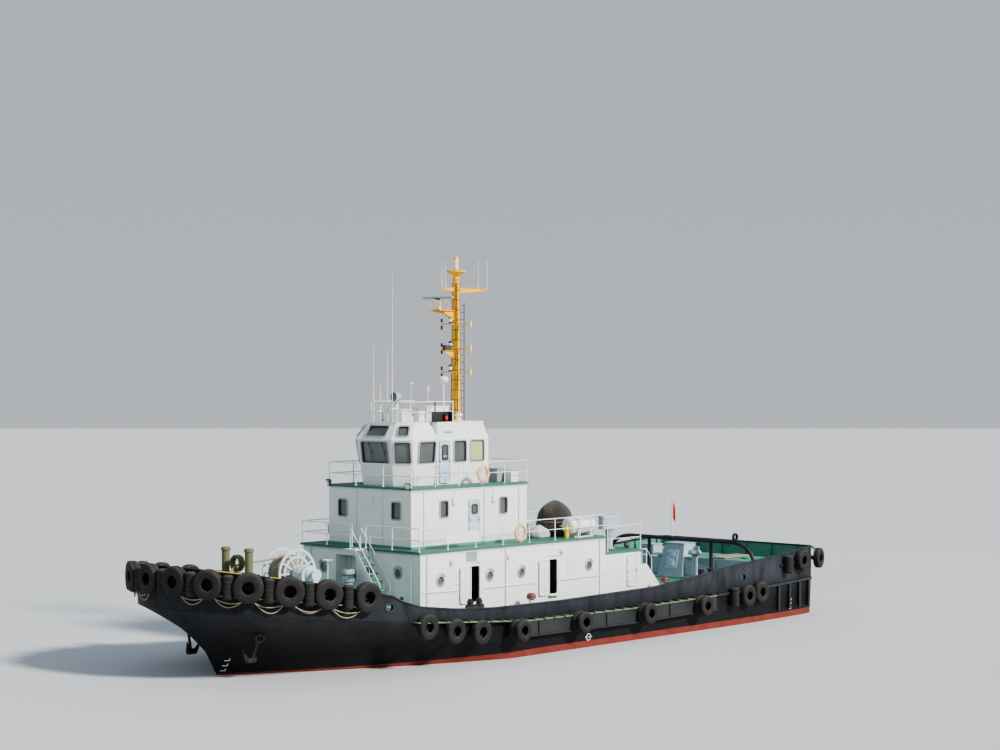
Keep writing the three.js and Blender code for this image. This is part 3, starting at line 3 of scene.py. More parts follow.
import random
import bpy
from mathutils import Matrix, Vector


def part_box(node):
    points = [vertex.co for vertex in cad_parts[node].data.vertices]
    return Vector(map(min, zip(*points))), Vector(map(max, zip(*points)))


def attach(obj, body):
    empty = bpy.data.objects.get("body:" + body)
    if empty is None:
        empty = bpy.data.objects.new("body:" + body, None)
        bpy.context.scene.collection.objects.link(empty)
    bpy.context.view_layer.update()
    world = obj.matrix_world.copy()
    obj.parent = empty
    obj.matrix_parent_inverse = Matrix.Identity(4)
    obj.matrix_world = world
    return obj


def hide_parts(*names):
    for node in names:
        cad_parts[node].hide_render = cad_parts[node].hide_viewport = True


bl_info = {
    "name": "Harbour Tugboat",
    "version": (1, 0, 0),
    "blender": (4, 5, 0),
    "location": "3D View > Sidebar > Tugboat",
    "description": "Hull, fenders, houses, deck gear and paint of a harbour tugboat",
    "category": "Object",
}

from math import atan2, cos, dist, pi, radians, sin, tau

import bmesh
import bpy
from mathutils import Matrix, Vector

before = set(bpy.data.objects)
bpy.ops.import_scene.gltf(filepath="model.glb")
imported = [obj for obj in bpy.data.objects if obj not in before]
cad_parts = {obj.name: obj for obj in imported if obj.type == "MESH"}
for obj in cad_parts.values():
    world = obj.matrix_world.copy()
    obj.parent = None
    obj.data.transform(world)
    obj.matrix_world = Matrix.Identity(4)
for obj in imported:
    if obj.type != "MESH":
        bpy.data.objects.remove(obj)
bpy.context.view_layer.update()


def xyz(*values):
    return Vector(values)


UP = xyz(0, 0, 1)

BOAT = "boat"
SIDES = (("port", 1), ("starboard", -1))

# Levels of the frame, and the side and front walls of its two lower houses
BOAT_DECK = 4.36
AFTER_DECK = 3.65
BRIDGE_DECK = 6.8
BROW = 8.68
ROOF = 9.36
HOUSE_SIDE, HOUSE_FRONT = 3.42, 8.6
CABIN_SIDE, CABIN_FRONT = 2.4, 8.1
ARCH_X = -12.1
THRUSTER_X, THRUSTER_Y = -11.2, 2.35

# The deck's sheer: its lowest level, where it starts to rise forward, and how far and high it rises
SHEER_LOW, SHEER_START = 1.45, 3
FORE_LENGTH, FORE_RISE = 15.34, 1.24
AFT_LENGTH, AFT_RISE = 16.5, 0.3

# Hull lines: fixed height, share of the deck's height, stem, bow length, fullness, half breadth,
# stern end, stern half breadth, start of the run
WATERLINES = (
    (-3.2, 0, 11.6, 9, 1.25, 2.3, -5.8, 1.5, -1),
    (-2.7, 0, 14.2, 11.2, 1.2, 3.9, -7.3, 2.9, -2),
    (-1.7, 0, 15.4, 11.6, 1.15, 4.75, -9.6, 4.2, -4),
    (-0.9, 0, 15.8, 11.6, 1.15, 4.92, -13.6, 4.45, -7.5),
    (0, 0, 16, 11, 1.15, 4.98, -16.45, 4.6, -9),
    (0, 0.33, 16.5, 11, 1.3, 5.01, -16.47, 4.62, -9),
    (0, 0.67, 17.3, 9.6, 1.7, 5.035, -16.485, 4.635, -9),
    (0, 1, 18.34, 7.2, 2.4, 5.05, -16.5, 4.65, -9),
)
STERN, STERN_SIDE, CORNER = -16.5, 4.65, 0.45
BULWARK_TOP = (
    (18.6, 4.28), (14.6, 3.62), (12, 3.06), (11.75, 3.04), (11.3, 2.78), (10.2, 2.47), (8.2, 2.22),
    (6, 2.09), (2, 2.06), (-4, 2.15), (-6.5, 2.35), (-10, 2.69), (-14.3, 3), (-17, 3.16),
)


# Lines of the hull
def table_value(table, x):
    """Straight between the rows of a table that runs from the bow aft."""
    if x >= table[0][0]:
        return table[0][1]
    for (x0, v0), (x1, v1) in zip(table, table[1:]):
        if x >= x1:
            return v1 + (v0 - v1) * (x - x1) / (x0 - x1)
    return table[-1][1]


def deck_height(x):
    fore = max(x - SHEER_START, 0) / FORE_LENGTH
    aft = max(-x, 0) / AFT_LENGTH
    return SHEER_LOW + FORE_RISE * fore**1.25 + AFT_RISE * aft**1.6


def bulwark_height(x):
    return table_value(BULWARK_TOP, x)


def half_outline(line, bow_steps=26, run_steps=8, grow=0):
    """Points [x, y] of the port side from the stem to the after end."""
    _, _, stem, bow, fullness, half, stern, stern_half, run = line
    points = []
    for i in range(bow_steps + 1):
        turn = i / bow_steps * pi / 2
        power = 2 / fullness
        x = stem - bow + (bow + grow) * max(cos(turn), 0) ** power
        y = (half + grow) * sin(turn) ** power
        points.append((stem - bow if i == bow_steps else x, 0 if i == 0 else y))
    for share in (0.33, 0.67):
        points.append((stem - bow + (run - stem + bow) * share, half + grow))
    for i in range(run_steps):
        x = run + i / run_steps * (stern + CORNER - run)
        points.append((x, half + grow - (half - stern_half) * ((run - x) / (run - stern)) ** 2))
    for i in range(7):
        turn = i / 6 * pi / 2
        points.append((
            stern + CORNER - (CORNER + grow) * sin(turn),
            stern_half - CORNER + (CORNER + grow) * cos(turn),
        ))
    return points


def with_normals(points):
    out = []
    for i, (x, y) in enumerate(points):
        x0, y0 = points[max(i - 1, 0)]
        x1, y1 = points[min(i + 1, len(points) - 1)]
        n = xyz(y1 - y0, -(x1 - x0)).normalized()
        if abs(y) < 1e-6 and x > 0:
            n = xyz(1, 0)
        out.append((x, y, n.x, n.y))
    return out


DECK_EDGE = with_normals(half_outline(WATERLINES[-1], bow_steps=40, run_steps=14))


def edge_at(x):
    """Half breadth at the deck's edge."""
    for a, b in zip(DECK_EDGE, DECK_EDGE[1:]):
        if b[0] <= x <= a[0] and a[0] > b[0]:
            return b[1] + (a[1] - b[1]) * (x - b[0]) / (a[0] - b[0])
    return DECK_EDGE[-1][1]


def edge_run(fore, aft, side):
    """Stations of the deck's edge between two places along the boat."""
    run = []
    if fore < 18.3:
        run.append((fore, edge_at(fore), 0, 1))
    run += [s for s in DECK_EDGE if aft + 0.05 < s[0] < fore - 0.05 or (fore > 18.3 and s[0] >= fore)]
    if aft > STERN:
        run.append((aft, edge_at(aft), 0, 1))
    points = with_normals([(s[0], s[1]) for s in run])
    return [(x, y * side, nx, ny * side) for x, y, nx, ny in points]


def bow_run(aft):
    port = edge_run(18.34, aft, 1)
    return port[::-1] + edge_run(18.34, aft, -1)[1:]


def stern_run(fore):
    port = edge_run(fore, -16.6, 1)
    return port + edge_run(fore, -16.6, -1)[::-1]


def bow_point(distance, side):
    """Place and outward direction after a walk round the bow from the stem."""
    left = distance
    for a, b in zip(DECK_EDGE, DECK_EDGE[1:]):
        step = dist(a[:2], b[:2])
        if left <= step:
            t = left / step
            x, y, nx, ny = (p + (q - p) * t for p, q in zip(a, b))
            return xyz(x, y * side, 0), xyz(nx, ny * side, 0).normalized()
        left -= step
    raise ValueError("the walk round the bow is too long")


# Gathering solids into pieces
class Form:
    """The solids of one piece. Each solid has a finish number for its faces."""

    def __init__(self):
        self.points, self.faces, self.finish = [], [], []

    def add(self, points, faces, finish=0):
        base = len(self.points)
        self.points += [Vector(p) for p in points]
        self.faces += [[base + i for i in face] for face in faces]
        self.finish += [finish] * len(faces)
        return self

    def block(self, x0, x1, y0, y1, z0, z1, finish=0, matrix=Matrix()):
        corners = [matrix @ xyz(x, y, z) for z in (z0, z1) for y in sorted((y0, y1)) for x in (x0, x1)]
        faces = ((0, 2, 3, 1), (4, 5, 7, 6), (0, 1, 5, 4), (2, 6, 7, 3), (0, 4, 6, 2), (1, 3, 7, 5))
        return self.add(corners, faces, finish)

    def loft(self, rings, finish=0, closed=True, capped=True):
        """Skin over rings of equal count."""
        count, last = len(rings[0]), len(rings) - 1
        faces = []
        for k in range(last):
            for i in range(count if closed else count - 1):
                j = (i + 1) % count
                faces.append((k * count + i, k * count + j, (k + 1) * count + j, (k + 1) * count + i))
        if capped:
            faces += [tuple(range(count))[::-1], tuple(last * count + i for i in range(count))]
        return self.add([p for ring in rings for p in ring], faces, finish)

    def cheek(self, outline, x, low, high, finish=0):
        """An outline of (x, z) with a thickness across the boat."""
        return self.loft([[(x + a, y, b) for a, b in outline] for y in (low, high)], finish)

    def tube(self, points, radius, sides=8, finish=0, loop=False, bend=0):
        """A round bar through points, mitred, or rounded at its bends."""
        path = [Vector(p) for p in points]
        if bend:
            path = rounded_path(path, bend)
        rings, side, count = [], None, len(path)
        for i, p in enumerate(path):
            before = path[i - 1] if i or loop else p
            after = path[(i + 1) % count] if i + 1 < count or loop else p
            a = (p - before).normalized() if before != p else (after - p).normalized()
            b = (after - p).normalized() if after != p else a
            tangent = (a + b).normalized()
            if side is None:
                side = UP.cross(tangent)
                if side.length < 0.2:
                    side = xyz(1, 0, 0).cross(tangent)
            else:
                side = side - tangent * side.dot(tangent)
            side.normalize()
            up = tangent.cross(side)
            stretch = 1 / max(tangent.dot(a), 0.5) - 1
            fold = (b - a).normalized() if (b - a).length > 1e-4 else Vector()
            spokes = [side * cos(turn) + up * sin(turn) for turn in turns(sides)]
            rings.append([p + (v + fold * v.dot(fold) * stretch) * radius for v in spokes])
        if loop:
            return self.loft(rings + rings[:1], finish, capped=False)
        return self.loft(rings, finish)

    def lathe(self, profile, centre, steps=24, finish=0, axis=UP, ripple=None):
        """A profile of (radius, height) turned about an axis. Ends that don't meet are closed flat to it."""
        if profile[0] != profile[-1]:
            ends = [[(0, h)] if r > 0 else [] for r, h in (profile[0], profile[-1])]
            profile = ends[0] + profile + ends[1]
        aim = UP.rotation_difference(Vector(axis).normalized())
        rings = []
        for k, turn in enumerate(turns(steps)):
            radii = [ripple(i, k, r) if ripple else r for i, (r, _) in enumerate(profile)]
            rings.append([Vector(centre) + aim @ xyz(r * cos(turn), r * sin(turn), h)
                for r, (_, h) in zip(radii, profile)])
        return self.loft(rings + rings[:1], finish, closed=profile[0][0] > 0, capped=False)

    def plate(self, outline, origin, u, v, thick, finish=0):
        """An outline in the plane of u and v, given a thickness along u x v."""
        origin, u, v = Vector(origin), Vector(u), Vector(v)
        w = u.cross(v).normalized() * thick
        flat = [origin + u * a + v * b for a, b in outline]
        return self.loft([flat, [p + w for p in flat]], finish)

    def ring(self, outer, inner, origin, u, v, thick, finish=0):
        """A frame between two outlines of equal count."""
        origin, u, v = Vector(origin), Vector(u), Vector(v)
        w = u.cross(v).normalized() * thick
        far, near = ([origin + u * a + v * b for a, b in points] for points in (outer, inner))
        return self.loft([far, [p + w for p in far], [p + w for p in near], near, far], finish, capped=False)

    def band(self, run, inner, outer, low, high, height=deck_height, finish=0, foot=None):
        """A strake along a run of the deck's edge, low and high above a height along the boat."""
        rings = []
        for x, y, nx, ny in run:
            a, b = ((x + nx * out, y + ny * out) for out in (outer, inner))
            z0, z1 = (foot or height)(x) + low, height(x) + high
            rings.append([(*a, z0), (*a, z1), (*b, z1), (*b, z0)])
        return self.loft(rings, finish)

    def bolts(self, profile, centre, reach, count, finish=0, axis=UP, u=(1, 0, 0), v=(0, 1, 0)):
        """Bolt heads round a circle in the plane of u and v."""
        for turn in turns(count):
            spot = Vector(centre) + (Vector(u) * cos(turn) + Vector(v) * sin(turn)) * reach
            self.lathe(profile, spot, 6, finish, axis)

    def close_to(self, point, first, count, way=1):
        """A fan from a ring of the form's points to one more point."""
        self.points.append(Vector(point))
        tip = len(self.points) - 1
        self.faces += [[first + i, first + (i + 1) % count][::way] + [tip] for i in range(count)]
        self.finish += [0] * count

    def mirrored(self, side):
        if side < 0:
            self.points = [xyz(p.x, -p.y, p.z) for p in self.points]
            self.faces = [face[::-1] for face in self.faces]
        return self

    def mesh(self, name, materials=(), sharp=35):
        work = bmesh.new()
        verts = [work.verts.new(p) for p in self.points]
        for face, finish in zip(self.faces, self.finish):
            if len(set(face)) > 2:
                work.faces.new([verts[i] for i in face]).material_index = finish
        bmesh.ops.remove_doubles(work, verts=work.verts, dist=1e-5)
        bmesh.ops.dissolve_degenerate(work, edges=work.edges, dist=1e-6)
        bmesh.ops.recalc_face_normals(work, faces=work.faces)
        mesh = bpy.data.meshes.new(name)
        work.to_mesh(mesh)
        work.free()
        smooth(mesh, sharp)
        for material in materials:
            mesh.materials.append(material)
        return mesh

    def piece(self, name, finishes, slot, body=BOAT, stands_for="", bevel=0, sharp=35):
        """Makes the object and rides it on its body; its slot is not used. Finishes are names, numbered from 0.
        """
        thing = into_scene(bpy.data.objects.new(name, self.mesh(name, materials_of(finishes), sharp)))
        if bevel:
            add_bevel(thing, bevel, angle_limit=radians(40))
        return settle(thing, body, stands_for)


def plain_copy(thing):
    """The mesh that an object's modifiers give."""
    depsgraph = bpy.context.evaluated_depsgraph_get()
    return bpy.data.meshes.new_from_object(thing.evaluated_get(depsgraph), depsgraph=depsgraph)


def smooth(mesh, sharp):
    mesh.polygons.foreach_set("use_smooth", [True] * len(mesh.polygons))
    mesh.set_sharp_from_angle(angle=radians(sharp))


def add_bevel(thing, width, **settings):
    edge = thing.modifiers.new("Edge", "BEVEL")
    edge.width, edge.segments, edge.limit_method, edge.harden_normals = width, 2, "ANGLE", True
    for name, value in settings.items():
        setattr(edge, name, value)


def into_scene(thing):
    bpy.context.scene.collection.objects.link(thing)
    return thing


def materials_of(finishes):
    return [FINISHES[name] for name in finishes.split()]


def turns(count, start=0):
    return [k / count * tau + start for k in range(count)]


def settle(thing, body=BOAT, stands_for=""):
    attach(thing, body)
    if stands_for:
        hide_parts(stands_for)
    return thing


def rounded_path(path, radius, steps=4):
    """Rounds the corners of a path."""
    out = [path[0]]
    for a, b, c in zip(path, path[1:], path[2:]):
        reach = min(radius, (b - a).length * 0.45, (c - b).length * 0.45)
        start = b + (a - b).normalized() * reach
        end = b + (c - b).normalized() * reach
        for i in range(steps + 1):
            t = i / steps
            out.append(start * (1 - t) ** 2 + b * 2 * t * (1 - t) + end * t**2)
    out.append(path[-1])
    return out


def rounded(width, height, radius, steps=4):
    """A rounded rectangle about its middle."""
    points = []
    for cx, cy, start in ((1, 1, 0), (-1, 1, 90), (-1, -1, 180), (1, -1, 270)):
        for turn in (radians(start + 90 * i / steps) for i in range(steps + 1)):
            points.append((cx * (width / 2 - radius) + radius * cos(turn),
                cy * (height / 2 - radius) + radius * sin(turn)))
    return points


# Repeating a part with Geometry Nodes
TREE_LINKS = """
start Part part Object, turn Attribute as_rotation Euler, size Attribute whole Vector, start Size whole Scale,
start Geometry place Points, part Geometry place Instance, as_rotation Rotation place Rotation,
whole Vector place Scale, place Instances join Geometry, join Geometry paint Geometry,
start Finish paint Material, paint Geometry end Geometry
"""


TREE_NODES = {"start": "NodeGroupInput", "end": "NodeGroupOutput", "part": "GeometryNodeObjectInfo",
    "turn": "GeometryNodeInputNamedAttribute", "as_rotation": "FunctionNodeEulerToRotation",
    "size": "GeometryNodeInputNamedAttribute", "whole": "ShaderNodeVectorMath",
    "place": "GeometryNodeInstanceOnPoints", "join": "GeometryNodeRealizeInstances",
    "paint": "GeometryNodeSetMaterial"}


TREE_SOCKETS = (
    ("Geometry", "INPUT", "Geometry"), ("Part", "INPUT", "Object"), ("Size", "INPUT", "Float"),
    ("Finish", "INPUT", "Material"), ("Geometry", "OUTPUT", "Geometry"),
)


def repeat_tree():
    """Sets a part on every point, turned and sized by the points' own values, and makes one mesh of it."""
    tree = bpy.data.node_groups.new("Set parts on points", "GeometryNodeTree")
    tree.is_modifier = True
    for name, way, kind in TREE_SOCKETS:
        tree.interface.new_socket(name, in_out=way, socket_type="NodeSocket" + kind)
    nodes = {name: tree.nodes.new(kind) for name, kind in TREE_NODES.items()}
    for name in ("turn", "size"):
        nodes[name].data_type = "FLOAT_VECTOR"
        nodes[name].inputs["Name"].default_value = name
    nodes["whole"].operation = "SCALE"
    for source, out, target, into in (link.split() for link in TREE_LINKS.split(",")):
        tree.links.new(nodes[source].outputs[out], nodes[target].inputs[into])
    return tree


def repeat(name, part, places, finish, stands_for=""):
    """Sets copies of a form at places, each (point, rotation, scale), as one piece."""
    unit = bpy.data.objects.new(name + "_part", part.mesh(name + "_part"))
    points = bpy.data.meshes.new(name + "_points")
    points.from_pydata([tuple(p) for p, _, _ in places], [], [])
    turn_values = points.attributes.new("turn", "FLOAT_VECTOR", "POINT")
    sizes = points.attributes.new("size", "FLOAT_VECTOR", "POINT")
    for i, (_, turn, scale) in enumerate(places):
        turn_values.data[i].vector = turn.to_euler("XYZ")
        sizes.data[i].vector = (scale,) * 3
    carrier = into_scene(bpy.data.objects.new(name, points))
    modifier = carrier.modifiers.new("Repeat", "NODES")
    modifier.node_group = bpy.data.node_groups.get("Set parts on points") or repeat_tree()
    values = {"Part": unit, "Size": 1.0, "Finish": FINISHES[finish]}
    for item in modifier.node_group.interface.items_tree:
        if item.in_out == "INPUT" and item.name in values:
            modifier[item.identifier] = values[item.name]
    mesh = plain_copy(carrier)
    carrier.modifiers.clear()
    carrier.data = mesh
    mesh.materials.clear()
    mesh.materials.append(FINISHES[finish])
    mesh.polygons.foreach_set("material_index", [0] * len(mesh.polygons))
    smooth(mesh, 35)
    bpy.data.objects.remove(unit)
    return settle(carrier, BOAT, stands_for)


def upright(direction, roll=0):
    """The turn that points a part's Z along a direction, with its X level."""
    z = Vector(direction).normalized()
    x = UP.cross(z)
    x = x.normalized() if x.length > 1e-4 else xyz(1, 0, 0)
    return Matrix((x, z.cross(x), z)).transposed() @ Matrix.Rotation(roll, 3, "Z")


# Shader sums
class Wire:
    """A shader socket that can stand in sums."""

    def __init__(self, shade, socket):
        self.shade, self.socket = shade, socket

    def sum(self, operation, other=0, swapped=False):
        pair = (other, self) if swapped else (self, other)
        return self.shade.node("ShaderNodeMath", {"operation": operation}, *pair)

    def between(self, low, high):
        """0 below low, 1 above high, smooth between."""
        return self.shade.node("ShaderNodeMapRange", {"interpolation_type": "SMOOTHSTEP"}, self, low, high, 0,
            1)


def overload(sign, operation):
    """Gives a wire one sign of arithmetic, with its reflected form."""
    setattr(Wire, f"__{sign}__", lambda wire, other: wire.sum(operation, other))
    setattr(Wire, f"__r{sign}__", lambda wire, other: wire.sum(operation, other, True))


for sign, operation in {"add": "ADD", "sub": "SUBTRACT", "mul": "MULTIPLY", "pow": "POWER",
        "truediv": "DIVIDE"}.items():
    overload(sign, operation)


class Shade:
    """A finish under construction."""

    def __init__(self, name):
        self.material = bpy.data.materials.new(name)
        self.material.use_nodes = True
        self.nodes = self.material.node_tree.nodes
        self.links = self.material.node_tree.links
        self.skin = self.nodes["Principled BSDF"]

    def feed(self, socket, value):
        if isinstance(value, Wire):
            self.links.new(value.socket, socket)
        elif isinstance(value, tuple) and len(value) == 3 and len(socket.default_value) == 4:
            socket.default_value = (*value, 1)
        else:
            socket.default_value = value

    def node(self, kind, settings, *values, out=0):
        made = self.nodes.new(kind)
        for key, value in settings.items():
            setattr(made, key, value)
        for i, value in enumerate(values):
            if value is not None:
                self.feed(made.inputs[i], value)
        return Wire(self, made.outputs[out])

    def place(self, stretch=None):
        spot = self.node("ShaderNodeTexCoord", {}, out=3)
        return self.node("ShaderNodeVectorMath", {"operation": "MULTIPLY"}, spot,
            stretch) if stretch else spot

    def noise(self, scale, detail=4, stretch=None, rough=0.55):
        return self.node("ShaderNodeTexNoise", {}, self.place(stretch), None, scale, detail, rough)

    def wave(self, direction, scale, distortion):
        return self.node("ShaderNodeTexWave", {"bands_direction": direction}, self.place(), scale, distortion)

    def part_of(self, vector, number):
        return self.node("ShaderNodeSeparateXYZ", {}, vector, out=number)

    def height(self):
        return self.part_of(self.place(), 2)

    def forward(self):
        return self.part_of(self.place(), 0)

    def facing_up(self):
        return self.part_of(self.node("ShaderNodeNewGeometry", {}, out=1), 2)

    def mix(self, share, a, b):
        values = (share, None, None, None, None, None, a, b)
        return self.node("ShaderNodeMix", {"data_type": "RGBA"}, *values, out=2)

    def finish(self, colour, rough, metal=0, relief=None, depth=0.02, coat=0):
        inputs = self.skin.inputs
        for name, value in (("Base Color", colour), ("Roughness", rough), ("Metallic", metal)):
            self.feed(inputs[name], value)
        if coat:
            inputs["Coat Weight"].default_value = coat
            inputs["Coat Roughness"].default_value = 0.25
        if relief is not None:
            self.feed(inputs["Normal"], self.node("ShaderNodeBump", {}, 0.6, depth, None, relief))
        return self.material


RUST = (0.2, 0.065, 0.022)
GRIME = (0.1, 0.095, 0.085)
FINISHES = {}


def tone(colour, share, lift=0):
    return tuple(min(1, c * share + lift) for c in colour)


def painted(name, colour, rust=0.35, grime=0.3, rough=0.5, fade=0.12):
    """Ship's paint: uneven colour, dirt that runs down, rust spots with their streaks."""
    s = Shade(name)
    base = s.mix(s.noise(0.7, 5), tone(colour, 1 - fade), tone(colour, 1 + fade, 0.01))
    streak = s.noise(5, 5, (1, 1, 0.06), 0.6).between(0.5, 0.78)
    film = s.noise(1.6, 6).between(0.45, 0.75)
    base = s.mix(streak * film * grime, base, GRIME)
    base = s.mix(s.noise(24, 3).between(0.56, 0.75) * grime * 0.5, base, GRIME)
    spots = s.noise(3.4, 8, rough=0.68).between(0.66, 0.74)
    bleed = s.noise(7, 4, (1, 1, 0.05)).between(0.6, 0.8) * s.noise(0.9, 3).between(0.5, 0.7)
    rusty = (spots + bleed * 0.7) * rust
    base = s.mix(rusty.sum("MINIMUM", 1), base, RUST)
    relief = s.noise(1.1, 3) * 0.6 + spots * 0.3 + s.noise(60, 2) * 0.08
    return s.finish(base, s.noise(4, 3) * 0.2 + rough - 0.1 + rusty * 0.3, 0, relief, 0.006)


def hull_paint():
    """Black hull, lighter slate higher up where it is dry: patchy dust and painted light on the upper sides,
    with less of it at the bow as painted shade; brick red below the boot line, with scrapes.
    """
    s = Shade("hull paint")
    z, fore = s.height(), s.forward()
    shell = s.mix(s.noise(0.5, 6), (0.004, 0.004, 0.005), (0.013, 0.014, 0.017))
    # Lighter slate: patchy dust and painted light, growing with height; at the bow it is cut to 0.3, painted
    # shade.
    dust_and_light = s.noise(1.6, 6, (1, 1, 0.45)).between(0.15, 0.7) * z.between(0.9, 2.6)
    shell = s.mix(dust_and_light * (1 - fore.between(9, 14.5) * 0.7) * 0.7, shell, (0.062, 0.071, 0.087))
    scrape = s.noise(2.6, 7, (0.25, 0.25, 2.2), 0.7).between(0.62, 0.72)
    shell = s.mix(scrape * 0.2, shell, (0.11, 0.105, 0.1))
    rusty = s.noise(4, 8, (1, 1, 0.25), 0.68).between(0.66, 0.76)
    shell = s.mix(rusty * 0.5, shell, RUST)
    salt = s.noise(6, 6, (1, 1, 0.1)).between(0.6, 0.8) * (1 - z.between(0.4, 1.6))
    shell = s.mix(salt * 0.12, shell, (0.2, 0.19, 0.17))
    red = s.mix(s.noise(1.4, 6), (0.13, 0.02, 0.015), (0.27, 0.06, 0.045))
    red = s.mix(s.noise(5, 6, (1, 1, 0.3)).between(0.5, 0.75) * 0.5, red, (0.1, 0.06, 0.04))
    wander = s.noise(1.2, 4, (1, 1, 0.2)) * 0.06
    below = 1 - (z + wander + fore.between(2, 14.5) * 0.19).between(0.29, 0.32)
    seams = s.wave("X", 0.16, 0).between(0.985, 1)
    relief = s.noise(0.8, 3) * 0.8 + s.noise(30, 3) * 0.08 + seams * 0.15
    s.skin.inputs["Specular IOR Level"].default_value = 0.18
    return s.finish(s.mix(below, shell, red), s.noise(3, 4) * 0.25 + 0.42, 0, relief, 0.012)


def deck_paint(name, light, posts=False):
    """Teal green deck paint, walked grey, with rust and damp; black on posts that stand up from the sheer. A
    light below 1 darkens all of it as painted shade.
    """
    s = Shade(name)
    # light scales the whole paint; below 1 it is painted shade.
    base = s.mix(s.noise(0.6, 6), tone((0.045, 0.18, 0.125), light), tone((0.1, 0.29, 0.215), light))
    base = s.mix(s.noise(3.2, 7).between(0.52, 0.78) * 0.5, base, tone((0.15, 0.18, 0.155), light))
    base = s.mix(s.noise(2.5, 9, rough=0.7).between(0.63, 0.72) * 0.6, base, RUST)
    if posts:
        x = s.forward()
        fore = ((x - SHEER_START).sum("MAXIMUM") / FORE_LENGTH) ** 1.25 * FORE_RISE
        aft = ((0 - x).sum("MAXIMUM") / AFT_LENGTH) ** 1.6 * AFT_RISE
        base = s.mix((s.height() - (fore + aft)).between(1.68, 1.7), base, (0.012, 0.012, 0.013))
    return s.finish(base, s.noise(2, 4) * 0.3 + 0.5, 0, s.noise(90, 2) * 0.5 + s.noise(1, 3), 0.006)


def tyre_rubber():
    """Old tyres: black rubber, lighter brown-grey on what faces up (dust and a painted highlight), scuffs and
    crazing.
    """
    s = Shade("tyre rubber")
    base = s.mix(s.noise(1.3, 5), (0.006, 0.006, 0.006), (0.022, 0.02, 0.019))
    # Lighter brown-grey on upward faces: dust and a painted highlight from above.
    base = s.mix((s.facing_up() + s.noise(2.4, 6) * 1.2).between(0.6, 1.5) * 0.4, base, (0.105, 0.098, 0.09))
    base = s.mix(s.noise(9, 7, rough=0.7).between(0.56, 0.72) * 0.16, base, (0.14, 0.135, 0.125))
    crazing = s.node("ShaderNodeTexVoronoi", {}, s.place(), None, 34)
    return s.finish(base, s.noise(6, 3) * 0.2 + 0.75, 0, s.noise(26, 6) + crazing * 0.5, 0.012)


def steel(name, colour, rough, metal, rust):
    s = Shade(name)
    base = s.mix(s.noise(5, 6), tone(colour, 0.7), tone(colour, 1.25))
    base = s.mix(s.noise(7, 8, rough=0.68).between(0.52, 0.7) * rust, base, RUST)
    return s.finish(base, s.noise(9, 4) * 0.25 + rough - 0.1, metal, s.noise(40, 5), 0.006)


def plain(name, colour, rough, metal=0, vary=0.15, scale=8, coat=0):
    """An evenly worn finish with a little variation and grain."""
    s = Shade(name)
    base = s.mix(s.noise(scale, 5), tone(colour, 1 - vary), tone(colour, 1 + vary))
    base = s.mix(s.noise(scale * 0.4, 6).between(0.55, 0.8) * 0.3, base, GRIME)
    return s.finish(base, s.noise(scale * 2, 3) * 0.2 + rough - 0.1, metal, s.noise(scale * 9, 4), 0.003,
        coat)


def window_glass():
    """Dark tinted panes with lighter greenish patches of painted reflection, and spots of dust."""
    s = Shade("window glass")
    # The lighter greenish end of this mix is painted reflection.
    base = s.mix(s.noise(1.5, 3), (0.045, 0.058, 0.06), (0.125, 0.145, 0.142))
    base = s.mix(s.noise(7, 6).between(0.55, 0.8) * 0.25, base, (0.2, 0.2, 0.18))
    s.skin.inputs["IOR"].default_value = 1.52
    return s.finish(base, s.noise(5, 4) * 0.12 + 0.04, 0, s.noise(2, 2), 0.002, coat=0.6)


def cloth(name, colour, fold=0.25, rough=0.9):
    """Woven cloth: crossing threads, faded patches and damp folds."""
    s = Shade(name)
    base = s.mix(s.noise(2.6, 6), tone(colour, 0.75), tone(colour, 1.2))
    base = s.mix(s.noise(0.9, 4).between(0.5, 0.75) * fold, base, GRIME)
    s.skin.inputs["Sheen Weight"].default_value = 0.3
    return s.finish(base, s.noise(5, 3) * 0.1 + rough - 0.05, 0, s.wave("X", 26, 0.4) + s.wave("Z", 26, 0.4),
        0.003)


def rope_fibre(name, colour):
    s = Shade(name)
    base = s.mix(s.noise(14, 5), tone(colour, 0.6), colour)
    relief = s.wave("DIAGONAL", 30, 2) + s.noise(90, 4) * 0.6
    return s.finish(base, s.noise(9, 3) * 0.1 + 0.85, 0, relief, 0.008)


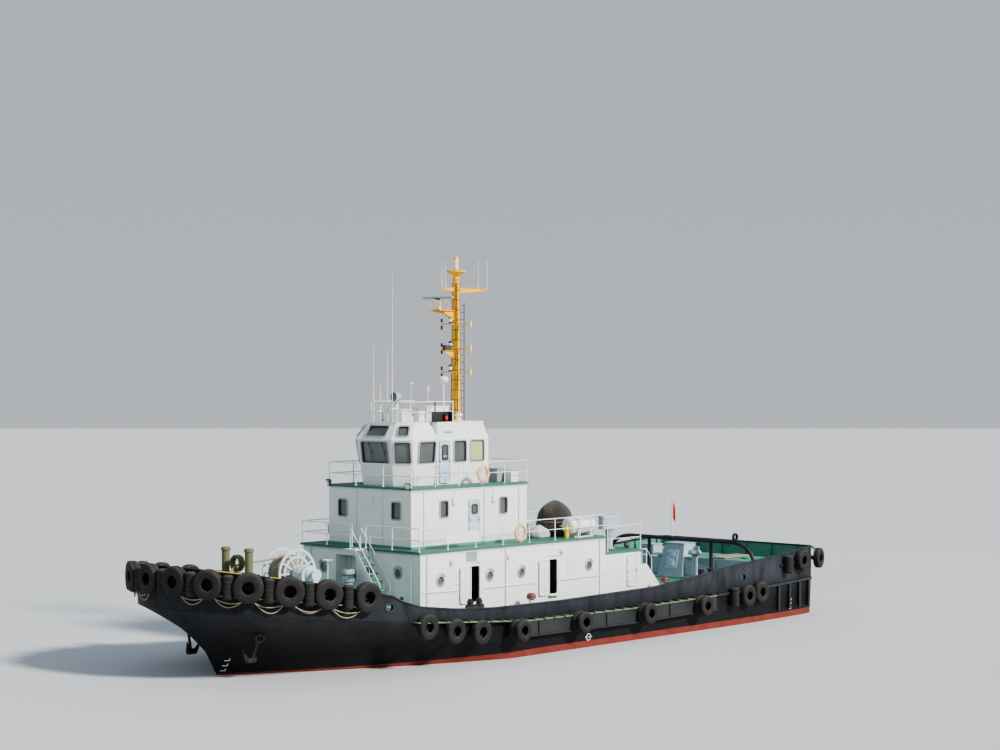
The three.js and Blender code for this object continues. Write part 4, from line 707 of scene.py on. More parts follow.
def mix_finishes():
    """All finishes of the boat by name. Paints have colour, rust, grime, roughness and fading."""
    FINISHES.update(
        hull=hull_paint(),
        main_deck=deck_paint("main deck paint", 1, posts=True),
        # the house decks: the same paint darkened to 0.72, painted shade
        deck=deck_paint("house deck in painted shade", 0.72),
        bulwark_green=painted("bulwark green", (0.085, 0.29, 0.215), 0.45, 0.35),
        ledge_green=painted("ledge green", (0.13, 0.21, 0.115), 0.3, 0.6, 0.6),
        white=painted("white paint", (0.8, 0.815, 0.8), 0.3, 0.22, 0.42, 0.05),
        tyre=tyre_rubber(),
        iron=steel("weathered iron", (0.075, 0.078, 0.082), 0.6, 0.3, 0.45),
        dark_iron=steel("dark iron", (0.035, 0.036, 0.038), 0.65, 0.2, 0.3),
        black=painted("black paint", (0.016, 0.017, 0.019), fade=0.3),
        ochre=painted("ochre paint", (0.9, 0.47, 0.012), 0.25, 0.22),
        winch=painted("winch paint", (0.56, 0.66, 0.72), 0.45, 0.35, 0.45),
        olive=painted("olive paint", (0.15, 0.145, 0.07), 0.5, 0.5, 0.55),
        grey=painted("blue-grey paint", (0.38, 0.48, 0.56), grime=0.35),
        pale_grey=painted("pale grey paint", (0.42, 0.49, 0.53), 0.3),
        frame=plain("window frame", (0.4, 0.42, 0.42), 0.45, 0.2),
        chequer=painted("stair green", (0.08, 0.3, 0.22), 0.3, 0.4, 0.6),
        door=painted("pale blue paint", (0.48, 0.61, 0.7), 0.25, 0.25, 0.45),
        yellow=painted("yellow paint", (0.8, 0.52, 0.03), 0.2, 0.4),
        orange=plain("life ring orange", (0.8, 0.47, 0.26), 0.55, vary=0.2),
        red=plain("lamp red", (0.55, 0.03, 0.02), 0.3, vary=0.2, coat=0.4),
        green=plain("lamp green", (0.02, 0.3, 0.09), 0.3, vary=0.2, coat=0.4),
        caps=painted("brown red paint", (0.17, 0.045, 0.035), 0.4, 0.4, 0.55),
        shell=plain("moulded shell", (0.8, 0.8, 0.78), 0.35, vary=0.06, scale=3, coat=0.3),
        gasket=plain("black gasket", (0.055, 0.057, 0.06), 0.6, vary=0.3),
        bronze=plain("sea bronze", (0.42, 0.26, 0.1), 0.4, 0.9, 0.3, 5),
        lens=plain("lamp lens", (0.75, 0.78, 0.78), 0.12, vary=0.1, coat=0.7),
        glass=window_glass(),
        curtain=cloth("curtain cloth", (0.5, 0.55, 0.26), 0.1, 0.5),
        cover=cloth("brown cover", (0.04, 0.03, 0.024), 0.5),
        bundle=cloth("white cover", (0.62, 0.62, 0.6)),
        flag=cloth("red cloth", (0.52, 0.035, 0.03), rough=0.8),
        rope=rope_fibre("pale rope", (0.46, 0.38, 0.26)),
        # shade: flat dark colour for painted shade behind louvre slats and in a small framed opening
        shade=plain("dim inside", (0.045, 0.048, 0.05), 0.8, vary=0.3),
        mark=plain("mark white", (0.7, 0.7, 0.68), 0.5, vary=0.2),
    )


# Hull, bulwarks and decks
def hull_rings():
    deck = half_outline(WATERLINES[-1])
    rings = []
    for line in WATERLINES:
        level, share = line[:2]
        rings.append([xyz(x, y, level if level or not share else share * deck_height(deck_x))
            for (x, y), (deck_x, _) in zip(half_outline(line), deck)])
    return rings


def combine(thing, cutter, operation="DIFFERENCE"):
    """Cuts another form out of an object's mesh, or joins it on."""
    tool = into_scene(bpy.data.objects.new("cutter", cutter.mesh("cutter", thing.data.materials[:1])))
    modifier = thing.modifiers.new("Cut", "BOOLEAN")
    modifier.operation, modifier.solver, modifier.object = operation, "EXACT", tool
    mesh = plain_copy(thing)
    thing.modifiers.remove(modifier)
    thing.data = mesh
    bpy.data.objects.remove(tool)
    smooth(mesh, 35)


def make_hull():
    rings = hull_rings()
    whole = [ring + [xyz(p.x, -p.y, p.z) for p in reversed(ring[1:])] for ring in rings]
    form = Form().loft(whole, capped=False)
    around = len(whole[0])
    for base in (0, (len(rings) - 1) * around):
        for i in range(len(rings[0]) - 1):
            face = [base + i, base + i + 1, base + around - 1 - i, base + (around - i) % around]
            form.faces.append(face if i else face[:3])
            form.finish.append(0)
    thing = form.piece("hull_shell", "hull", "hull_paint", stands_for="hull", sharp=40)
    for side in (1, -1):
        for radius, far, operation in ((0.68, -0.3, "UNION"), (0.72, -2.6, "DIFFERENCE")):
            ends = [(radius, z) for z in sorted((far, -1.079))]
            combine(thing, Form().lathe(ends, (THRUSTER_X, THRUSTER_Y * side, 0), 32), operation)
    skeg = Form().loft([[(1.5, y, -3.3), (-8.6, y, -3.3), (-8.6, y, -1.5), (-1, y, -1.5)]
        for y in (-0.11, 0.11)])
    skeg.block(-8.6, 1.5, -0.16, 0.16, -3.48, -3.29)
    skeg.piece("skeg_plate", "hull", "hull_paint", bevel=0.02)
    make_marks(thing)


def hull_cast(hull, x, z, side):
    """Where a line square to the centre plane meets the hull."""
    hit, point, normal, _ = hull.ray_cast(xyz(x, 8 * side, z), xyz(0, -side, 0))
    if not hit:
        raise ValueError(f"no hull at x {x}, z {z}")
    return point, normal


def make_marks(hull):
    """Draft ticks at bow and stern and the plain load-line disc."""
    form = Form()

    def decal(spots, side):
        hits = [hull_cast(hull, x, z, side) for x, z in spots]
        form.loft([[point + normal * lift for point, normal in hits] for lift in (0.006, -0.02)])

    def patch(x0, x1, z0, z1, side):
        decal(((x0, z0), (x1, z0), (x1, z1), (x0, z1)), side)

    for side in (1, -1):
        for x, low, count in ((15.8, 0.16, 3), (-14.35, 0.35, 3)):
            for z in (low + k * 0.2 for k in range(count)):
                patch(x, x + 0.16, z, z + 0.035, side)
                patch(x, x + 0.03, z, z + 0.1, side)
        for a, b in zip(turns(24), turns(24)[1:] + [tau]):
            decal([(0.36 + r * cos(turn), 0.42 + r * sin(turn))
                for turn, r in ((a, 0.15), (b, 0.15), (b, 0.12), (a, 0.12))], side)
        patch(0.14, 0.58, 0.41, 0.435, side)
    form.piece("draft_marks", "mark", "white_paint")


def make_stays(form, run):
    """Brackets inside the bulwark, about every 1.15 m along it."""
    walked = 0
    for a, b in zip(run, run[1:]):
        walked += dist(a[:2], b[:2])
        if walked < 1.15:
            continue
        walked = 0
        x, y = b[:2]
        n = xyz(*b[2:], 0).normalized()
        t = xyz(-n.y, n.x, 0)
        foot, top = deck_height(x) + 0.023, bulwark_height(x) - 0.04
        base = xyz(x, y, 0) - n * 0.08
        reach = 0.34 * min(1, (top - foot) / 0.9)
        outline = [(0, foot), (reach, foot), (reach, foot + 0.08), (0.06, top), (0, top)]
        form.loft([[base - n * d + t * s + UP * z for d, z in outline] for s in (-0.012, 0.012)], 1)


def make_bulwarks():
    """Plating with hull paint outside and green inside, its cap and stays, and chocks at bow and stern."""
    runs = (("bow", bow_run(10.801), (11.84, 2.58, 0.34, 0.22, "fore")),
        ("port", edge_run(10.799, -8.799, 1), None), ("starboard", edge_run(10.799, -8.799, -1), None),
        ("stern", stern_run(-8.801), (-10.25, 2.1, 0.4, 0.24, "aft")))
    for name, run, chock in runs:
        dense = []
        for a, b in zip(run, run[1:]):
            steps = max(1, round(dist(a[:2], b[:2]) / 0.5))
            dense += [tuple(p + (q - p) * k / steps for p, q in zip(a, b)) for k in range(steps)]
        dense.append(run[-1])
        plating = Form().band(dense, -0.08, 0, 0.003, -0.02, bulwark_height, foot=deck_height)
        for i in range(2, len(plating.faces) - 2, 4):
            plating.finish[i] = 1
        thing = plating.piece(f"bulwark_{name}_plating", "hull bulwark_green", "hull_paint",
            stands_for=f"bulwark_{name}")
        cap = Form().band(dense, -0.14, 0.04, -0.03, 0.03, bulwark_height)
        make_stays(cap, dense)
        cap.piece(f"bulwark_{name}_cap_and_stays", "hull bulwark_green", "hull_paint")
        if not chock:
            continue
        x, z, wide, tall, end = chock
        for side_name, side in SIDES:
            y = edge_at(x) * side
            mouth = rounded(wide, tall, 0.09)
            combine(thing, Form().plate(mouth, (x, y + 0.4, z), (1, 0, 0), UP, 0.9))
            lip = Form().ring(rounded(wide + 0.13, tall + 0.13, 0.13), mouth,
                (x, y + (0.03 if side > 0 else 0.11), z), (1, 0, 0), UP, 0.14)
            lip.piece(f"chock_lip_{side_name}_{end}", "black", "hull_paint", bevel=0.02)
    strips = Form()
    for side in (1, -1):
        for aft, fore in ((17.2, 17.9), (16.2, 16.6), (14.9, 15.2), (13.9, 14.15)):
            strips.band(edge_run(fore, aft, side), -0.145, 0.045, 0.025, 0.034, bulwark_height)
    strips.piece("bulwark_cap_strips", "yellow", "ochre_paint")


def make_hatches():
    form = Form()
    for x, y, r in ((13.9, -2.1, 0.32), (9.6, 2.6, 0.3), (-8.2, 1.2, 0.36), (-9.9, -1.6, 0.36),
            (-10.4, 1.9, 0.3)):
        foot = deck_height(x) + 0.021
        slope = (deck_height(x + 0.3) - deck_height(x - 0.3)) / 0.6
        form.lathe([(r, -0.01), (r, 0.09), (r - 0.05, 0.11), (0.08, 0.13)], (x, y, foot), 28,
            axis=(-slope, 0, 1))
        form.tube([(x + dx, y, foot + dz) for dx, dz in ((-0.12, 0.12), (-0.12, 0.2), (0.12, 0.2),
            (0.12, 0.12))], 0.012, bend=0.03)
    for x, y in ((-6.4, 2.6), (-7.6, -2.4)):
        foot = deck_height(x) + 0.021
        for half, low, high in ((0.5, 0, 0.16), (0.53, 0.16, 0.2)):
            form.block(x - half, x + half, y - half, y + half, foot + low, foot + high)
    form.piece("deck_hatches", "bulwark_green", "deck_paint", bevel=0.008)


def make_deck_vents():
    form = Form()
    small = ((2.89, 4.1, 2.36), (-5.7, 4.2, 2.41))
    vents = [(x, y * side, top, 0.19, 0.11) for side in (1, -1) for x, y, top in small]
    for x, y, top, cap, stem in vents + [(-12.1, 0.89, 3.01, 0.31, 0.14)]:
        foot, large = deck_height(x) + 0.02, x < -12
        form.lathe([(stem + 0.006, foot), (stem + 0.006, top - 0.2), (cap * 0.98, top - 0.2),
            (cap + 0.004, top - 0.17), (cap + 0.004, top - 0.11), (cap * 0.85, top - 0.03),
            (cap * 0.45, top + 0.006), (0, top + 0.01)], (x, y, 0), 24, int(large))
        if not large:
            form.lathe([(0, top - 0.19), (cap * 0.99, top - 0.19), (cap + 0.01, top - 0.17),
                (cap + 0.01, top - 0.11), (cap * 0.86, top - 0.02), (cap * 0.45, top + 0.014),
                (0, top + 0.018)], (x, y, 0), 24, 2)
        form.lathe([(stem + 0.06, foot), (stem + 0.06, foot + 0.02)], (x, y, 0), 20)
        if large:
            form.lathe([(0.15, top - 0.2), (0.15, top + 0.12), (0.12, top + 0.16), (0, top + 0.17)],
                (x, y + 0.1, 0), 20, 1)
    x, y, top = 9.1, -0.16, 3.51
    foot = deck_height(x) + 0.02
    form.lathe([(0.194, foot), (0.194, top - 0.5), (0.27, top - 0.5), (0.274, top - 0.46),
        (0.274, top - 0.36), (0.2, top - 0.32), (0.2, top - 0.22), (0.27, top - 0.2), (0.274, top - 0.16),
        (0.274, top - 0.08), (0.2, top), (0, top + 0.01)], (x, y, 0), 28, 1)
    form.piece("mushroom_vents", "white pale_grey caps", "white_paint", sharp=40)


def make_bitts():
    form = Form()
    for x, y, spacing, height in ((6.5, 4.35, 0.5, 0.7), (-8.89, 4, 0.7, 0.95)):
        floor, reach = deck_height(x) + 0.021, spacing / 2
        post = [(0.122, 0), (0.122, height - 0.05), (0.16, height - 0.04), (0.16, height - 0.005),
            (0.14, height + 0.01), (0, height + 0.014)]
        for side in (1, -1):
            for dx in (-reach, reach):
                form.lathe(post, (x + dx, side * y, floor - 0.01), 20)
            form.tube([(x + dx, side * y, floor + 0.43) for dx in (-reach - 0.225, reach + 0.225)], 0.092, 12)
    form.piece("mooring_bitts", "black", "black_paint", sharp=40)


# Fenders and tyres
def tyre_form(outer, hole, width, lugs=30):
    """A tyre lying flat, with its bead, walls and a tread of grooves and lugs."""
    half, wall, groove = width / 2, outer - hole, outer * 0.035
    tread = half * 0.62
    low_side = [(hole + 0.03, half * 0.55), (hole, half * 0.7), (hole + 0.015, half * 0.86),
        (hole + 0.05, half * 0.93), (hole + wall * 0.3, half), (hole + wall * 0.58, half),
        (hole + wall * 0.8, half * 0.93), (outer * 0.975, half * 0.78), (outer, tread), (outer, tread * 0.4),
        (outer - groove, tread * 0.36), (outer - groove, tread * 0.22), (outer + 0.004, tread * 0.18)]
    inside = [(hole + wall * 0.55, half * 0.45), (hole + wall * 0.62, 0), (hole + wall * 0.55, -half * 0.45)]
    profile = [(r, -h) for r, h in low_side] + low_side[::-1] + inside
    rim = {7, 8, 9, 12, 13, 16, 17, 18}
    ripple = lambda i, k, r: r - groove * 0.7 if i in rim and k % 3 == 0 else r
    return Form().lathe(profile + profile[:1], (0, 0, 0), lugs * 3, ripple=ripple)


def roll_form(radius, height):
    """Tyre slices threaded on a bar."""
    half = height / 2
    profile = [(radius * 0.7, -half), (radius, -half * 0.86)]
    for k in (-0.55, -0.18, 0.18, 0.55):
        profile += [(radius - cut, half * k + dz) for cut, dz in ((0, -0.02), (0.018, -0.01), (0.018, 0.01),
            (0, 0.02))]
    return Form().lathe(profile + [(radius, half * 0.86), (radius * 0.7, half)], (0, 0, 0))


def tyre_z(x):
    return 3.13 + (x - 13.45) * 0.132


BOW_TYRE_ARC = (0.73, 2.15, 3.56, 4.96, 6.4, 8.05)


def make_bow_fenders(rng):
    tyres, rolls, ropes = [], [], Form()
    for side in (1, -1):
        for arc, next_arc in zip(BOW_TYRE_ARC, BOW_TYRE_ARC[1:] + (None,)):
            p, n = bow_point(arc, side)
            centre = p + n * 0.26 + UP * tyre_z(p.x)
            turn = upright(n + UP * rng.uniform(-0.05, 0.02), rng.uniform(0, 6))
            tyres.append((centre, turn, rng.uniform(0.975, 1)))
            along = xyz(-n.y, n.x, 0)
            for d in (-0.2, 0.2):
                top = p + along * d + n * 0.03 + UP * (bulwark_height(p.x) - 0.02)
                hang = centre + along * d + n * 0.02 + UP * 0.36
                ropes.tube([top, (top + hang) / 2 + n * 0.1, hang], 0.022, bend=0.1)
            if not next_arc:
                continue
            q, m = bow_point(next_arc, side)
            ahead = xyz(-m.y, m.x, 0)
            step = 1 if (q - p).dot(along) > 0 else -1
            start = centre + along * (0.12 * step) - n * 0.06 - UP * 0.47
            end = q + m * 0.2 - ahead * (0.16 * step) + UP * (tyre_z(q.x) - 0.47)
            for k, drop in enumerate((rng.uniform(0.14, 0.24), rng.uniform(0.3, 0.44))):
                lean = rng.uniform(-0.12, 0.12)
                bight = []
                for t in (j / 12 for j in range(13)):
                    sag = t * (1 - t)
                    spot = start.lerp(end, t + lean * sag * 2) - n * (0.05 * k)
                    bight.append(spot + UP * (0.05 * k - drop * 4 * sag))
                ropes.tube(bight, 0.02)
            hitch = start.lerp(end, 0.5) - n * 0.02 + UP * 0.16
            ropes.tube([start + UP * 0.02, hitch, end + UP * 0.02], 0.02, bend=0.15)
            q, m = bow_point((arc + next_arc) / 2, side)
            rolls.append((q + m * 0.24 + UP * (tyre_z(q.x) - 0.04), upright(UP, rng.uniform(0, 6)), 1))
    stem = bow_point(0, 1)[0].x
    rolls.append((xyz(stem + 0.215, 0, tyre_z(stem) - 0.04), upright(UP), 1))
    repeat("bow_tyres", tyre_form(0.575, 0.23, 0.4), tyres, "tyre", "bow_fender")
    repeat("bow_rolls", roll_form(0.2, 0.9), rolls, "tyre")
    belt = Form().band(bow_run(12.9), 0.004, 0.09, -0.12, 0.12, tyre_z)
    belt.piece("bow_fender_band", "tyre", "tyre_rubber", bevel=0.03)
    ropes.piece("bow_lashings", "rope", "galvanised", sharp=60)


def chain(form, start, end, finish):
    """Links of a slack chain between two points."""
    start, end = Vector(start), Vector(end)
    link, span = 0.11, (end - start).length
    half, wide = link / 2 - 0.012, link * 0.27
    count = max(2, round(span * 1.03 / (link * 0.72)))
    along = (end - start).normalized()
    for k in range(count):
        t = (k + 0.5) / count
        centre = start.lerp(end, t) - UP * (0.32 * span * t * (1 - t))
        across = along.cross(xyz(1, 0, 0) if abs(along.x) < 0.8 else UP).normalized()
        if k % 2:
            across = along.cross(across)
        quarter = ((half, wide * 0.5), (half * 0.6, wide), (-half * 0.6, wide), (-half, wide * 0.5))
        outline = quarter + tuple((-a, -b) for a, b in quarter)
        form.tube([centre + along * a + across * b for a, b in outline], 0.013, 6, finish, loop=True)


def make_side_fenders(rng):
    pairs, wheels, rolls = [], [], []
    for side_name, side in SIDES:
        strake, ledge = edge_run(4.85, -8, side), edge_run(10.6, -8, side)
        form = Form().band(strake, -0.06, 0.25, -0.69, -0.06)
        form.band(ledge, -0.06, 0.3, -0.07, -0.02, finish=1)
        form.band(strake, -0.06, 0.3, -0.69, -0.63)
        for x in (10.3 - 0.62 * k for k in range(30)):
            edge, floor = edge_at(x) - 0.03, deck_height(x)
            form.block(x - 0.06, x + 0.06, edge * side, (edge + 0.335) * side, floor - 0.03, floor + 0.05)
        for x in (3.75 - 2.11 * k for k in range(6)):
            floor = deck_height(x)
            form.block(x - 0.035, x + 0.035, 5.04 * side, 5.35 * side, floor - 0.69, floor - 0.04)
        for x in (5.12, 1.38, -2.84, -6.74):
            floor = deck_height(x)
            for dx in (-0.3, 0.3):
                form.block(x + dx - 0.05, x + dx + 0.05, 5.02 * side, 5.345 * side, floor - 0.03,
                    floor + 0.07, 2)
                chain(form, (x + dx, 5.34 * side, floor + 0.02), (x + dx * 0.6, 5.52 * side, 1.38), 2)
            for out, z in ((5.395, 1.18), (5.68, 1.168)):
                lean = upright((rng.uniform(-0.03, 0.03), side, 0), rng.uniform(0, 6))
                pairs.append((xyz(x, out * side, z), lean, 1))
        for x, z in ((10.06, 1.72), (8.56, 1.43), (7.11, 1.26)):
            lean = upright((rng.uniform(-0.04, 0.04), side, rng.uniform(-0.05, 0)), rng.uniform(0, 6))
            wheels.append((xyz(x, 5.28 * side, z), lean, 1))
            for dx in (-0.22, 0.22):
                eye = (x + dx, (edge_at(x) + 0.03) * side, deck_height(x) + 0.06)
                chain(form, eye, (x + dx * 0.8, 5.27 * side, z + 0.34), 2)
        form.piece(f"side_strake_{side_name}", "black ledge_green iron", "black_paint",
            stands_for=f"side_fender_{side_name}", bevel=0.006)
        make_quarter_fender(side_name, side, wheels, rng)
        make_corner_fender(side_name, side, wheels)
        for x, out, z, scale in ((-9.35, 0.23, 1.31, 1), (-13.7, 0.24, 2.47, 0.95)):
            rolls.append((xyz(x, (edge_at(x) + out) * side, z), upright(UP), scale))
    repeat("side_tyre_pairs", tyre_form(0.44, 0.19, 0.285), pairs, "tyre")
    repeat("hung_tyres", tyre_form(0.49, 0.2, 0.32), wheels, "tyre")
    repeat("hung_rolls", roll_form(0.21, 0.86), rolls, "tyre")


def make_corner_fender(side_name, side, wheels):
    form = Form().band(edge_run(-13.3, -16.5, side), 0.004, 0.07, -0.56, -0.44, bulwark_height)
    cx, cy = STERN + CORNER * 0.293, (STERN_SIDE - CORNER * 0.293) * side
    form.tube([(cx, cy, 2.57), (cx - 0.16, cy + 0.16 * side, 2.57)], 0.09, 16)
    for d in (-0.12, 0.12):
        chain(form, (cx + 0.02 + d, cy + (0.03 + d * 0.4) * side, bulwark_height(-16.3)),
            (cx - 0.26 + d, cy + (0.26 + d * 0.4) * side, 2.93), 1)
    x, y = -14.98, edge_at(-14.98)
    for dx in (-0.2, 0.2):
        chain(form, (x + dx, (y + 0.05) * side, bulwark_height(-15)), (x + dx * 0.8, (y + 0.2) * side, 2.9),
            1)
    form.piece(f"corner_band_{side_name}", "tyre iron", "tyre_rubber",
        stands_for=f"corner_fender_{side_name}", bevel=0.01)
    wheels.append((xyz(x, (y + 0.2) * side, 2.57), upright((-0.08, side, 0), 1), 0.97))
    wheels.append((xyz(cx - 0.26, cy + 0.26 * side, 2.57), upright((-0.3, side, 0), 2), 0.97))


def make_quarter_fender(side_name, side, wheels, rng):
    form = Form().band(edge_run(-8.3, -16.1, side), -0.02, 0.11, -0.13, -0.02)
    for x in (-13.11, -14.04, -14.93, -15.83):
        y = edge_at(x)
        form.block(x - 0.06, x + 0.06, (y - 0.2) * side, (y + 0.11) * side, 0.4, deck_height(x) - 0.03)
    for x, z in ((-10.4, 1.3), (-11.41, 1.39)):
        y = (edge_at(x) + 0.2) * side
        lean = upright((rng.uniform(-0.03, 0.03), side, 0), rng.uniform(0, 6))
        wheels.append((xyz(x, y, z), lean, 0.97))
        for dx in (-0.2, 0.2):
            eye = (x + dx, (edge_at(x) + 0.1) * side, deck_height(x) - 0.01)
            chain(form, eye, (x + dx * 0.8, y, z + 0.33), 1)
    form.piece(f"quarter_bars_{side_name}", "black iron", "black_paint",
        stands_for=f"stern_fender_{side_name}", bevel=0.008)


def make_anchors():
    for side_name, side in SIDES:
        form = Form()
        hawse = [(0.1, -0.02), (0.2, -0.02), (0.2, 0.05), (0.17, 0.1), (0.11, 0.1), (0.1, -0.02)]
        form.lathe(hawse, (15.68, 2.09, 1.57), 28, axis=(0.35, 0.74, -0.25))
        form.tube([(15.45, 1.6, 1.72), (15.68, 2.09, 1.57)], 0.17, 20)
        form.tube([(15.7, 2.1, 1.54), (15.8, 1.76, 0.64)], 0.055, 12)
        form.tube([(15.6, 1.74, 0.72), (16, 1.74, 0.72)], 0.11, 14)
        for way in (-1, 1):
            root, tip = xyz(15.8 + way * 0.15, 1.74, 0.7), xyz(15.79 + way * 0.32, 1.62, 1.1)
            form.loft([[spot + xyz(dx, dy, 0) for dx, dy in ((-a, b), (a, b), (a, -b), (-a, -b))]
                for spot, a, b in ((root, 0.1, 0.06), (tip, 0.02, 0.02))])
        form.mirrored(side).piece(f"anchor_set_{side_name}", "dark_iron", "galvanised",
            stands_for=f"anchor_{side_name}", bevel=0.008)


# Houses, windows and doors
def window(form, glass, centre, u, v, wide, tall, radius=0.07, proud=0.035, inset=0.05, frame_finish=0):
    """A framed pane on a wall whose outward side is u x v. The pane lies a little inside the wall."""
    centre, u, v = Vector(centre), Vector(u).normalized(), Vector(v).normalized()
    out = u.cross(v)
    form.ring(rounded(wide + 0.11, tall + 0.11, radius + 0.05), rounded(wide, tall, radius),
        centre - out * 0.02, u, v, proud + 0.02, frame_finish)
    form.ring(rounded(wide + 0.02, tall + 0.02, radius), rounded(wide - 0.05, tall - 0.05, radius * 0.7),
        centre - out * (inset + 0.015), u, v, inset + 0.03, 1)
    if glass is not None:
        glass.plate(rounded(wide + 0.01, tall + 0.01, radius), centre - out * (inset + 0.012), u, v, 0.012)


def porthole(form, glass, centre, u, r=0.19):
    """A round pane in its bolted ring, with a small eyebrow over it."""
    centre, u = Vector(centre), Vector(u).normalized()
    out, inner = u.cross(UP), (r - 0.03, -0.05)
    form.lathe([inner, (r + 0.05, -0.05), (r + 0.05, 0.018), (r + 0.035, 0.032), (r - 0.02, 0.038),
        (r - 0.03, 0.02), inner], centre, 32, axis=out)
    form.bolts([(0.012, -0.01), (0.012, 0.012), (0, 0.014)], centre + out * 0.03, r + 0.022, 8, 1, out, u, UP)
    glass.lathe([(r - 0.02, -0.045), (r - 0.02, -0.03)], centre, 28, axis=out)
    arc = [radians(25 + 130 * k / 8) for k in range(9)]
    form.tube([centre + (u * cos(turn) + UP * sin(turn)) * (r + 0.1) + out * 0.025 for turn in arc], 0.018, 6)


def make_house_windows():
    frames, glass = Form(), Form()
    for side in (1, -1):
        u = (-side, 0, 0)
        for x in (7.49, 4.66, 2.76, -1.49):
            porthole(frames, glass, (x, HOUSE_SIDE * side, 3.16), u)
        for x in (6.25, 2.75):
            window(frames, glass, (x, CABIN_SIDE * side, 5.88), u, UP, 0.43, 0.64)
    for y in (-2.18, 0.57, 2.18):
        porthole(frames, glass, (HOUSE_FRONT, y, 3.45), (0, 1, 0))
    for y in (-1.56, 1.56):
        window(frames, glass, (CABIN_FRONT, y, 5.86), (0, 1, 0), UP, 0.48, 0.66)
    frames.piece("house_window_frames", "frame gasket", "black_paint", sharp=40)
    glass.piece("house_panes", "glass", "glass", sharp=30)


def wheel_wall(side, low, high):
    """The outer wall line of the wheelhouse's slanting corner at two heights, as (fore, after) points."""
    rows = ((BRIDGE_DECK, (7.6, 0.87), (7, 1.48)), (BROW, (7.85, 1.02), (7.3, 1.68)),
        (ROOF, (7.38, 0.78), (6.9, 1.33)))

    def at(z, which):
        for (z0, *a), (z1, *b) in zip(rows, rows[1:]):
            if z <= z1:
                t = (z - z0) / (z1 - z0)
                (x0, y0), (x1, y1) = a[which], b[which]
                return xyz(x0 + (x1 - x0) * t, (y0 + (y1 - y0) * t) * side, z)
        return None

    return at(low, 0), at(low, 1), at(high, 0), at(high, 1)


def make_wheelhouse_windows():
    frames, glass, curtains, wipers = Form(), Form(), Form(), Form()
    sill, head = 7.72, 8.57
    middle, tall = (sill + head) / 2, head - sill

    def on_wall(low_a, low_b, high_a, high_b, wide, height):
        """A window on a leaning wall given by its lower and upper edges, left to right from outside."""
        u = (low_b - low_a).normalized()
        v = ((high_a + high_b) / 2 - (low_a + low_b) / 2).normalized()
        window(frames, glass, (low_a + low_b + high_a + high_b) / 4, u, v, wide, height, 0.08)

    for z0, z1, wide, corner in ((sill, head, 1.52, 0.64), (8.81, 9.19, 1.12, 0.42)):
        a, b, c, d = wheel_wall(1, z0, z1)
        e, f, g, h = wheel_wall(-1, z0, z1)
        on_wall(e, a, g, c, wide, (c - a).length)
        for low_a, low_b, high_a, high_b in ((a, b, c, d), (f, e, h, g)):
            on_wall(low_a, low_b, high_a, high_b, corner,
                ((high_a + high_b) / 2 - (low_a + low_b) / 2).length)
    lean = 0.19 / (BROW - BRIDGE_DECK)
    for side in (1, -1):
        u, v = (-side, 0, 0), (0, lean * side, 1)
        window(frames, glass, (6.45, (1.5 + (middle - BRIDGE_DECK) * lean) * side, middle), u, v, 0.9, tall,
            0.08)
        window(frames, glass, (4.55, 1.65 * side, middle), u, UP, 0.7, tall, 0.08)
        window(frames, None, (3.54, 1.65 * side, middle), u, UP, 0.78, tall, 0.08)
        folds = [(3.16 + 0.76 * t, (1.615 + 0.01 * sin(t * 55)) * side) for t in (k / 60 for k in range(61))]
        curtains.loft([[(x, y - back * side, z) for x, y in folds]
            for back, z in ((0, sill), (0, head), (0.008, head), (0.008, sill), (0, sill))], closed=False,
            capped=False)
        frames.tube([(x, 1.682 * side, 8.95) for x in (5.05, 5.45)], 0.03)
    for y in (0.65, -0.65):
        window(frames, glass, (2.85, y, middle), (0, -1, 0), UP, 0.7, tall, 0.08)
    low, _, high, _ = wheel_wall(1, sill, head)
    for y in (-0.38, 0.38):
        foot = xyz(low.x + (high.x - low.x) * 0.12 + 0.06, y, sill + tall * 0.98)
        tip = xyz(low.x + (high.x - low.x) * 0.2 + 0.05, y + 0.2, sill + 0.3)
        wipers.tube([foot, tip], 0.009, 6)
        wipers.tube([tip + xyz(0, -0.02, 0.22), tip + xyz(-0.01, 0.02, -0.22)], 0.011, 6)
        wipers.lathe([(0.03, -0.02), (0.03, 0.03)], foot, 12, axis=(1, 0, 0.1))
    wipers.piece("window_wipers", "black", "black_paint")
    frames.piece("wheelhouse_window_frames", "frame gasket", "black_paint", sharp=40)
    glass.piece("wheelhouse_panes", "glass", "glass", sharp=30, stands_for="wheelhouse_glass")
    curtains.piece("after_window_curtains", "curtain", "tarpaulin", sharp=80)


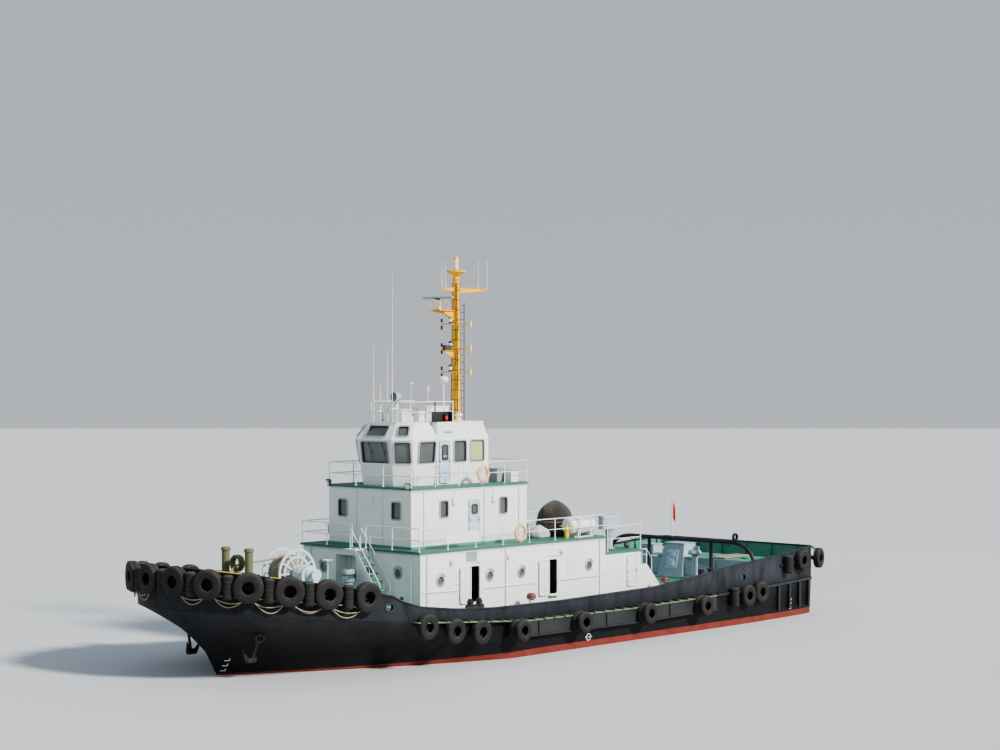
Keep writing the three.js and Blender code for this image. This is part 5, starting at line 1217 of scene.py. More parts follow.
def make_door(name, side, light=0, opened=False, slot="white_paint", finish="white"):
    """A steel door leaf over the plain one, with its dogs and grip. An opened leaf shows its inner side."""
    low, high = (Vector(corner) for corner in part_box(name))
    x0, x1, z0, z1 = low.x, high.x, low.z, high.z
    back, face = (low.y, high.y) if side > 0 else (high.y, low.y)
    thick, w, h = abs(face - back), x1 - x0, z1 - z0
    x, z, u = (x0 + x1) / 2, (z0 + z1) / 2, (-side, 0, 0)
    form, pane = Form(), Form()
    if opened:
        plate, cut, inset, corner, rim, deep = 0.027, 0, 0.1, 0.08, 0.028, 0.026
        ribs, margin, near, far, tall = (0.26, 0.52, 0.78), 0.04, -0.028, -0.006, 0.035
        dog_near, dog_far = -0.012, 0.004
        grip, root, out = x1 - 0.1, 0.002, -0.028
    else:
        plate, cut, inset, corner, rim, deep = 0.006, 0.015, 0.09, 0.084, 0.008, 0.014
        ribs, margin, near, far, tall = (0.28, 0.62), 0.05, -0.006, 0.004, 0.03
        dog_near, dog_far = thick - 0.004, thick + 0.016
        grip, root, out = x0 + 0.1, thick, thick + 0.05

    def slab(x_low, x_high, y_near, y_far, z_low, z_high, finish=0):
        form.block(x_low, x_high, back + y_near * side, back + y_far * side, z_low, z_high, finish)

    form.plate(rounded(w, h, 0.12), (x, back, z), u, UP, thick - plate)
    form.ring(rounded(w - cut, h - cut, 0.12), rounded(w - inset, h - inset, corner),
        (x, back + (thick - rim) * side, z), u, UP, deep)
    if light:
        window(form, pane, (x, face, z1 - 0.24 - light / 2), u, UP, w * 0.46, light, 0.06, 0.004, 0.004, 1)
    for foot in (z0 + h * share for share in ribs):
        slab(x0 + margin, x1 - margin, thick + near, thick + far, foot, foot + tall)
    if opened:
        slab(x - 0.015, x + 0.015, thick - 0.028, thick - 0.01, z0 + 0.05, z1 - 0.05)
    for dog in (x0 + 0.03, x1 - 0.03):
        for level in (z0 + h * share for share in (0.16, 0.5, 0.84)):
            slab(dog - 0.035, dog + 0.035, dog_near, dog_far, level - 0.018, level + 0.018, 2)
    form.tube([(grip, back + d * side, z0 + h * share) for d, share in ((root, 0.44), (out, 0.44),
        (out, 0.56), (root, 0.56))], 0.01, 8, 2, bend=0.02)
    form.piece(name + "_leaf", f"{finish} gasket iron", slot, name, name, sharp=40)
    if light:
        pane.piece(name + "_pane", "glass", "glass", name, sharp=30)


def make_doors():
    for side_name, side in SIDES:
        for kind in ("fore", "mid"):
            make_door(f"{kind}_door_{side_name}", side, opened=True)
        make_door(f"store_door_{side_name}", side)
        for kind, light in (("cabin", 0.32), ("wheelhouse", 0.55)):
            make_door(f"{kind}_door_{side_name}", side, light, slot="door_paint", finish="door")
    rims = Form()
    for side in (1, -1):
        for fore, sill in ((5.79, 2.17), (1.08, 2.13)):
            middle, head = fore - 0.28, sill + 1.56
            rims.ring(rounded(0.66, 1.54, 0.13), rounded(0.56, 1.44, 0.1),
                (middle, HOUSE_SIDE * side, sill + 0.72), (-side, 0, 0), UP, 0.004)
            rims.tube([(middle + dx, y * side, head + dz) for dx, y, dz in ((-0.36, 3.45, 0), (0, 3.49, 0.06),
                (0.36, 3.45, 0))], 0.014, 6, bend=0.1)
            rims.block(fore - 0.56, fore, 3.32 * side, 3.6 * side, sill - 0.068, sill - 0.038)
        for z in (2.6, 2.95, 3.3):
            rims.tube([(x, y * side, z) for x, y in ((6.51, 3.42), (6.51, 3.47), (6.63, 3.47), (6.63, 3.42))],
                0.011, 6, bend=0.02)
    rims.piece("door_coamings", "white", "white_paint")


def louvre(form, centre, u, wide, tall, slats=7, finish=0):
    centre, u = Vector(centre), Vector(u).normalized()
    out, step, half, low = u.cross(UP), tall / slats, wide / 2, -tall / 2
    form.ring(rounded(wide + 0.08, tall + 0.08, 0.02, 1), rounded(wide, tall, 0.01, 1), centre - out * 0.01,
        u, UP, 0.035, finish)
    # The plate behind the slats takes the second finish; on the house walls that is the dark painted shade.
    form.plate([(-half, low), (half, low), (half, -low), (-half, -low)], centre - out * 0.008, u, UP, 0.01, 1)
    rows = [(0.004, step * 0.35), (0.028, -step * 0.4), (0.031, -step * 0.36), (0.007, step * 0.39)]
    for z in (low + step * (k + 0.5) for k in range(slats)):
        form.loft([[centre + u * s * half + out * d + UP * (z + h) for d, h in rows] for s in (-1, 1)],
            finish)


def add_floodlight(form, spot, aim):
    spot, aim = Vector(spot), Vector(aim).normalized()
    shade = [(0.07, -0.1), (0.13, 0.02), (0.145, 0.05), (0.145, 0.075), (0.12, 0.075), (0, 0.065)]
    form.lathe(shade, spot + aim * 0.05, 20, 5, axis=aim)
    form.lathe([(0, 0.068), (0.118, 0.078), (0.118, 0.083), (0, 0.09)], spot + aim * 0.05, 20, 3, axis=aim)
    form.tube([spot + xyz(*((0.1, 0, 0) if spot.z > 8 else (0, 0, -0.14))), spot - aim * 0.03], 0.02, 8, 5)


def fit_front_walls(form):
    """Pipes, grips, rungs and boxes on the front walls of the two lower houses."""
    front = HOUSE_FRONT
    for y in (2.95, -2.95):
        form.tube([(8.64, y, 4.2), (8.64, y, deck_height(front) + 0.2)], 0.03, 10)
    # A dark patch in a small frame: painted shade of an opening.
    form.block(front, 8.63, 2.34, 2.5, 2.42, 2.54, 1)
    form.ring(rounded(0.22, 0.18, 0.02), rounded(0.16, 0.12, 0.01), (front, 2.42, 2.48), (0, 1, 0), UP, 0.035)
    form.tube([(8.63, 3.3, 4.2), (8.63, -3.3, 4.2)], 0.018)
    for y in (1.1, 2.9):
        form.tube([(x, y, z) for x, z in ((front, 2.3), (8.66, 2.3), (8.66, 2.75), (front, 2.75))], 0.012,
            bend=0.03)
    for z in (2.25, 2.55, 2.85, 3.15, 3.45):
        form.tube([(front, 2.62, z), (8.69, 2.62, z), (8.69, 2.92, z), (front, 2.92, z)], 0.012, 6, bend=0.02)
    form.block(CABIN_FRONT, 8.22, -0.25, 0.25, 6.1, 6.34)
    for y in (-0.75, 0.75):
        form.tube([(8.13, y, 6.65), (8.13, y, 4.45)], 0.022)
    form.tube([(8.13, 2.35, 6.66), (8.13, -2.35, 6.66)], 0.016)
    for y in (-1.3, -0.55):
        form.tube([(7.96, y, 2.2), (7.96, y, 3.9)], 0.03)
    form.block(7.905, 7.96, -1.05, -0.75, 2.9, 3.3, 5)


def fit_side_wall(form, side):
    """Pipes, louvres, hand rails and lamps on one side of the two lower houses."""
    u = (-side, 0, 0)

    def tube(places, *settings, **more):
        form.tube([(x, y * side, z) for x, y, z in places], *settings, **more)

    def box(x, half, y, far, low, high):
        form.block(x - half, x + half, y * side, far * side, low, high)

    louvre(form, (5.71, HOUSE_SIDE * side, 4.03), u, 0.52, 0.36, 6, 6)
    louvre(form, (-0.35, HOUSE_SIDE * side, 3.2), u, 0.46, 0.62, 9)
    for x, top in ((8.25, 4.2), (3.72, 4.22), (-2.2, 4.2)):
        foot = deck_height(x)
        tube([(x, 3.465, top), (x, 3.465, foot + 0.15), (x + 0.12, 3.51, foot + 0.06)], 0.026, 10, bend=0.08)
        for z in (2.4, 3.1, 3.8):
            box(x, 0.045, HOUSE_SIDE, 3.47, z, z + 0.03)
    tube([(8.55, 3.45, 4.22), (-2.58, 3.45, 4.22)], 0.018)
    for x in (6.9, 3.6, 0.3):
        box(x, 0.07, HOUSE_SIDE, 3.49, 3.86, 3.98)
        form.lathe([(0.055, 0), (0.06, -0.05), (0.045, -0.11), (0, -0.12)], (x, 3.52 * side, 3.86), 14, 3)
        tube([(x, HOUSE_SIDE, 3.92), (x, 3.52, 3.9), (x, 3.52, 3.84)], 0.016, 6, bend=0.03)
    for x0, z0, x1, z1 in ((8.5, 2.75, 6.55, 2.7), (4.95, 2.68, 1.85, 2.66), (0.35, 2.66, -2.45, 2.7)):
        tube([(x0, 3.47, z0), (x1, 3.47, z1)], 0.016)
    for x in (8.5, 7.5, 6.55, 4.95, 3.9, 2.9, 1.85, 0.35, -0.6, -1.5, -2.45):
        tube([(x, HOUSE_SIDE, 2.69), (x, 3.47, 2.69)], 0.012, 6)
    box(-4.35, 0.36, HOUSE_SIDE, 3.465, 3.42, 3.45)
    tube([(8.02, 2.43, 6.66), (1.36, 2.43, 6.66)], 0.016)
    for x in (7.4, 3.9, 1.8):
        tube([(x, 2.435, 6.62), (x, 2.435, 4.44)], 0.022)
    for x in (5.7, 3.35):
        box(x, 0.1, CABIN_SIDE, 2.51, 6.05, 6.32)
        tube([(x, 2.45, 6.32), (x, 2.45, 6.64)], 0.012, 6)
    louvre(form, (7.05, CABIN_SIDE * side, 5.05), u, 0.36, 0.3, 5)


def make_house_fittings():
    """Pipes, louvres, gutters, lamps, junction boxes, lockers and weld seams on the houses."""
    form, seams, lining = Form(), Form(), Form()
    for side in (1, -1):
        fit_side_wall(form, side)
    fit_front_walls(form)
    for x, y, z, aim in ((8.15, 2.3, 6.92, (1, 0.35, -0.5)), (-4.95, 2.6, 3.78, (-1, 0.2, -0.5)),
            (2.76, 1.25, 8.6, (-1, 0.2, -0.6))):
        for side in (1, -1):
            add_floodlight(form, (x, y * side, z), (aim[0], aim[1] * side, aim[2]))
    # plates that close the wheelhouse's shoulders and the slope behind its roof
    for side in (1, -1):
        form.loft([[(x, y * side, z) for y, z in ((1.652, 8.66), (1.652, 9.302), (1.3, 9.302))]
            for x in (5.862, 5.886)])
    form.cheek([(2.846, 8.765), (2.876, 8.765), (3.152, 9.29), (3.146, 9.342)], 0, -1.65, 1.65)
    for box in ((1.62, 2.28, 1.02, 1.62, 6.745, 7.32, 6), (1.6, 2.3, 1, 1.64, 7.32, 7.35, 6),
            (1.5, 1.94, 1.72, 2.1, 6.745, 7.22)):
        form.block(*box)
    form.lathe([(0.09, 0), (0.1, 0.03), (0.1, 0.4), (0.06, 0.47), (0.05, 0.56), (0, 0.57)],
        (-0.42, 3.12, BOAT_DECK + 0.004), 16, 7)
    form.tube([(x, y, BOAT_DECK + z) for x, y, z in ((-0.42, 3.02, 0.52), (-0.3, 3.1, 0.56),
        (-0.36, 3.14, 0.3))], 0.015, 6, 7, bend=0.04)
    form.piece("house_fittings", "white shade gasket lens red iron frame yellow", "white_paint", sharp=40)
    for side in (1, -1):
        for x in (7, 3.75, -0.9):
            seams.block(x - 0.008, x + 0.008, 3.418 * side, 3.4245 * side, deck_height(x) + 0.05, 4.25)
        for x in (6.9, 3.6):
            seams.block(x - 0.007, x + 0.007, 2.398 * side, 2.4045 * side, 4.4, 6.7)
        near, far = sorted((HOUSE_SIDE * side, 3.452 * side))
        rings = [[(x, y, deck_height(x) + z) for y, z in ((near, 0.021), (far, 0.021), (far, 0.13),
            (near, 0.13))] for x in (HOUSE_FRONT, 7, 6.45)]
        lining.loft(rings).block(1.28, 8.12, CABIN_SIDE * side, 2.43 * side, 4.361, 4.46)
    seams.block(8.598, 8.6045, -2.9, 2.9, 2.84, 2.852)
    seams.piece("house_weld_seams", "white", "white_paint")
    lining.block(CABIN_FRONT, 8.13, -2.43, 2.43, 4.361, 4.46)
    lining.piece("house_skirting", "bulwark_green", "deck_paint")


# Rails, ladders and stairs
def rail(form, run, floor, height, courses=(1, 0.5), pitch=1.5, finish=0, radius=0.021):
    """Round guard rails with posts, feet and rounded corners."""
    for share in courses:
        size = radius if share == 1 else radius * 0.8
        form.tube([(x, y, floor + height * share) for x, y in run], size, 10, finish, bend=0.08)
    for i, (a, b) in enumerate(zip(run, run[1:])):
        steps = max(1, round(dist(a, b) / pitch))
        for k in range(1 if i else 0, steps + 1):
            x, y = (p + (q - p) * k / steps for p, q in zip(a, b))
            form.tube([(x, y, floor), (x, y, floor + height)], radius * 1.05, 10, finish)
            form.lathe([(0.05, 0), (0.05, 0.012), (0.03, 0.03)], (x, y, floor), 10, finish)


def make_rails():
    for side_name, side in SIDES:
        form = Form()
        inner = 0.38 if side > 0 else -0.42
        rail(form, [(8.66, inner), (8.66, HOUSE_SIDE * side), (-2.54, HOUSE_SIDE * side)], BOAT_DECK, 0.9)
        form.piece(f"boat_rail_{side_name}", "white", "white_paint", stands_for=f"boat_deck_rail_{side_name}")
    form = Form()
    rail(form, [(1.3, 0.4), (1.3, 2.4), (8.1, 2.4), (8.1, -2.4), (1.3, -2.4), (1.3, -0.4)], BRIDGE_DECK, 0.9)
    form.piece("bridge_guard_rails", "white", "white_paint", stands_for="bridge_rails")
    deck = Form()
    deck.block(-5.04, -2.601, -3.48, 3.48, 3.56, AFTER_DECK)
    for side in (1, -1):
        rail(deck, [(-2.75, side * HOUSE_SIDE), (-4.98, side * HOUSE_SIDE)], AFTER_DECK - 0.01, 1.09,
            finish=1)
    deck.piece("stepped_deck_and_rails", "deck white", "deck_paint", stands_for="aft_boat_deck")


def torus(form, centre, axis, big, small, steps=40, sides=12, finish=0):
    profile = [(big + small * cos(turn), small * sin(turn)) for turn in turns(sides)]
    return form.lathe(profile + profile[:1], centre, steps, finish, axis=axis)


def make_rail_gear():
    """Life rings and the blank boards on the rails."""
    rings, board = Form(), Form()
    for x, y, z, way in ((2.88, 3.5, 4.8, 1), (2.88, -3.5, 4.8, -1), (4.05, 2.49, 7.22, 1),
            (4.05, -2.49, 7.22, -1)):
        centre, axis = xyz(x, y, z), (0, way, 0)
        turn = upright(axis)
        torus(rings, centre, axis, 0.29, 0.065)
        for a in turns(4, radians(45)):
            spot = centre + turn @ xyz(0.29 * cos(a), 0.29 * sin(a), 0)
            torus(rings, spot, turn @ xyz(-sin(a), cos(a), 0), 0.068, 0.012, 18, 6, 1)
        reach = [(a, 0.36 + 0.02 * cos(8 * a)) for a in turns(48)]
        rings.tube([centre + turn @ xyz(r * cos(a), r * sin(a), 0.02) for a, r in reach], 0.007, 6, 1,
            loop=True)
    rings.piece("life_rings", "orange mark", "raft_shell")
    for side in (1, -1):
        board.block(5.3, 7.2, 3.445 * side, 3.47 * side, 4.62, 5.04)
        for x, z in ((5.42, 4.68), (5.42, 4.98), (7.08, 4.68), (7.08, 4.98)):
            board.lathe([(0.016, 0), (0.013, 0.012), (0, 0.014)], (x, 3.47 * side, z), 8, 1,
                axis=(0, side, 0))
    board.piece("blank_boards", "white iron", "white_paint", bevel=0.004)


def make_ladder():
    form = Form()
    top, foot = xyz(0, 0.4, 4.34), xyz(0, 2.45, 1.7)
    drop = (top.z - foot.z) / (foot.y - top.y)
    at = lambda y: top.z - (y - top.y) * drop
    along = (foot - top).normalized()
    across = xyz(0, -along.z, along.y)
    for x in (8.77, 9.34):
        corners = ((-0.012, -0.09), (0.012, -0.09), (0.012, 0.09), (-0.012, 0.09))
        form.loft([[p + xyz(x + dx, 0, 0) + across * d for dx, d in corners]
            for p in (top, foot + along * 0.35)])
        hand = ((0.2, top.z - 0.03), (0.2, top.z + 0.85), (1.9, 3.06), (1.9, at(1.9)))
        form.tube([(x, y, z) for y, z in hand], 0.02, 10, bend=0.12)
        for y, high in ((0.75, top.z + 0.54), (1.3, at(1.3) + 0.72)):
            form.tube([(x, y, high), (x, y, at(y))], 0.016)
    for y in (top.y + (foot.y - top.y) * i / 8.6 for i in range(1, 9)):
        tread = at(y)
        form.block(8.77, 9.34, y - 0.11, y + 0.11, tread - 0.012, tread + 0.012, 1)
        form.block(8.77, 9.34, y + 0.1, y + 0.112, tread - 0.06, tread + 0.012, 1)
        for x in (8.8 + 0.09 * k for k in range(6)):
            form.block(x, x + 0.04, y - 0.1, y + 0.1, tread + 0.012, tread + 0.018, 1)
    form.block(8.722, 9.385, -0.15, 0.46, 4.28, 4.34)
    form.piece("foredeck_stair", "white chequer", "white_paint", stands_for="foredeck_ladder", bevel=0.003)


# Foredeck
def make_winch_bed(x, z):
    bed = Form()
    bed.loft([[(px, -0.95, low), (px, 1.45, low), (px, 1.45, 2.58), (px, -0.95, 2.58)]
        for px, low in ((px, deck_height(px) + 0.03) for px in (x - 1.05, x, x + 0.95))])
    bed.block(x - 1.1, x + 1, -1, 1.5, 2.57, 2.6)
    arch = [(0.26 * cos(a), z + 0.26 * sin(a)) for a in (radians(d) for d in range(0, 181, 20))]
    cheek = [(-0.62, 2.59), (0.62, 2.59), (0.52, 2.75), (0.3, z - 0.1), *arch, (-0.3, z - 0.1), (-0.52, 2.75)]
    for yc, way in ((-0.64, -1), (0.58, 1)):
        bed.cheek(cheek, x, yc - 0.05, yc + 0.05)
        bed.lathe([(0.08, -0.1), (0.19, -0.1), (0.19, 0.1), (0.08, 0.1), (0.08, -0.1)], (x, yc, z),
            axis=(0, 1, 0))
        bed.bolts([(0.02, 0), (0.02, 0.02)], (x, yc + 0.1 * way, z), 0.15, 8, axis=(0, way, 0), v=UP)
        for px in (x - 0.38, x + 0.38):
            bed.loft([[(px + s, yc + a, b) for a, b in ((0.05, 2.6), (0.22, 2.6), (0.05, 3.1))]
                for s in (-0.015, 0.015)])
    crown = [(0.42 * cos(a), min(z - 0.02 + 0.38 * sin(a), z + 0.35))
        for a in (radians(d) for d in range(15, 166, 15))]
    case = [(-0.42, 2.59), (0.42, 2.59), (0.42, z + 0.1), *crown, (-0.42, z + 0.1)]
    bed.cheek(case, x, 0.64, 1.18)
    bed.cheek([(a * 1.04, b + (0.015 if b > 3 else 0)) for a, b in case], x, 0.88, 0.93)
    bed.block(x - 0.9, x - 0.5, 1.02, 1.42, 2.6, 3.25)
    bed.block(x - 0.93, x - 0.47, 0.99, 1.45, 3.25, 3.28)
    bed.lathe([(0.2, 0), (0.2, 0.05), (0.16, 0.07), (0.16, 0.4), (0.12, 0.44)], (x + 0.12, 1.18, 2.95),
        axis=(0, 1, 0))
    hub = xyz(x - 0.8, 1.3, 4.12)
    bed.tube([(hub.x, hub.y, 3.25), hub], 0.025, 10)
    torus(bed, hub, UP, 0.19, 0.018, 28, 8)
    for turn in turns(3):
        bed.tube([hub, hub + xyz(cos(turn), sin(turn), 0) * 0.19], 0.012, 6)
    for yc in (-0.4, 0.3):
        bed.tube([(x + 0.62, yc, 2.62), (x + 0.62, yc, 3), (x + 0.75, yc, 3.05)], 0.03, bend=0.08)
    bed.tube([(x + 0.7, 1.2, 2.62), (x + 0.7, 1.2, 3.2), (x + 0.3, 1.2, 3.35)], 0.022, 8, 1, bend=0.1)
    bed.tube([(x + 0.78, 1.1, 2.62), (x + 0.78, 1.1, 3), (x + 0.25, 1.05, 3.15)], 0.022, 8, 1, bend=0.1)
    bed.piece("winch_bed", "winch black", "winch_paint", stands_for="winch_frame", bevel=0.012, sharp=40)


def make_winch():
    x, y, z, half = 12.35, -0.04, 3.6, 0.44
    make_winch_bed(x, z)
    drum = Form().tube([(x, -0.76, z), (x, 1.3, z)], 0.074, 20)
    for s in (-1, 1):
        for inner, outer, thick in ((0.85, 0.96, 0.05), (0.58, 0.68, 0.02), (0.09, 0.3, 0.045)):
            near, far = s * (half + 0.002), s * (half + thick)
            drum.lathe([(inner, near), (outer, near), (outer, far), (inner, far), (inner, near)], (x, y, z),
                64, axis=(0, 1, 0))
        spot = xyz(x, y + s * (half + 0.022), z)
        for turn in turns(12):
            u, v = xyz(cos(turn), 0, sin(turn)), xyz(-sin(turn), 0, cos(turn))
            spoke = ((-0.034, -0.016), (0.034, -0.016), (0.03, 0.018), (-0.03, 0.018))
            drum.loft([[spot + u * r + v * d + xyz(0, s * h, 0) for d, h in spoke] for r in (0.27, 0.9)])
    drum.lathe([(0.27, 0), (0.272, 0.03), (0.2, 0.09), (0.17, 0.16), (0.18, 0.24), (0.235, 0.3),
        (0.235, 0.33)], (x, 1.23, z), 32, axis=(0, 1, 0))
    drum.piece("winch_drum_body", "winch", "winch_paint", "winch_drum", "winch_drum", sharp=40)

    wound = Form()
    for layer, rounds, way in ((0.585, 10, 1), (0.655, 9.4, -1)):
        steps = int(rounds * 30)
        points = []
        for t in (k / steps for k in range(steps + 1)):
            angle = t * rounds * tau
            reach = layer + 0.008 * sin(angle * 2.7 + layer * 40)
            points.append((x + reach * cos(angle), y + (t * 2 - 1) * (half - 0.05) * way,
                z + reach * sin(angle)))
        wound.tube(points, 0.04)
    near = 0.004 - half
    wound.lathe([(0.09, near), (0.57, near), (0.57, -near), (0.09, -near), (0.09, near)], (x, y, z), 40,
        axis=(0, 1, 0))
    wound.piece("wound_towline", "rope", "galvanised", "winch_drum", sharp=60)
    start, ring = xyz(x + 0.02, -0.02, z + 0.7), xyz(14.88, 0.02, 4.1)
    path = [start.lerp(ring, k / 16) - UP * (0.035 * sin(k / 16 * pi)) for k in range(17)]
    path += [xyz(15.1, 0.03, 4.06), xyz(15.28, 0.03, 3.92), xyz(15.36, 0.05, 3.7), xyz(15.32, 0.09, 3.45)]
    line = Form().tube(path, 0.04, 12)
    line.tube([(15.32 + 0.1 * sin(a), 0.1 + 0.16 * sin(a / 2), 3.45 - 0.26 * (1 - cos(a)))
        for a in turns(20) + [tau]], 0.036, 10)
    line.tube([path[-1] + UP * 0.22, path[-1]], 0.054, 12)
    line.piece("taut_towline", "rope", "galvanised", sharp=60)


def make_tow_bitt():
    form = Form()
    x = 15
    foot = deck_height(x) + 0.02
    for side in (-1, 1):
        y = 0.68 * side
        form.lathe([(0.152, foot), (0.152, 4.6), (0.185, 4.61), (0.185, 4.7), (0.15, 4.74), (0, 4.745)],
            (x, y, 0), 28)
        form.cheek(((-0.14, foot), (-0.55, foot), (-0.14, 3.4)), x, y - 0.02, y + 0.02)
        form.loft([[(x + s, y + dy * side, z) for dy, z in ((0.13, foot), (0.42, foot), (0.13, 3.2))]
            for s in (-0.02, 0.02)])
    form.tube([(x, -0.95, 3.7), (x, 0.95, 3.7)], 0.11, 24)
    for side in (1, -1):
        for k in range(4):
            a, b = 0.94 + 0.0775 * k, 0.94 + 0.0775 * (k + 1)
            end = [(0.112, b)] if k < 3 else [(0.112, b - 0.02), (0.09, b)]
            form.lathe([(0, a), (0.112, a), *end, (0, b)], (x, 0, 3.7), 24, 1 + k % 2, axis=(0, side, 0))
    half = [(0.33, 0.08), (0.31, 0.12), (0.27, 0.135), (0.23, 0.13), (0.205, 0.07)]
    other = [(r, -h) for r, h in half[::-1]]
    form.lathe(other[1:] + half + [(0.2, 0)] + other[:2], (x, 0, 4.15), 48, axis=(1, 0, 0))
    for side in (1, -1):
        form.block(x - 0.05, x + 0.05, 0.32 * side, 0.56 * side, 4.09, 4.21)
    form.piece("tow_bitt_body", "olive yellow black", "olive_paint", stands_for="tow_bitt", bevel=0.006,
        sharp=40)


# Mast, roof and radar
def make_mast():
    x, foot, top = 3.08, ROOF + 0.001, 15.6
    form = Form()
    thinner = [(0.205 - 0.07 * t, foot + 0.05 + (top - foot - 0.05) * t) for t in (0, 0.25, 0.5, 0.75, 1)]
    form.lathe([(0, foot), (0.3, foot), (0.3, foot + 0.03), (0.21, foot + 0.05), *thinner, (0, top)],
        (x, 0, 0), 32)
    form.lathe([(0.15, -0.15), (0.4, -0.02), (0.42, 0), (0.42, 0.05), (0.4, 0.06), (0.1, 0.06), (0.095, 0.1),
        (0.095, 0.6), (0.06, 0.65)], (x, 0, top), 32)
    for z in (0.14, 0.34):
        form.lathe([(0.1, z), (0.105, z + 0.02), (0.105, z + 0.14), (0.1, z + 0.16)], (x, 0, top), 24, 2)
    for half, outline in (
        (0.035, ((0, 14.7), (0, 15), (-1.95, 14.92), (-1.95, 14.86))),
        (0.035, ((0, 14.76), (0.9, 14.86), (0.9, 14.91), (0, 14.96))),
        (0.07, ((0, 14.985), (0, 15), (-1.95, 14.92), (-1.95, 14.905))),
        (0.07, ((0, 14.95), (0.9, 14.9), (0.9, 14.91), (0, 14.965))),
        (0.02, ((0, 13.5), (0.7, 13.85), (1.35, 13.93), (1.35, 13.96), (0, 13.96))),
        (0.09, ((0, 13.5), (0, 13.47), (0.7, 13.82), (1.35, 13.91), (1.35, 13.93), (0.7, 13.85))),
    ):
        form.cheek(outline, x, -half, half)
    form.block(x + 0.7, x + 1.35, -0.33, 0.33, 13.955, 13.99)
    form.block(x, x + 0.7, -0.09, 0.09, 13.955, 13.99)
    for y in (0.3, -0.3):
        rail(form, [(x + 0.75, y), (x + 1.32, y)], 13.99, 0.32, (1,), 0.6, radius=0.012)
    form.lathe([(0.15, 13.98), (0.15, 14), (0.12, 14.02), (0.12, 14.3), (0.13, 14.32), (0.13, 14.388)],
        (x + 1.08, 0, 0), 28, 4)
    form.cheek([(0, 11.9), (0.75, 12.25), (0.75, 12.3), (0, 12.3)], x, -0.02, 0.02)
    form.cheek([(0, 12.28), (0.75, 12.28), (0.75, 12.3), (0, 12.3)], x, -0.08, 0.08)
    form.block(x + 0.35, x + 0.72, -0.09, 0.09, 12.3, 12.52, 1)
    for z in (13.41, 12.38, 11.39):
        form.tube([(x, -0.86, z), (x, 0.86, z)], 0.024, 10)
        for y, case in ((0.85, 0), (-0.85, 1)):
            form.lathe([(0.045, -0.23), (0.045, -0.06)], (x, y, z), 14, case)
            form.lathe([(0.04, -0.06), (0.046, -0.03), (0.046, 0.06), (0.04, 0.08)], (x, y, z), 16, 2)
            form.lathe([(0.045, 0.08), (0.045, 0.23)], (x, y, z), 14, case)
        form.cheek([(0, z - 0.06), (0.42, z - 0.02), (0.42, z + 0.02), (0, z + 0.02)], x, -0.015, 0.015)
        form.cheek([(0, z + 0.005), (0.42, z + 0.005), (0.42, z + 0.02), (0, z + 0.02)], x, -0.06, 0.06)
        form.lathe([(0.08, 0.01), (0.08, 0.08), (0.06, 0.09), (0.065, 0.22), (0.08, 0.24), (0.08, 0.3),
            (0, 0.33)], (x + 0.34, 0, z), 18, 1)
        form.lathe([(0.072, 0.09), (0.076, 0.15), (0.072, 0.22)], (x + 0.34, 0, z), 18, 2)
    for dx, height in ((-1.9, 1.25), (-1.35, 1.25), (0.85, 1.15), (0.65, 1.15)):
        form.lathe([(0.02, 14.88), (0.012, 15.1), (0.007, 14.88 + height)], (x + dx, 0, 0), 8, 4)
    ladder_x = x - 0.33
    for y in (-0.15, 0.15):
        form.tube([(ladder_x, y, foot), (ladder_x, y, 14.3)], 0.018, 8, 3)
    for z in (9.7 + 0.3 * k for k in range(16)):
        form.tube([(ladder_x, -0.15, z), (ladder_x, 0.15, z)], 0.011, 6, 3)
    for z in (9.7 + 1.5 * k for k in range(4)):
        form.tube([(ladder_x, 0, z), (x, 0, z)], 0.014, 6)
    for turn, size in ((35, 0.014), (60, 0.018), (150, 0.012), (200, 0.02), (300, 0.014)):
        cable = [(0.225 - 0.07 * t, radians(turn) + 0.02 * sin(t * 20), foot + 0.05 + (top - 0.5 - foot) * t)
            for t in (k / 12 for k in range(13))]
        form.tube([(x + r * cos(a), r * sin(a), z) for r, a, z in cable], size, 6, 3)
    for z in (9.8 + 0.42 * k for k in range(14)):
        torus(form, (x, 0, z), UP, 0.217 - 0.07 * (z - foot) / (top - foot), 0.009, 24, 5, 3)
    form.piece("mast_pole", "ochre gasket lens black shell", "ochre_paint", stands_for="mast", sharp=40)

    x, z = 4.16, 14.391
    radar = Form().lathe([(0.07, 0), (0.06, 0.05)], (x, 0, z), 20, 1)
    section = [(0.075 * cos(a), 0.06 * sin(a)) for a in turns(14)]
    stations = ((-0.88, 0.3), (-0.86, 0.8), (-0.8, 1), (-0.02, 1), (0.02, 1), (0.8, 1), (0.86, 0.8),
        (0.88, 0.3))
    radar.loft([[(x + a * s, y, z + 0.1 + b * s) for a, b in section] for y, s in stations])
    radar.block(x - 0.08, x + 0.08, -0.16, 0.16, z + 0.035, z + 0.075, 1)
    radar.piece("radar_array", "frame gasket", "raft_shell", "radar_scanner", "radar_scanner", bevel=0.005)


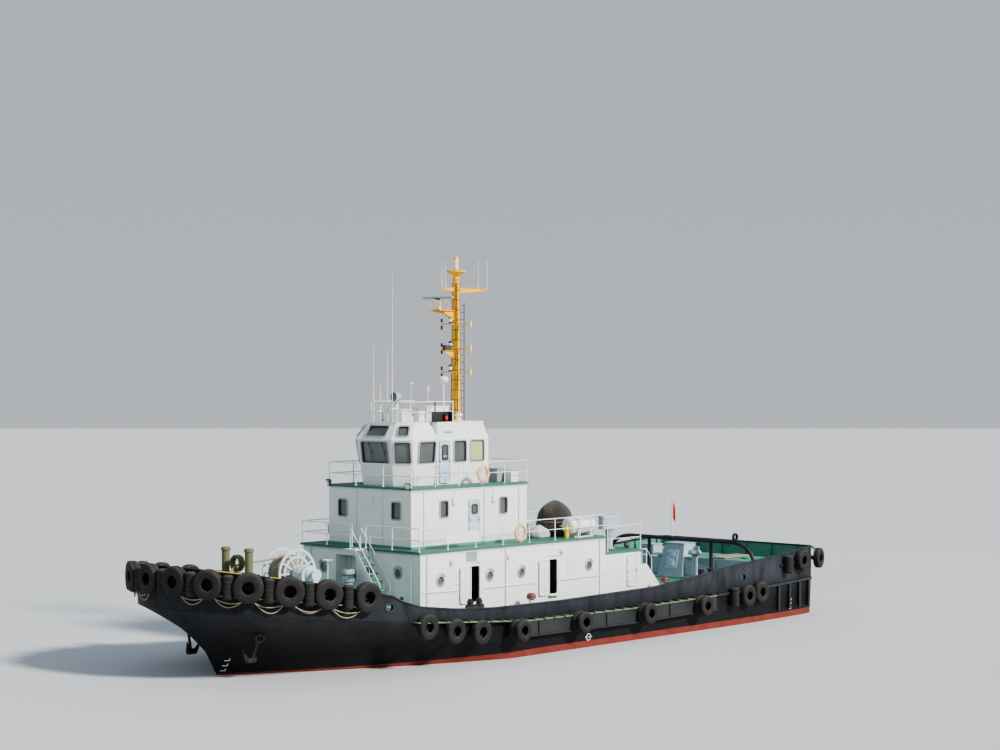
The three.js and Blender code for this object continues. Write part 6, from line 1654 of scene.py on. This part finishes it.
def make_roof_boxes():
    form = Form()
    foot = ROOF + 0.002
    for x0, x1, half, top in ((4, 5.25, 0.45, 9.98), (5.24, 5.6, 0.32, 9.8), (6.25, 6.8, 0.55, 9.88),
            (5.59, 6.3, 0.06, 9.56)):
        form.block(x0, x1, -half, half, foot, top)
    form.block(3.97, 5.23, -0.48, 0.48, 9.94, 9.985)
    form.block(6.22, 6.83, -0.58, 0.58, 9.84, 9.885)
    for side in (-1, 1):
        y = 0.451 * side
        form.ring(rounded(1, 0.44, 0.05), rounded(0.94, 0.38, 0.04), (4.62, y, 9.66), (-side, 0, 0), UP,
            0.012)
        form.tube([(4.2, y, 9.72), (4.2, y * 1.08, 9.72), (4.3, y * 1.08, 9.72), (4.3, y, 9.72)], 0.01, 6, 1,
            bend=0.01)
    louvre(form, (6.525, 0.55, 9.62), (-1, 0, 0), 0.38, 0.28, 6)
    form.lathe([(0.065, 9.86), (0.065, 10.075), (0, 10.08)], (6.56, 0, 0), 20)
    for y in (0.8, -0.8):
        form.lathe([(0.09, 0), (0.09, 0.2), (0.16, 0.2), (0.165, 0.25), (0.1, 0.33), (0, 0.34)],
            (3.75, y, foot))
    form.piece("roof_boxes", "white iron gasket", "white_paint", stands_for="roof_lockers", bevel=0.012)


def make_roof():
    make_roof_boxes()
    rails = Form()
    rail(rails, [(4.45, 1.15), (6.9, 1.15), (7.2, 0.7), (7.2, -0.7), (6.9, -1.15), (4.45, -1.15)], ROOF, 0.82,
        pitch=1.7)
    rails.tube([(5, 1.15, ROOF), (5, 1.15, 10.95)], 0.03, 12)
    rails.lathe([(0, -0.16), (0.1, -0.155), (0.15, -0.11), (0.19, -0.05), (0.21, 0), (0.2, 0.06),
        (0.16, 0.11), (0.09, 0.145), (0, 0.155)], (5, 1.15, 11.08), 28, 4)
    for side, lamp in ((1, 2), (-1, 3)):
        for x0, x1, y0, y1, z0, z1 in (
            (4.98, 5.98, 1.42, 1.45, 0.001, 0.42), (4.98, 5.01, 1.42, 1.64, 0.001, 0.42),
            (5.01, 5.98, 1.42, 1.64, 0.001, 0.03), (5.48, 5.52, 1.14, 1.43, 0.33, 0.37),
            (5.48, 5.52, 1.13, 1.17, 0.001, 0.81),
        ):
            rails.block(x0, x1, y0 * side, y1 * side, ROOF + z0, ROOF + z1, 1)
        for profile, finish in (([(0.085, 0.03), (0.085, 0.1)], 1),
                ([(0.075, 0.1), (0.082, 0.17), (0.075, 0.25)], lamp),
                ([(0.085, 0.25), (0.085, 0.31), (0.03, 0.33)], 1)):
            rails.lathe(profile, (5.25, 1.54 * side, ROOF), 20, finish)
    for y, top in ((0.4, 15.5), (-0.7, 12.5), (0.12, 12.4), (-0.3, 11)):
        rails.lathe([(0.03, ROOF), (0.03, ROOF + 0.8), (0.016, ROOF + 0.9), (0.006, top)], (7.2, y, 0), 10, 4)
    # horn, small aerials and a compass
    rails.lathe([(0.03, 0), (0.03, 0.25), (0.05, 0.34), (0.1, 0.42), (0.09, 0.42), (0, 0.3)],
        (6.95, 0.35, ROOF + 0.55), 20, 4, axis=(1, 0, 0))
    for x, y, low, high, radius in ((6.98, 0.35, 0, 0.55, 0.015), (4.6, -1.15, 0.8, 1.5, 0.012)):
        rails.tube([(x, y, ROOF + low), (x, y, ROOF + high)], radius)
    rails.lathe([(0.07, 0), (0.09, 0.05), (0.05, 0.11), (0, 0.12)], (4.6, -1.15, ROOF + 1.5), 16, 4)
    rails.tube([(5.9, 1.15, ROOF + 0.8), (5.9, 1.15, ROOF + 1.25)], 0.012)
    rails.lathe([(0.05, 0), (0.05, 0.14), (0.03, 0.18)], (5.9, 1.15, ROOF + 1.25), 14, 4)
    rails.piece("roof_rails_and_lamps", "white black red green shell", "white_paint", stands_for="roof_rails",
        sharp=40)

    x, z = 6.56, ROOF + 0.722
    lamp = Form().lathe([(0.07, 0), (0.07, 0.05), (0, 0.06)], (x, 0, z), 20)
    for side in (1, -1):
        fork = ((0, 0.05), (0.235 * side, 0.05), (0.235 * side, 0.29))
        lamp.tube([(x, y, z + dz) for y, dz in fork], 0.016, bend=0.04)
        lamp.tube([(x, 0.25 * side, z + 0.27), (x, 0.17 * side, z + 0.27)], 0.022, 10)
    for profile, finish in (([(0, -0.18), (0.08, -0.178), (0.15, -0.13), (0.185, -0.05), (0.19, 0.14),
            (0.195, 0.18), (0.175, 0.18), (0.165, 0.15)], 0), ([(0.165, 0.152), (0.155, 0.17), (0.08, 0.182),
            (0, 0.186)], 1)):
        lamp.lathe(profile, (x, 0, z + 0.285), 32, finish, axis=(1, 0, 0.08))
    lamp.piece("searchlight_body", "pale_grey glass", "raft_shell", "searchlight", "searchlight", sharp=40)


# After deck
def make_arch():
    x = ARCH_X
    form = Form()
    leg = [(4.35, 1.66), (4.35, 2.6), (4.2, 2.95), (3.9, 3.25), (3.5, 3.42), (3.1, 3.48)]
    form.tube([(x, y, z) for y, z in leg] + [(x, -y, z) for y, z in reversed(leg)], 0.093, 20, bend=0.4)
    for side in (1, -1):
        form.tube([(x, 1.85 * side, 1.66), (x, 1.85 * side, 3.45)], 0.083, 18)
        brace = ((4.33, 2.5), (4.02, 2.25), (4.02, 1.66))
        form.tube([(x, y * side, z) for y, z in brace], 0.034, 10, bend=0.08)
        for y in (4.35, 1.85, 4.02):
            form.lathe([(0.15, 1.655), (0.15, 1.675)], (x, y * side, 0), 20)
        eye = ((2.7, 3.42), (2.7, 3.3), (2.95, 3.3), (2.95, 3.42))
        form.tube([(x, y * side, z) for y, z in eye], 0.018, bend=0.04)
    form.lathe([(0.11, -0.06), (0.17, -0.06), (0.19, -0.03), (0.19, 0.03), (0.17, 0.06), (0.11, 0.06),
        (0.11, -0.06)], (x, 3.25, 3.73), 28, axis=(0, 1, 0))
    form.tube([(x, -0.45, 3.5), (x, -0.45, 5.36)], 0.027, 12, 1)
    form.lathe([(0.045, 0), (0.045, 0.01), (0, 0.02)], (x, -0.45, 5.36), 14, 1)
    form.tube([(x + 0.03, -0.42, 3.6), (x + 0.035, -0.41, 4.4), (x + 0.03, -0.42, 5.33)], 0.004, 5, 2)
    form.piece("after_arch", "black white rope", "black_paint", stands_for="towing_arch", sharp=40)


def cloth_piece(form, name, finish, thickness, slot, stands_for, **modifiers):
    """A thin sheet given its thickness, and smoothed where that is asked."""
    mesh = form.mesh(name, materials_of(finish), 80)
    thing = into_scene(bpy.data.objects.new(name, mesh))
    thick = thing.modifiers.new("Cloth", "SOLIDIFY")
    thick.thickness = thickness
    if modifiers.get("hung"):
        thick.offset = 0
    else:
        folds = thing.modifiers.new("Folds", "SUBSURF")
        folds.levels = folds.render_levels = 1
    settle(thing, BOAT, stands_for)
    return thing, sum(face.area for face in mesh.polygons)


def make_flag():
    """The slack red flag: a cloth that hangs from its staff in upright folds."""
    across, down, tall = 34, 46, 0.8
    rows = []
    for v in (j / down for j in range(down + 1)):
        row = []
        for u in (i / across for i in range(across + 1)):
            fold = sin(u * 15 + v * 1.6) * 0.042 * min(1, u * 4) * (0.55 + 0.45 * v)
            swing = sin(u * 8 - v * 2.2) * 0.02 * u
            row.append((ARCH_X - 0.031 - 0.205 * u ** 0.9 * (1 - 0.18 * v) + swing * 0.3, fold - 0.45,
                5.31 - v * tall * (1 - 0.08 * u) - 0.36 * u * (1 - 0.3 * v) - u * 0.09))
        rows.append(row)
    form = Form().loft(rows, closed=False, capped=False)
    thing, area = cloth_piece(form, "flag_cloth", "flag", 0.003, "red_fabric", "flag", hung=True)


def make_trunk():
    form, gear, leaf = Form(), Form(), Form()
    fore, aft, half, top = -12.72, -15.3, 4, 2.56
    low = lambda x: deck_height(x) + 0.022
    form.loft([[(x, -half, low(x)), (x, half, low(x)), (x, half, top), (x, -half, top)] for x in (fore, aft)])
    form.plate([(aft, -half), (fore, -half), (fore, half), (aft, half)], (0, 0, top), (1, 0, 0), (0, 1, 0),
        0.006, 1)
    form.cheek([(0.02, top - 0.05), (0.02, top + 0.02), (-0.03, top + 0.02), (-0.03, top - 0.05)], fore,
        -half, half)
    for y in (-3.4, -2.3, 0.5, 1.6, 2.7, 3.7):
        form.block(fore, fore + 0.03, y - 0.02, y + 0.02, low(fore), top - 0.05)
    for x, y, r in ((-14, 2.6, 0.32), (-14.4, -2.9, 0.32), (-14.1, 0.6, 0.28)):
        form.lathe([(r, 0), (r, 0.07), (r - 0.04, 0.09), (0.05, 0.11)], (x, y, top + 0.006), 28, 1)
    form.loft([[(x, y, low(x)) for x, y, _ in hood_ring(1.66, 0)], hood_ring(1.9, 0), hood_ring(3.16, 0)])
    spread = ((0.03, -0.03), (0.03, 0.03), (-0.03, 0.03), (-0.03, -0.03))
    form.loft([[(x + dx, y + dy, z) for (x, y, _), (dx, dy) in zip(hood_ring(3.16, 0), spread)]
        for z in (3.16, 3.185)])
    thing = form.piece("trunk_and_hood", "grey bulwark_green", "grey_paint", stands_for="aft_trunk")
    base = Matrix.Translation((-12.45, -0.9, 1.64)) @ Matrix.Rotation(-atan2(0.4, 1.53), 4, "Y")
    combine(thing, Form().loft([hood_ring(1.8, 0.06), hood_ring(3.11, 0.06)], 1))
    combine(thing, Form().block(-0.25, 0.1, -0.3, 0.3, 0.35, 1.25, matrix=base))
    add_bevel(thing, 0.012, harden_normals=True)
    leaf.loft([[base @ xyz(d, a, b + 0.8) for a, b in rounded(0.655, 0.935, 0.1)] for d in (0.006, 0.034)])
    for b, w, h in ((1.05, 0.42, 0.26), (0.6, 0.42, 0.4)):
        leaf.loft([[base @ xyz(d, p, q + b) for p, q in rounded(w * s, h * s, 0.05)]
            for d, s in ((0.03, 1), (0.046, 0.9))])
    for a, b in ((0.29, 0.5), (0.29, 1.1), (-0.29, 0.55), (-0.29, 1.05)):
        leaf.block(0.03, 0.05, a - 0.03, a + 0.03, b - 0.02, b + 0.02, 1, base)
    grip = ((0.034, 0.74), (0.08, 0.74), (0.08, 0.86), (0.034, 0.86))
    leaf.tube([base @ xyz(d, 0.22, z) for d, z in grip], 0.01, 8, 1, bend=0.02)
    leaf.piece("hood_door_leaf", "door iron", "grey_paint", "hood_door", "hood_door", bevel=0.004)
    gear.block(-14.7, -13.95, -3.4, -2.95, top + 0.12, top + 0.24)
    for y in (1.05 + 0.24 * k for k in range(4)):
        gear.block(-15.1, -13, y, y + 0.19, top + 0.03, top + 0.085)
    for x in (-14.9, -13.2):
        gear.block(x - 0.05, x + 0.05, 1, 2.05, top + 0.006, top + 0.03)
    gear.block(-13.9, -13.2, -3.3, -2.5, top + 0.01, top + 0.42, 1)
    gear.block(-13.93, -13.17, -3.33, -2.47, top + 0.4, top + 0.45, 1)
    gear.piece("trunk_timber_and_box", "rope grey", "grey_paint", bevel=0.01)


def hood_ring(z, inset):
    share = (z - 1.64) / 1.53
    fore, aft = -12.45 - 0.4 * share - inset, -13.7 + inset
    half = 0.75 - 0.17 * share - inset
    return [(fore, -0.9 - half, z), (fore, -0.9 + half, z), (aft, -0.9 + half, z), (aft, -0.9 - half, z)]


def make_ventilators():
    x, y = -4.04, 2.4
    levels = ((4.53, 0), (4.6, 0), (4.61, 0.012), (5, 0.012), (5.01, 0), (5.08, 0), (5.12, 0.03), (5.14, 0.1))
    for side_name, side in SIDES:
        form = Form()
        form.lathe([(0.26, 3.652), (0.26, 3.69), (0.185, 3.7), (0.176, 3.74), (0.176, 4.33), (0.2, 4.4),
            (0.262, 4.531)], (x, y, 0), 32)
        form.loft([[(x + a, y + b, z) for a, b in rounded(1.12 - 2 * inset, 0.57 - 2 * inset, 0.284 - inset,
            10)] for z, inset in levels])
        for s in (1, -1):
            form.tube([(x + 0.15 * s, y, 5.135), (x + 0.15 * s, y, 5.16), (x + 0.02 * s, y, 5.16)], 0.012, 6,
                bend=0.01)
        form.bolts([(0.014, 0), (0.014, 0.015), (0, 0.017)], (x, y, 3.69), 0.225, 8, 2)
        form.mirrored(side).piece(f"vent_head_{side_name}", "pale_grey shade iron", "white_paint",
            stands_for=f"ventilator_{side_name}", bevel=0.012, sharp=40)


def make_rafts():
    x, y, z = -1.4, 2.95, 4.85
    foot, end = BOAT_DECK + 0.002, [(0.368, 0.62), (0.345, 0.71), (0.28, 0.77), (0.18, 0.795), (0, 0.8)]
    profile = [(r, -h) for r, h in end[::-1]]
    for k in (-0.42, -0.16, 0.16, 0.42):
        profile += [(0.368, k - 0.03), (0.358, k - 0.02), (0.358, k + 0.02), (0.368, k + 0.03)]
    saddle = [(y + 0.382 * cos(a), z + 0.382 * sin(a)) for a in (radians(200 + 14 * k) for k in range(11))]
    for side_name, side in SIDES:
        form = Form().lathe(profile + end, (x, y, z), 40, axis=(1, 0, 0))
        form.block(x - 0.8, x + 0.8, y - 0.384, y + 0.384, z - 0.022, z + 0.022)
        for px in (x - 0.4, x + 0.4):
            torus(form, (px, y, z), (1, 0, 0), 0.366, 0.012, 40, 6, 1)
            form.loft([[(px + s, a, b) for a, b in saddle + [(y + 0.33, foot), (y - 0.33, foot)]]
                for s in (-0.03, 0.03)], 2)
        for py in (y - 0.28, y + 0.28):
            form.block(x - 0.6, x + 0.6, py - 0.025, py + 0.025, foot, BOAT_DECK + 0.05, 2)
        form.mirrored(side).piece(f"raft_canister_{side_name}", "shell gasket white", "raft_shell",
            stands_for=f"liferaft_{side_name}", bevel=0.006, sharp=40)


def make_bundle():
    """A folded white cover laid in a soft heap before the dark one."""
    x, y, floor = 0.08, 1.98, BOAT_DECK + 0.004
    rings = []
    for dz, share in ((0, 0.84), (0.03, 0.94), (0.09, 1), (0.17, 0.99), (0.25, 0.92), (0.33, 0.8),
            (0.4, 0.63), (0.45, 0.42), (0.48, 0.2)):
        ring = []
        for a in turns(80):
            wave = 1 + 0.035 * sin(a * 7 + dz * 9) + 0.03 * sin(a * 3 + 1.1 + dz * 4)
            wave += 0.015 * sin(a * 17 + dz * 30)
            r = share * wave * (abs(cos(a)) ** 3.2 + abs(sin(a)) ** 3.2) ** (-1 / 3.2)
            rise = dz * (1 + 0.1 * sin(a * 2 + 0.7) + 0.03 * sin(a * 9))
            ring.append((x + 0.47 * r * cos(a), y + 0.4 * r * sin(a), floor + rise))
        rings.append(ring)
    form = Form().loft(rings, capped=False)
    form.close_to((x, y, BOAT_DECK + 0.495), len(form.points) - 80, 80)
    form.close_to((x, y, floor), 0, 80, -1)
    form.piece("white_bundle", "bundle", "tarpaulin", sharp=80)


def make_cover():
    """The gear under its dark cover: a cloth laid over it, with folds that fall from the shoulders."""
    x, y = -1.3, 1.66
    rings = []
    for dz, r in ((0.01, 0.8), (0.1, 0.815), (0.25, 0.82), (0.42, 0.82), (0.6, 0.81), (0.85, 0.77),
            (1.02, 0.71), (1.2, 0.59), (1.33, 0.44), (1.42, 0.31), (1.47, 0.2), (1.495, 0.09)):
        fall, ring = 1 - dz / 1.5, []
        for a in turns(96):
            crease = abs(sin(a * 3.5 + 0.6 * sin(a * 2 + dz * 1.2))) ** 0.6
            fold = (0.045 * crease + 0.018 * sin(a * 11 + dz * 3)) * fall
            fold += 0.025 * sin(a * 5 + 1.3) * (0.3 + fall)
            reach = r - 0.03 + fold - (0.03 if 0.5 < dz < 0.7 else 0)
            ring.append((x + reach * cos(a) * (1 + 0.02 * sin(2 * a)), y + reach * sin(a),
                BOAT_DECK + 0.004 + dz + 0.015 * sin(a * 3 + 2) * (dz / 1.5)))
        rings.append(ring)
    form = Form().loft(rings, capped=False)
    form.close_to((x, y, BOAT_DECK + 1.5), len(form.points) - 96, 96)
    thing, area = cloth_piece(form, "gear_cover", "cover", 0.004, "tarpaulin", "covered_gear")
    make_bundle()
    loop = [(x + 0.845 * cos(a), y + 0.845 * sin(a), BOAT_DECK + 0.6 + 0.02 * sin(3 * a)) for a in turns(72)]
    Form().tube(loop, 0.012, 6, loop=True).piece("cover_lashing", "rope", "tarpaulin", sharp=60)


# Under water
def make_propeller(side_name, side, x, y, z):
    screw = Form()
    screw.lathe([(0, -0.33), (0.06, -0.32), (0.11, -0.28), (0.16, -0.17), (0.19, -0.06), (0.213, -0.003)],
        (x, y, z), 28, axis=(1, 0, 0))
    stations = ((0.12, 0.2, 62), (0.25, 0.32, 52), (0.42, 0.44, 40), (0.6, 0.52, 32), (0.76, 0.5, 27),
        (0.86, 0.38, 24), (0.915, 0.16, 23))
    section = ((-0.5, 0), (-0.3, 0.03), (0, 0.045), (0.3, 0.03), (0.5, 0), (0.3, -0.012), (0, -0.018),
        (-0.3, -0.012))
    for turn in turns(4, pi / 4):
        place = Matrix.Translation((x, y, z)) @ Matrix.Rotation(turn, 4, "X")
        screw.loft([[place @ xyz(-0.13 + s * chord * sin(radians(pitch)) * 0.55 + t * (1.1 - r),
            s * chord * cos(radians(pitch)), r) for s, t in section] for r, chord, pitch in stations])
    screw.mirrored(side).piece(f"propeller_blades_{side_name}", "bronze", "bronze", f"propeller_{side_name}",
        f"propeller_{side_name}", sharp=50)


def make_thrusters():
    x, y, z = THRUSTER_X, THRUSTER_Y, -2.95
    for side_name, side in SIDES:
        form = Form()
        form.lathe([(0.62, -1.18), (0.62, -1.082)], (x, y, 0), 40)
        form.lathe([(0.2, z + 0.1), (0.225, z + 0.4), (0.225, -1.16)], (x, y, 0), 32)
        form.lathe([(0, -0.48), (0.2, -0.47), (0.24, -0.4), (0.27, -0.1), (0.265, 0.1), (0.25, 0.3),
            (0.17, 0.48), (0, 0.62)], (x + 0.24, y, z), 32, axis=(1, 0, 0))
        form.lathe([(1.01, -0.42), (1.05, -0.425), (1.09, -0.42), (1.12, -0.2), (1.13, -0.06), (1.12, 0.1),
            (1.08, 0.42), (1.02, 0.44), (0.98, 0.15), (0.975, 0), (0.99, -0.2), (1.01, -0.42)],
            (x - 0.25, y, z), 64, axis=(1, 0, 0))
        form.block(x - 0.18, x + 0.13, y - 0.045, y + 0.045, z - 1.04, z - 0.15)
        form.block(x - 0.18, x + 0.13, y - 0.13, y + 0.13, z + 0.15, z + 1.03)
        form.bolts([(0.022, -1.19), (0.022, -1.178)], (x, y, 0), 0.56, 16)
        form.mirrored(side).piece(f"thruster_unit_{side_name}", "hull", "galvanised", f"thruster_{side_name}",
            f"thruster_{side_name}", bevel=0.008, sharp=40)
        make_propeller(side_name, side, x - 0.24, y, z)


# Finishes of the frame's own solids, and of what is laid on them
KEPT_FINISH = {
    "main_deck": "fore_deck main_deck",
    "deck": "boat_deck bridge_deck",
    "white": "deckhouse after_house crew_cabin wheelhouse wheelhouse_roof",
}


def finish_kept_solids():
    for finish, names in KEPT_FINISH.items():
        for name in names.split():
            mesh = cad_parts[name].data
            mesh.materials.clear()
            mesh.materials.append(FINISHES[finish])


# Stage
def make_stage(settings):
    scene = bpy.context.scene
    camera = bpy.data.cameras.new("Photo_camera")
    camera.lens, camera.sensor_width, camera.shift_y, camera.clip_end = settings.lens, 36, settings.shift, 400
    scene.camera = into_scene(bpy.data.objects.new("Photo_camera", camera))
    right = xyz(-0.682, 0.731, 0).normalized()
    turn = Matrix((right, UP, right.cross(UP).normalized())).transposed().to_4x4()
    scene.camera.matrix_world = Matrix.Translation(settings.eye) @ turn

    floor = bpy.data.meshes.new("Pale_floor")
    floor.from_pydata([(-400, -400, 0), (400, -400, 0), (400, 400, 0), (-400, 400, 0)], [], [(0, 1, 2, 3)])
    s = Shade("pale floor")
    tint = s.mix(s.noise(0.05, 2), (0.6, 0.62, 0.63), (0.66, 0.68, 0.69))
    floor.materials.append(s.finish(tint, s.noise(0.2, 2) * 0.1 + 0.75))
    into_scene(bpy.data.objects.new("Pale_floor", floor))

    world = bpy.data.worlds.new("Soft_sky")
    world.use_nodes = True
    scene.world = world
    nodes = world.node_tree.nodes
    sky = nodes["Background"]
    place, split, ramp, mix = (nodes.new("ShaderNode" + kind)
        for kind in ("TexCoord", "SeparateXYZ", "MapRange", "Mix"))
    mix.data_type = "RGBA"
    for start, end in ((place.outputs[0], split.inputs[0]), (split.outputs[2], ramp.inputs[0]),
            (ramp.outputs[0], mix.inputs[0]), (mix.outputs[2], sky.inputs[0])):
        world.node_tree.links.new(start, end)
    for socket, value in ((ramp.inputs[1], -0.1), (ramp.inputs[2], 0.8),
            (mix.inputs[6], (0.8, 0.83, 0.86, 1)), (mix.inputs[7], (0.52, 0.62, 0.76, 1)),
            (sky.inputs[1], settings.sky)):
        socket.default_value = value

    for name, power, size, spot, tint in (
        ("Sun_side", settings.sun, None, (-8, 60, 42), (1, 0.96, 0.9)),
        ("Bow_fill", 2200, 30, (60, 15, 26), (0.88, 0.92, 1)),
        ("Stern_fill", 900, 30, (-45, 20, 25), (0.9, 0.94, 1)),
    ):
        data = bpy.data.lights.new(name, "AREA" if size else "SUN")
        data.energy, data.color = power, tint
        if size:
            data.size = size
        else:
            data.angle = radians(8)
        aim = (xyz(1, 0, 4) - Vector(spot)).to_track_quat("-Z", "Y").to_matrix().to_4x4()
        into_scene(bpy.data.objects.new(name, data)).matrix_world = Matrix.Translation(spot) @ aim
    view = scene.view_settings
    view.view_transform, view.look, view.exposure = "AgX", "AgX - Medium High Contrast", settings.exposure


class TugboatSettings(bpy.types.PropertyGroup):
    """Sizes and light of the scene"""

    eye: bpy.props.FloatVectorProperty(name="Eye", description="Place of the camera",
        default=(67.07, 62.23, 11.6), subtype="XYZ", unit="LENGTH")
    lens: bpy.props.FloatProperty(name="Lens", description="Focal length", default=76.32, unit="CAMERA")
    shift: bpy.props.FloatProperty(name="Shift", description="Upright shift of the lens", default=-0.008)
    sun: bpy.props.FloatProperty(name="Sun", description="Strength of the light from the port side",
        default=4.8)
    sky: bpy.props.FloatProperty(name="Sky", description="Strength of the soft sky", default=0.62)
    exposure: bpy.props.FloatProperty(name="Exposure", description="Exposure of the picture", default=0)
    seed: bpy.props.IntProperty(name="Seed", description="Seed of the small irregularities", default=7)


class TUGBOAT_OT_stage(bpy.types.Operator):
    """Set up the camera, the floor, the soft light and the finishes"""

    bl_idname = "tugboat.stage"
    bl_label = "Stage and finishes"
    bl_options = {"REGISTER", "UNDO"}

    def execute(self, context):
        make_stage(context.scene.tugboat)
        mix_finishes()
        finish_kept_solids()
        return {"FINISHED"}


class TUGBOAT_OT_hull(bpy.types.Operator):
    """Build the hull, its marks, the bulwarks and the deck fittings"""

    bl_idname = "tugboat.hull"
    bl_label = "Hull and bulwarks"
    bl_options = {"REGISTER", "UNDO"}

    def execute(self, context):
        make_hull()
        make_bulwarks()
        make_bitts()
        make_deck_vents()
        make_hatches()
        return {"FINISHED"}


class TUGBOAT_OT_fenders(bpy.types.Operator):
    """Hang the tyres, rolls, strakes and anchors"""

    bl_idname = "tugboat.fenders"
    bl_label = "Fenders and anchors"
    bl_options = {"REGISTER", "UNDO"}

    def execute(self, context):
        rng = random.Random(context.scene.tugboat.seed)
        make_bow_fenders(rng)
        make_side_fenders(rng)
        make_anchors()
        return {"FINISHED"}


class TUGBOAT_OT_houses(bpy.types.Operator):
    """Fit windows, doors and pipes to the houses"""

    bl_idname = "tugboat.houses"
    bl_label = "Houses"
    bl_options = {"REGISTER", "UNDO"}

    def execute(self, context):
        make_house_windows()
        make_wheelhouse_windows()
        make_doors()
        make_house_fittings()
        return {"FINISHED"}


class TUGBOAT_OT_rails(bpy.types.Operator):
    """Build the guard rails, the stair and what hangs on the rails"""

    bl_idname = "tugboat.rails"
    bl_label = "Rails and stair"
    bl_options = {"REGISTER", "UNDO"}

    def execute(self, context):
        make_rails()
        make_rail_gear()
        make_ladder()
        return {"FINISHED"}


class TUGBOAT_OT_foredeck(bpy.types.Operator):
    """Build the winch with its wound line and the tow bitt"""

    bl_idname = "tugboat.foredeck"
    bl_label = "Winch and tow bitt"
    bl_options = {"REGISTER", "UNDO"}

    def execute(self, context):
        make_winch()
        make_tow_bitt()
        return {"FINISHED"}


class TUGBOAT_OT_mast(bpy.types.Operator):
    """Build the mast, the radar and the gear on the wheelhouse roof"""

    bl_idname = "tugboat.mast"
    bl_label = "Mast and roof gear"
    bl_options = {"REGISTER", "UNDO"}

    def execute(self, context):
        make_mast()
        make_roof()
        return {"FINISHED"}


class TUGBOAT_OT_afterdeck(bpy.types.Operator):
    """Build the arch, flag, trunk, ventilators, rafts and the covered gear"""

    bl_idname = "tugboat.afterdeck"
    bl_label = "After deck"
    bl_options = {"REGISTER", "UNDO"}

    def execute(self, context):
        make_arch()
        make_flag()
        make_trunk()
        make_ventilators()
        make_rafts()
        make_cover()
        return {"FINISHED"}


class TUGBOAT_OT_drive(bpy.types.Operator):
    """Build the steering thrusters and propellers"""

    bl_idname = "tugboat.drive"
    bl_label = "Thrusters"
    bl_options = {"REGISTER", "UNDO"}

    def execute(self, context):
        make_thrusters()
        return {"FINISHED"}


STEPS = (
    TUGBOAT_OT_stage, TUGBOAT_OT_hull, TUGBOAT_OT_fenders, TUGBOAT_OT_houses, TUGBOAT_OT_rails,
    TUGBOAT_OT_foredeck, TUGBOAT_OT_mast, TUGBOAT_OT_afterdeck, TUGBOAT_OT_drive,
)


class TUGBOAT_PT_panel(bpy.types.Panel):
    """The steps of the making and its settings"""

    bl_idname = "TUGBOAT_PT_panel"
    bl_label = "Tugboat"
    bl_space_type = "VIEW_3D"
    bl_region_type = "UI"
    bl_category = "Tugboat"

    def draw(self, context):
        for name in ("eye", "lens", "shift", "sun", "sky", "exposure", "seed"):
            self.layout.prop(context.scene.tugboat, name)
        for step in STEPS:
            self.layout.operator(step.bl_idname)


CLASSES = (TugboatSettings, *STEPS, TUGBOAT_PT_panel)


def register():
    for item in CLASSES:
        bpy.utils.register_class(item)
    bpy.types.Scene.tugboat = bpy.props.PointerProperty(type=TugboatSettings)


def unregister():
    del bpy.types.Scene.tugboat
    for item in reversed(CLASSES):
        bpy.utils.unregister_class(item)


def main():
    register()
    bpy.ops.tugboat.stage()
    bpy.ops.tugboat.hull()
    bpy.ops.tugboat.fenders()
    bpy.ops.tugboat.houses()
    bpy.ops.tugboat.rails()
    bpy.ops.tugboat.foredeck()
    bpy.ops.tugboat.mast()
    bpy.ops.tugboat.afterdeck()
    bpy.ops.tugboat.drive()


if __name__ == "__main__":
    main()
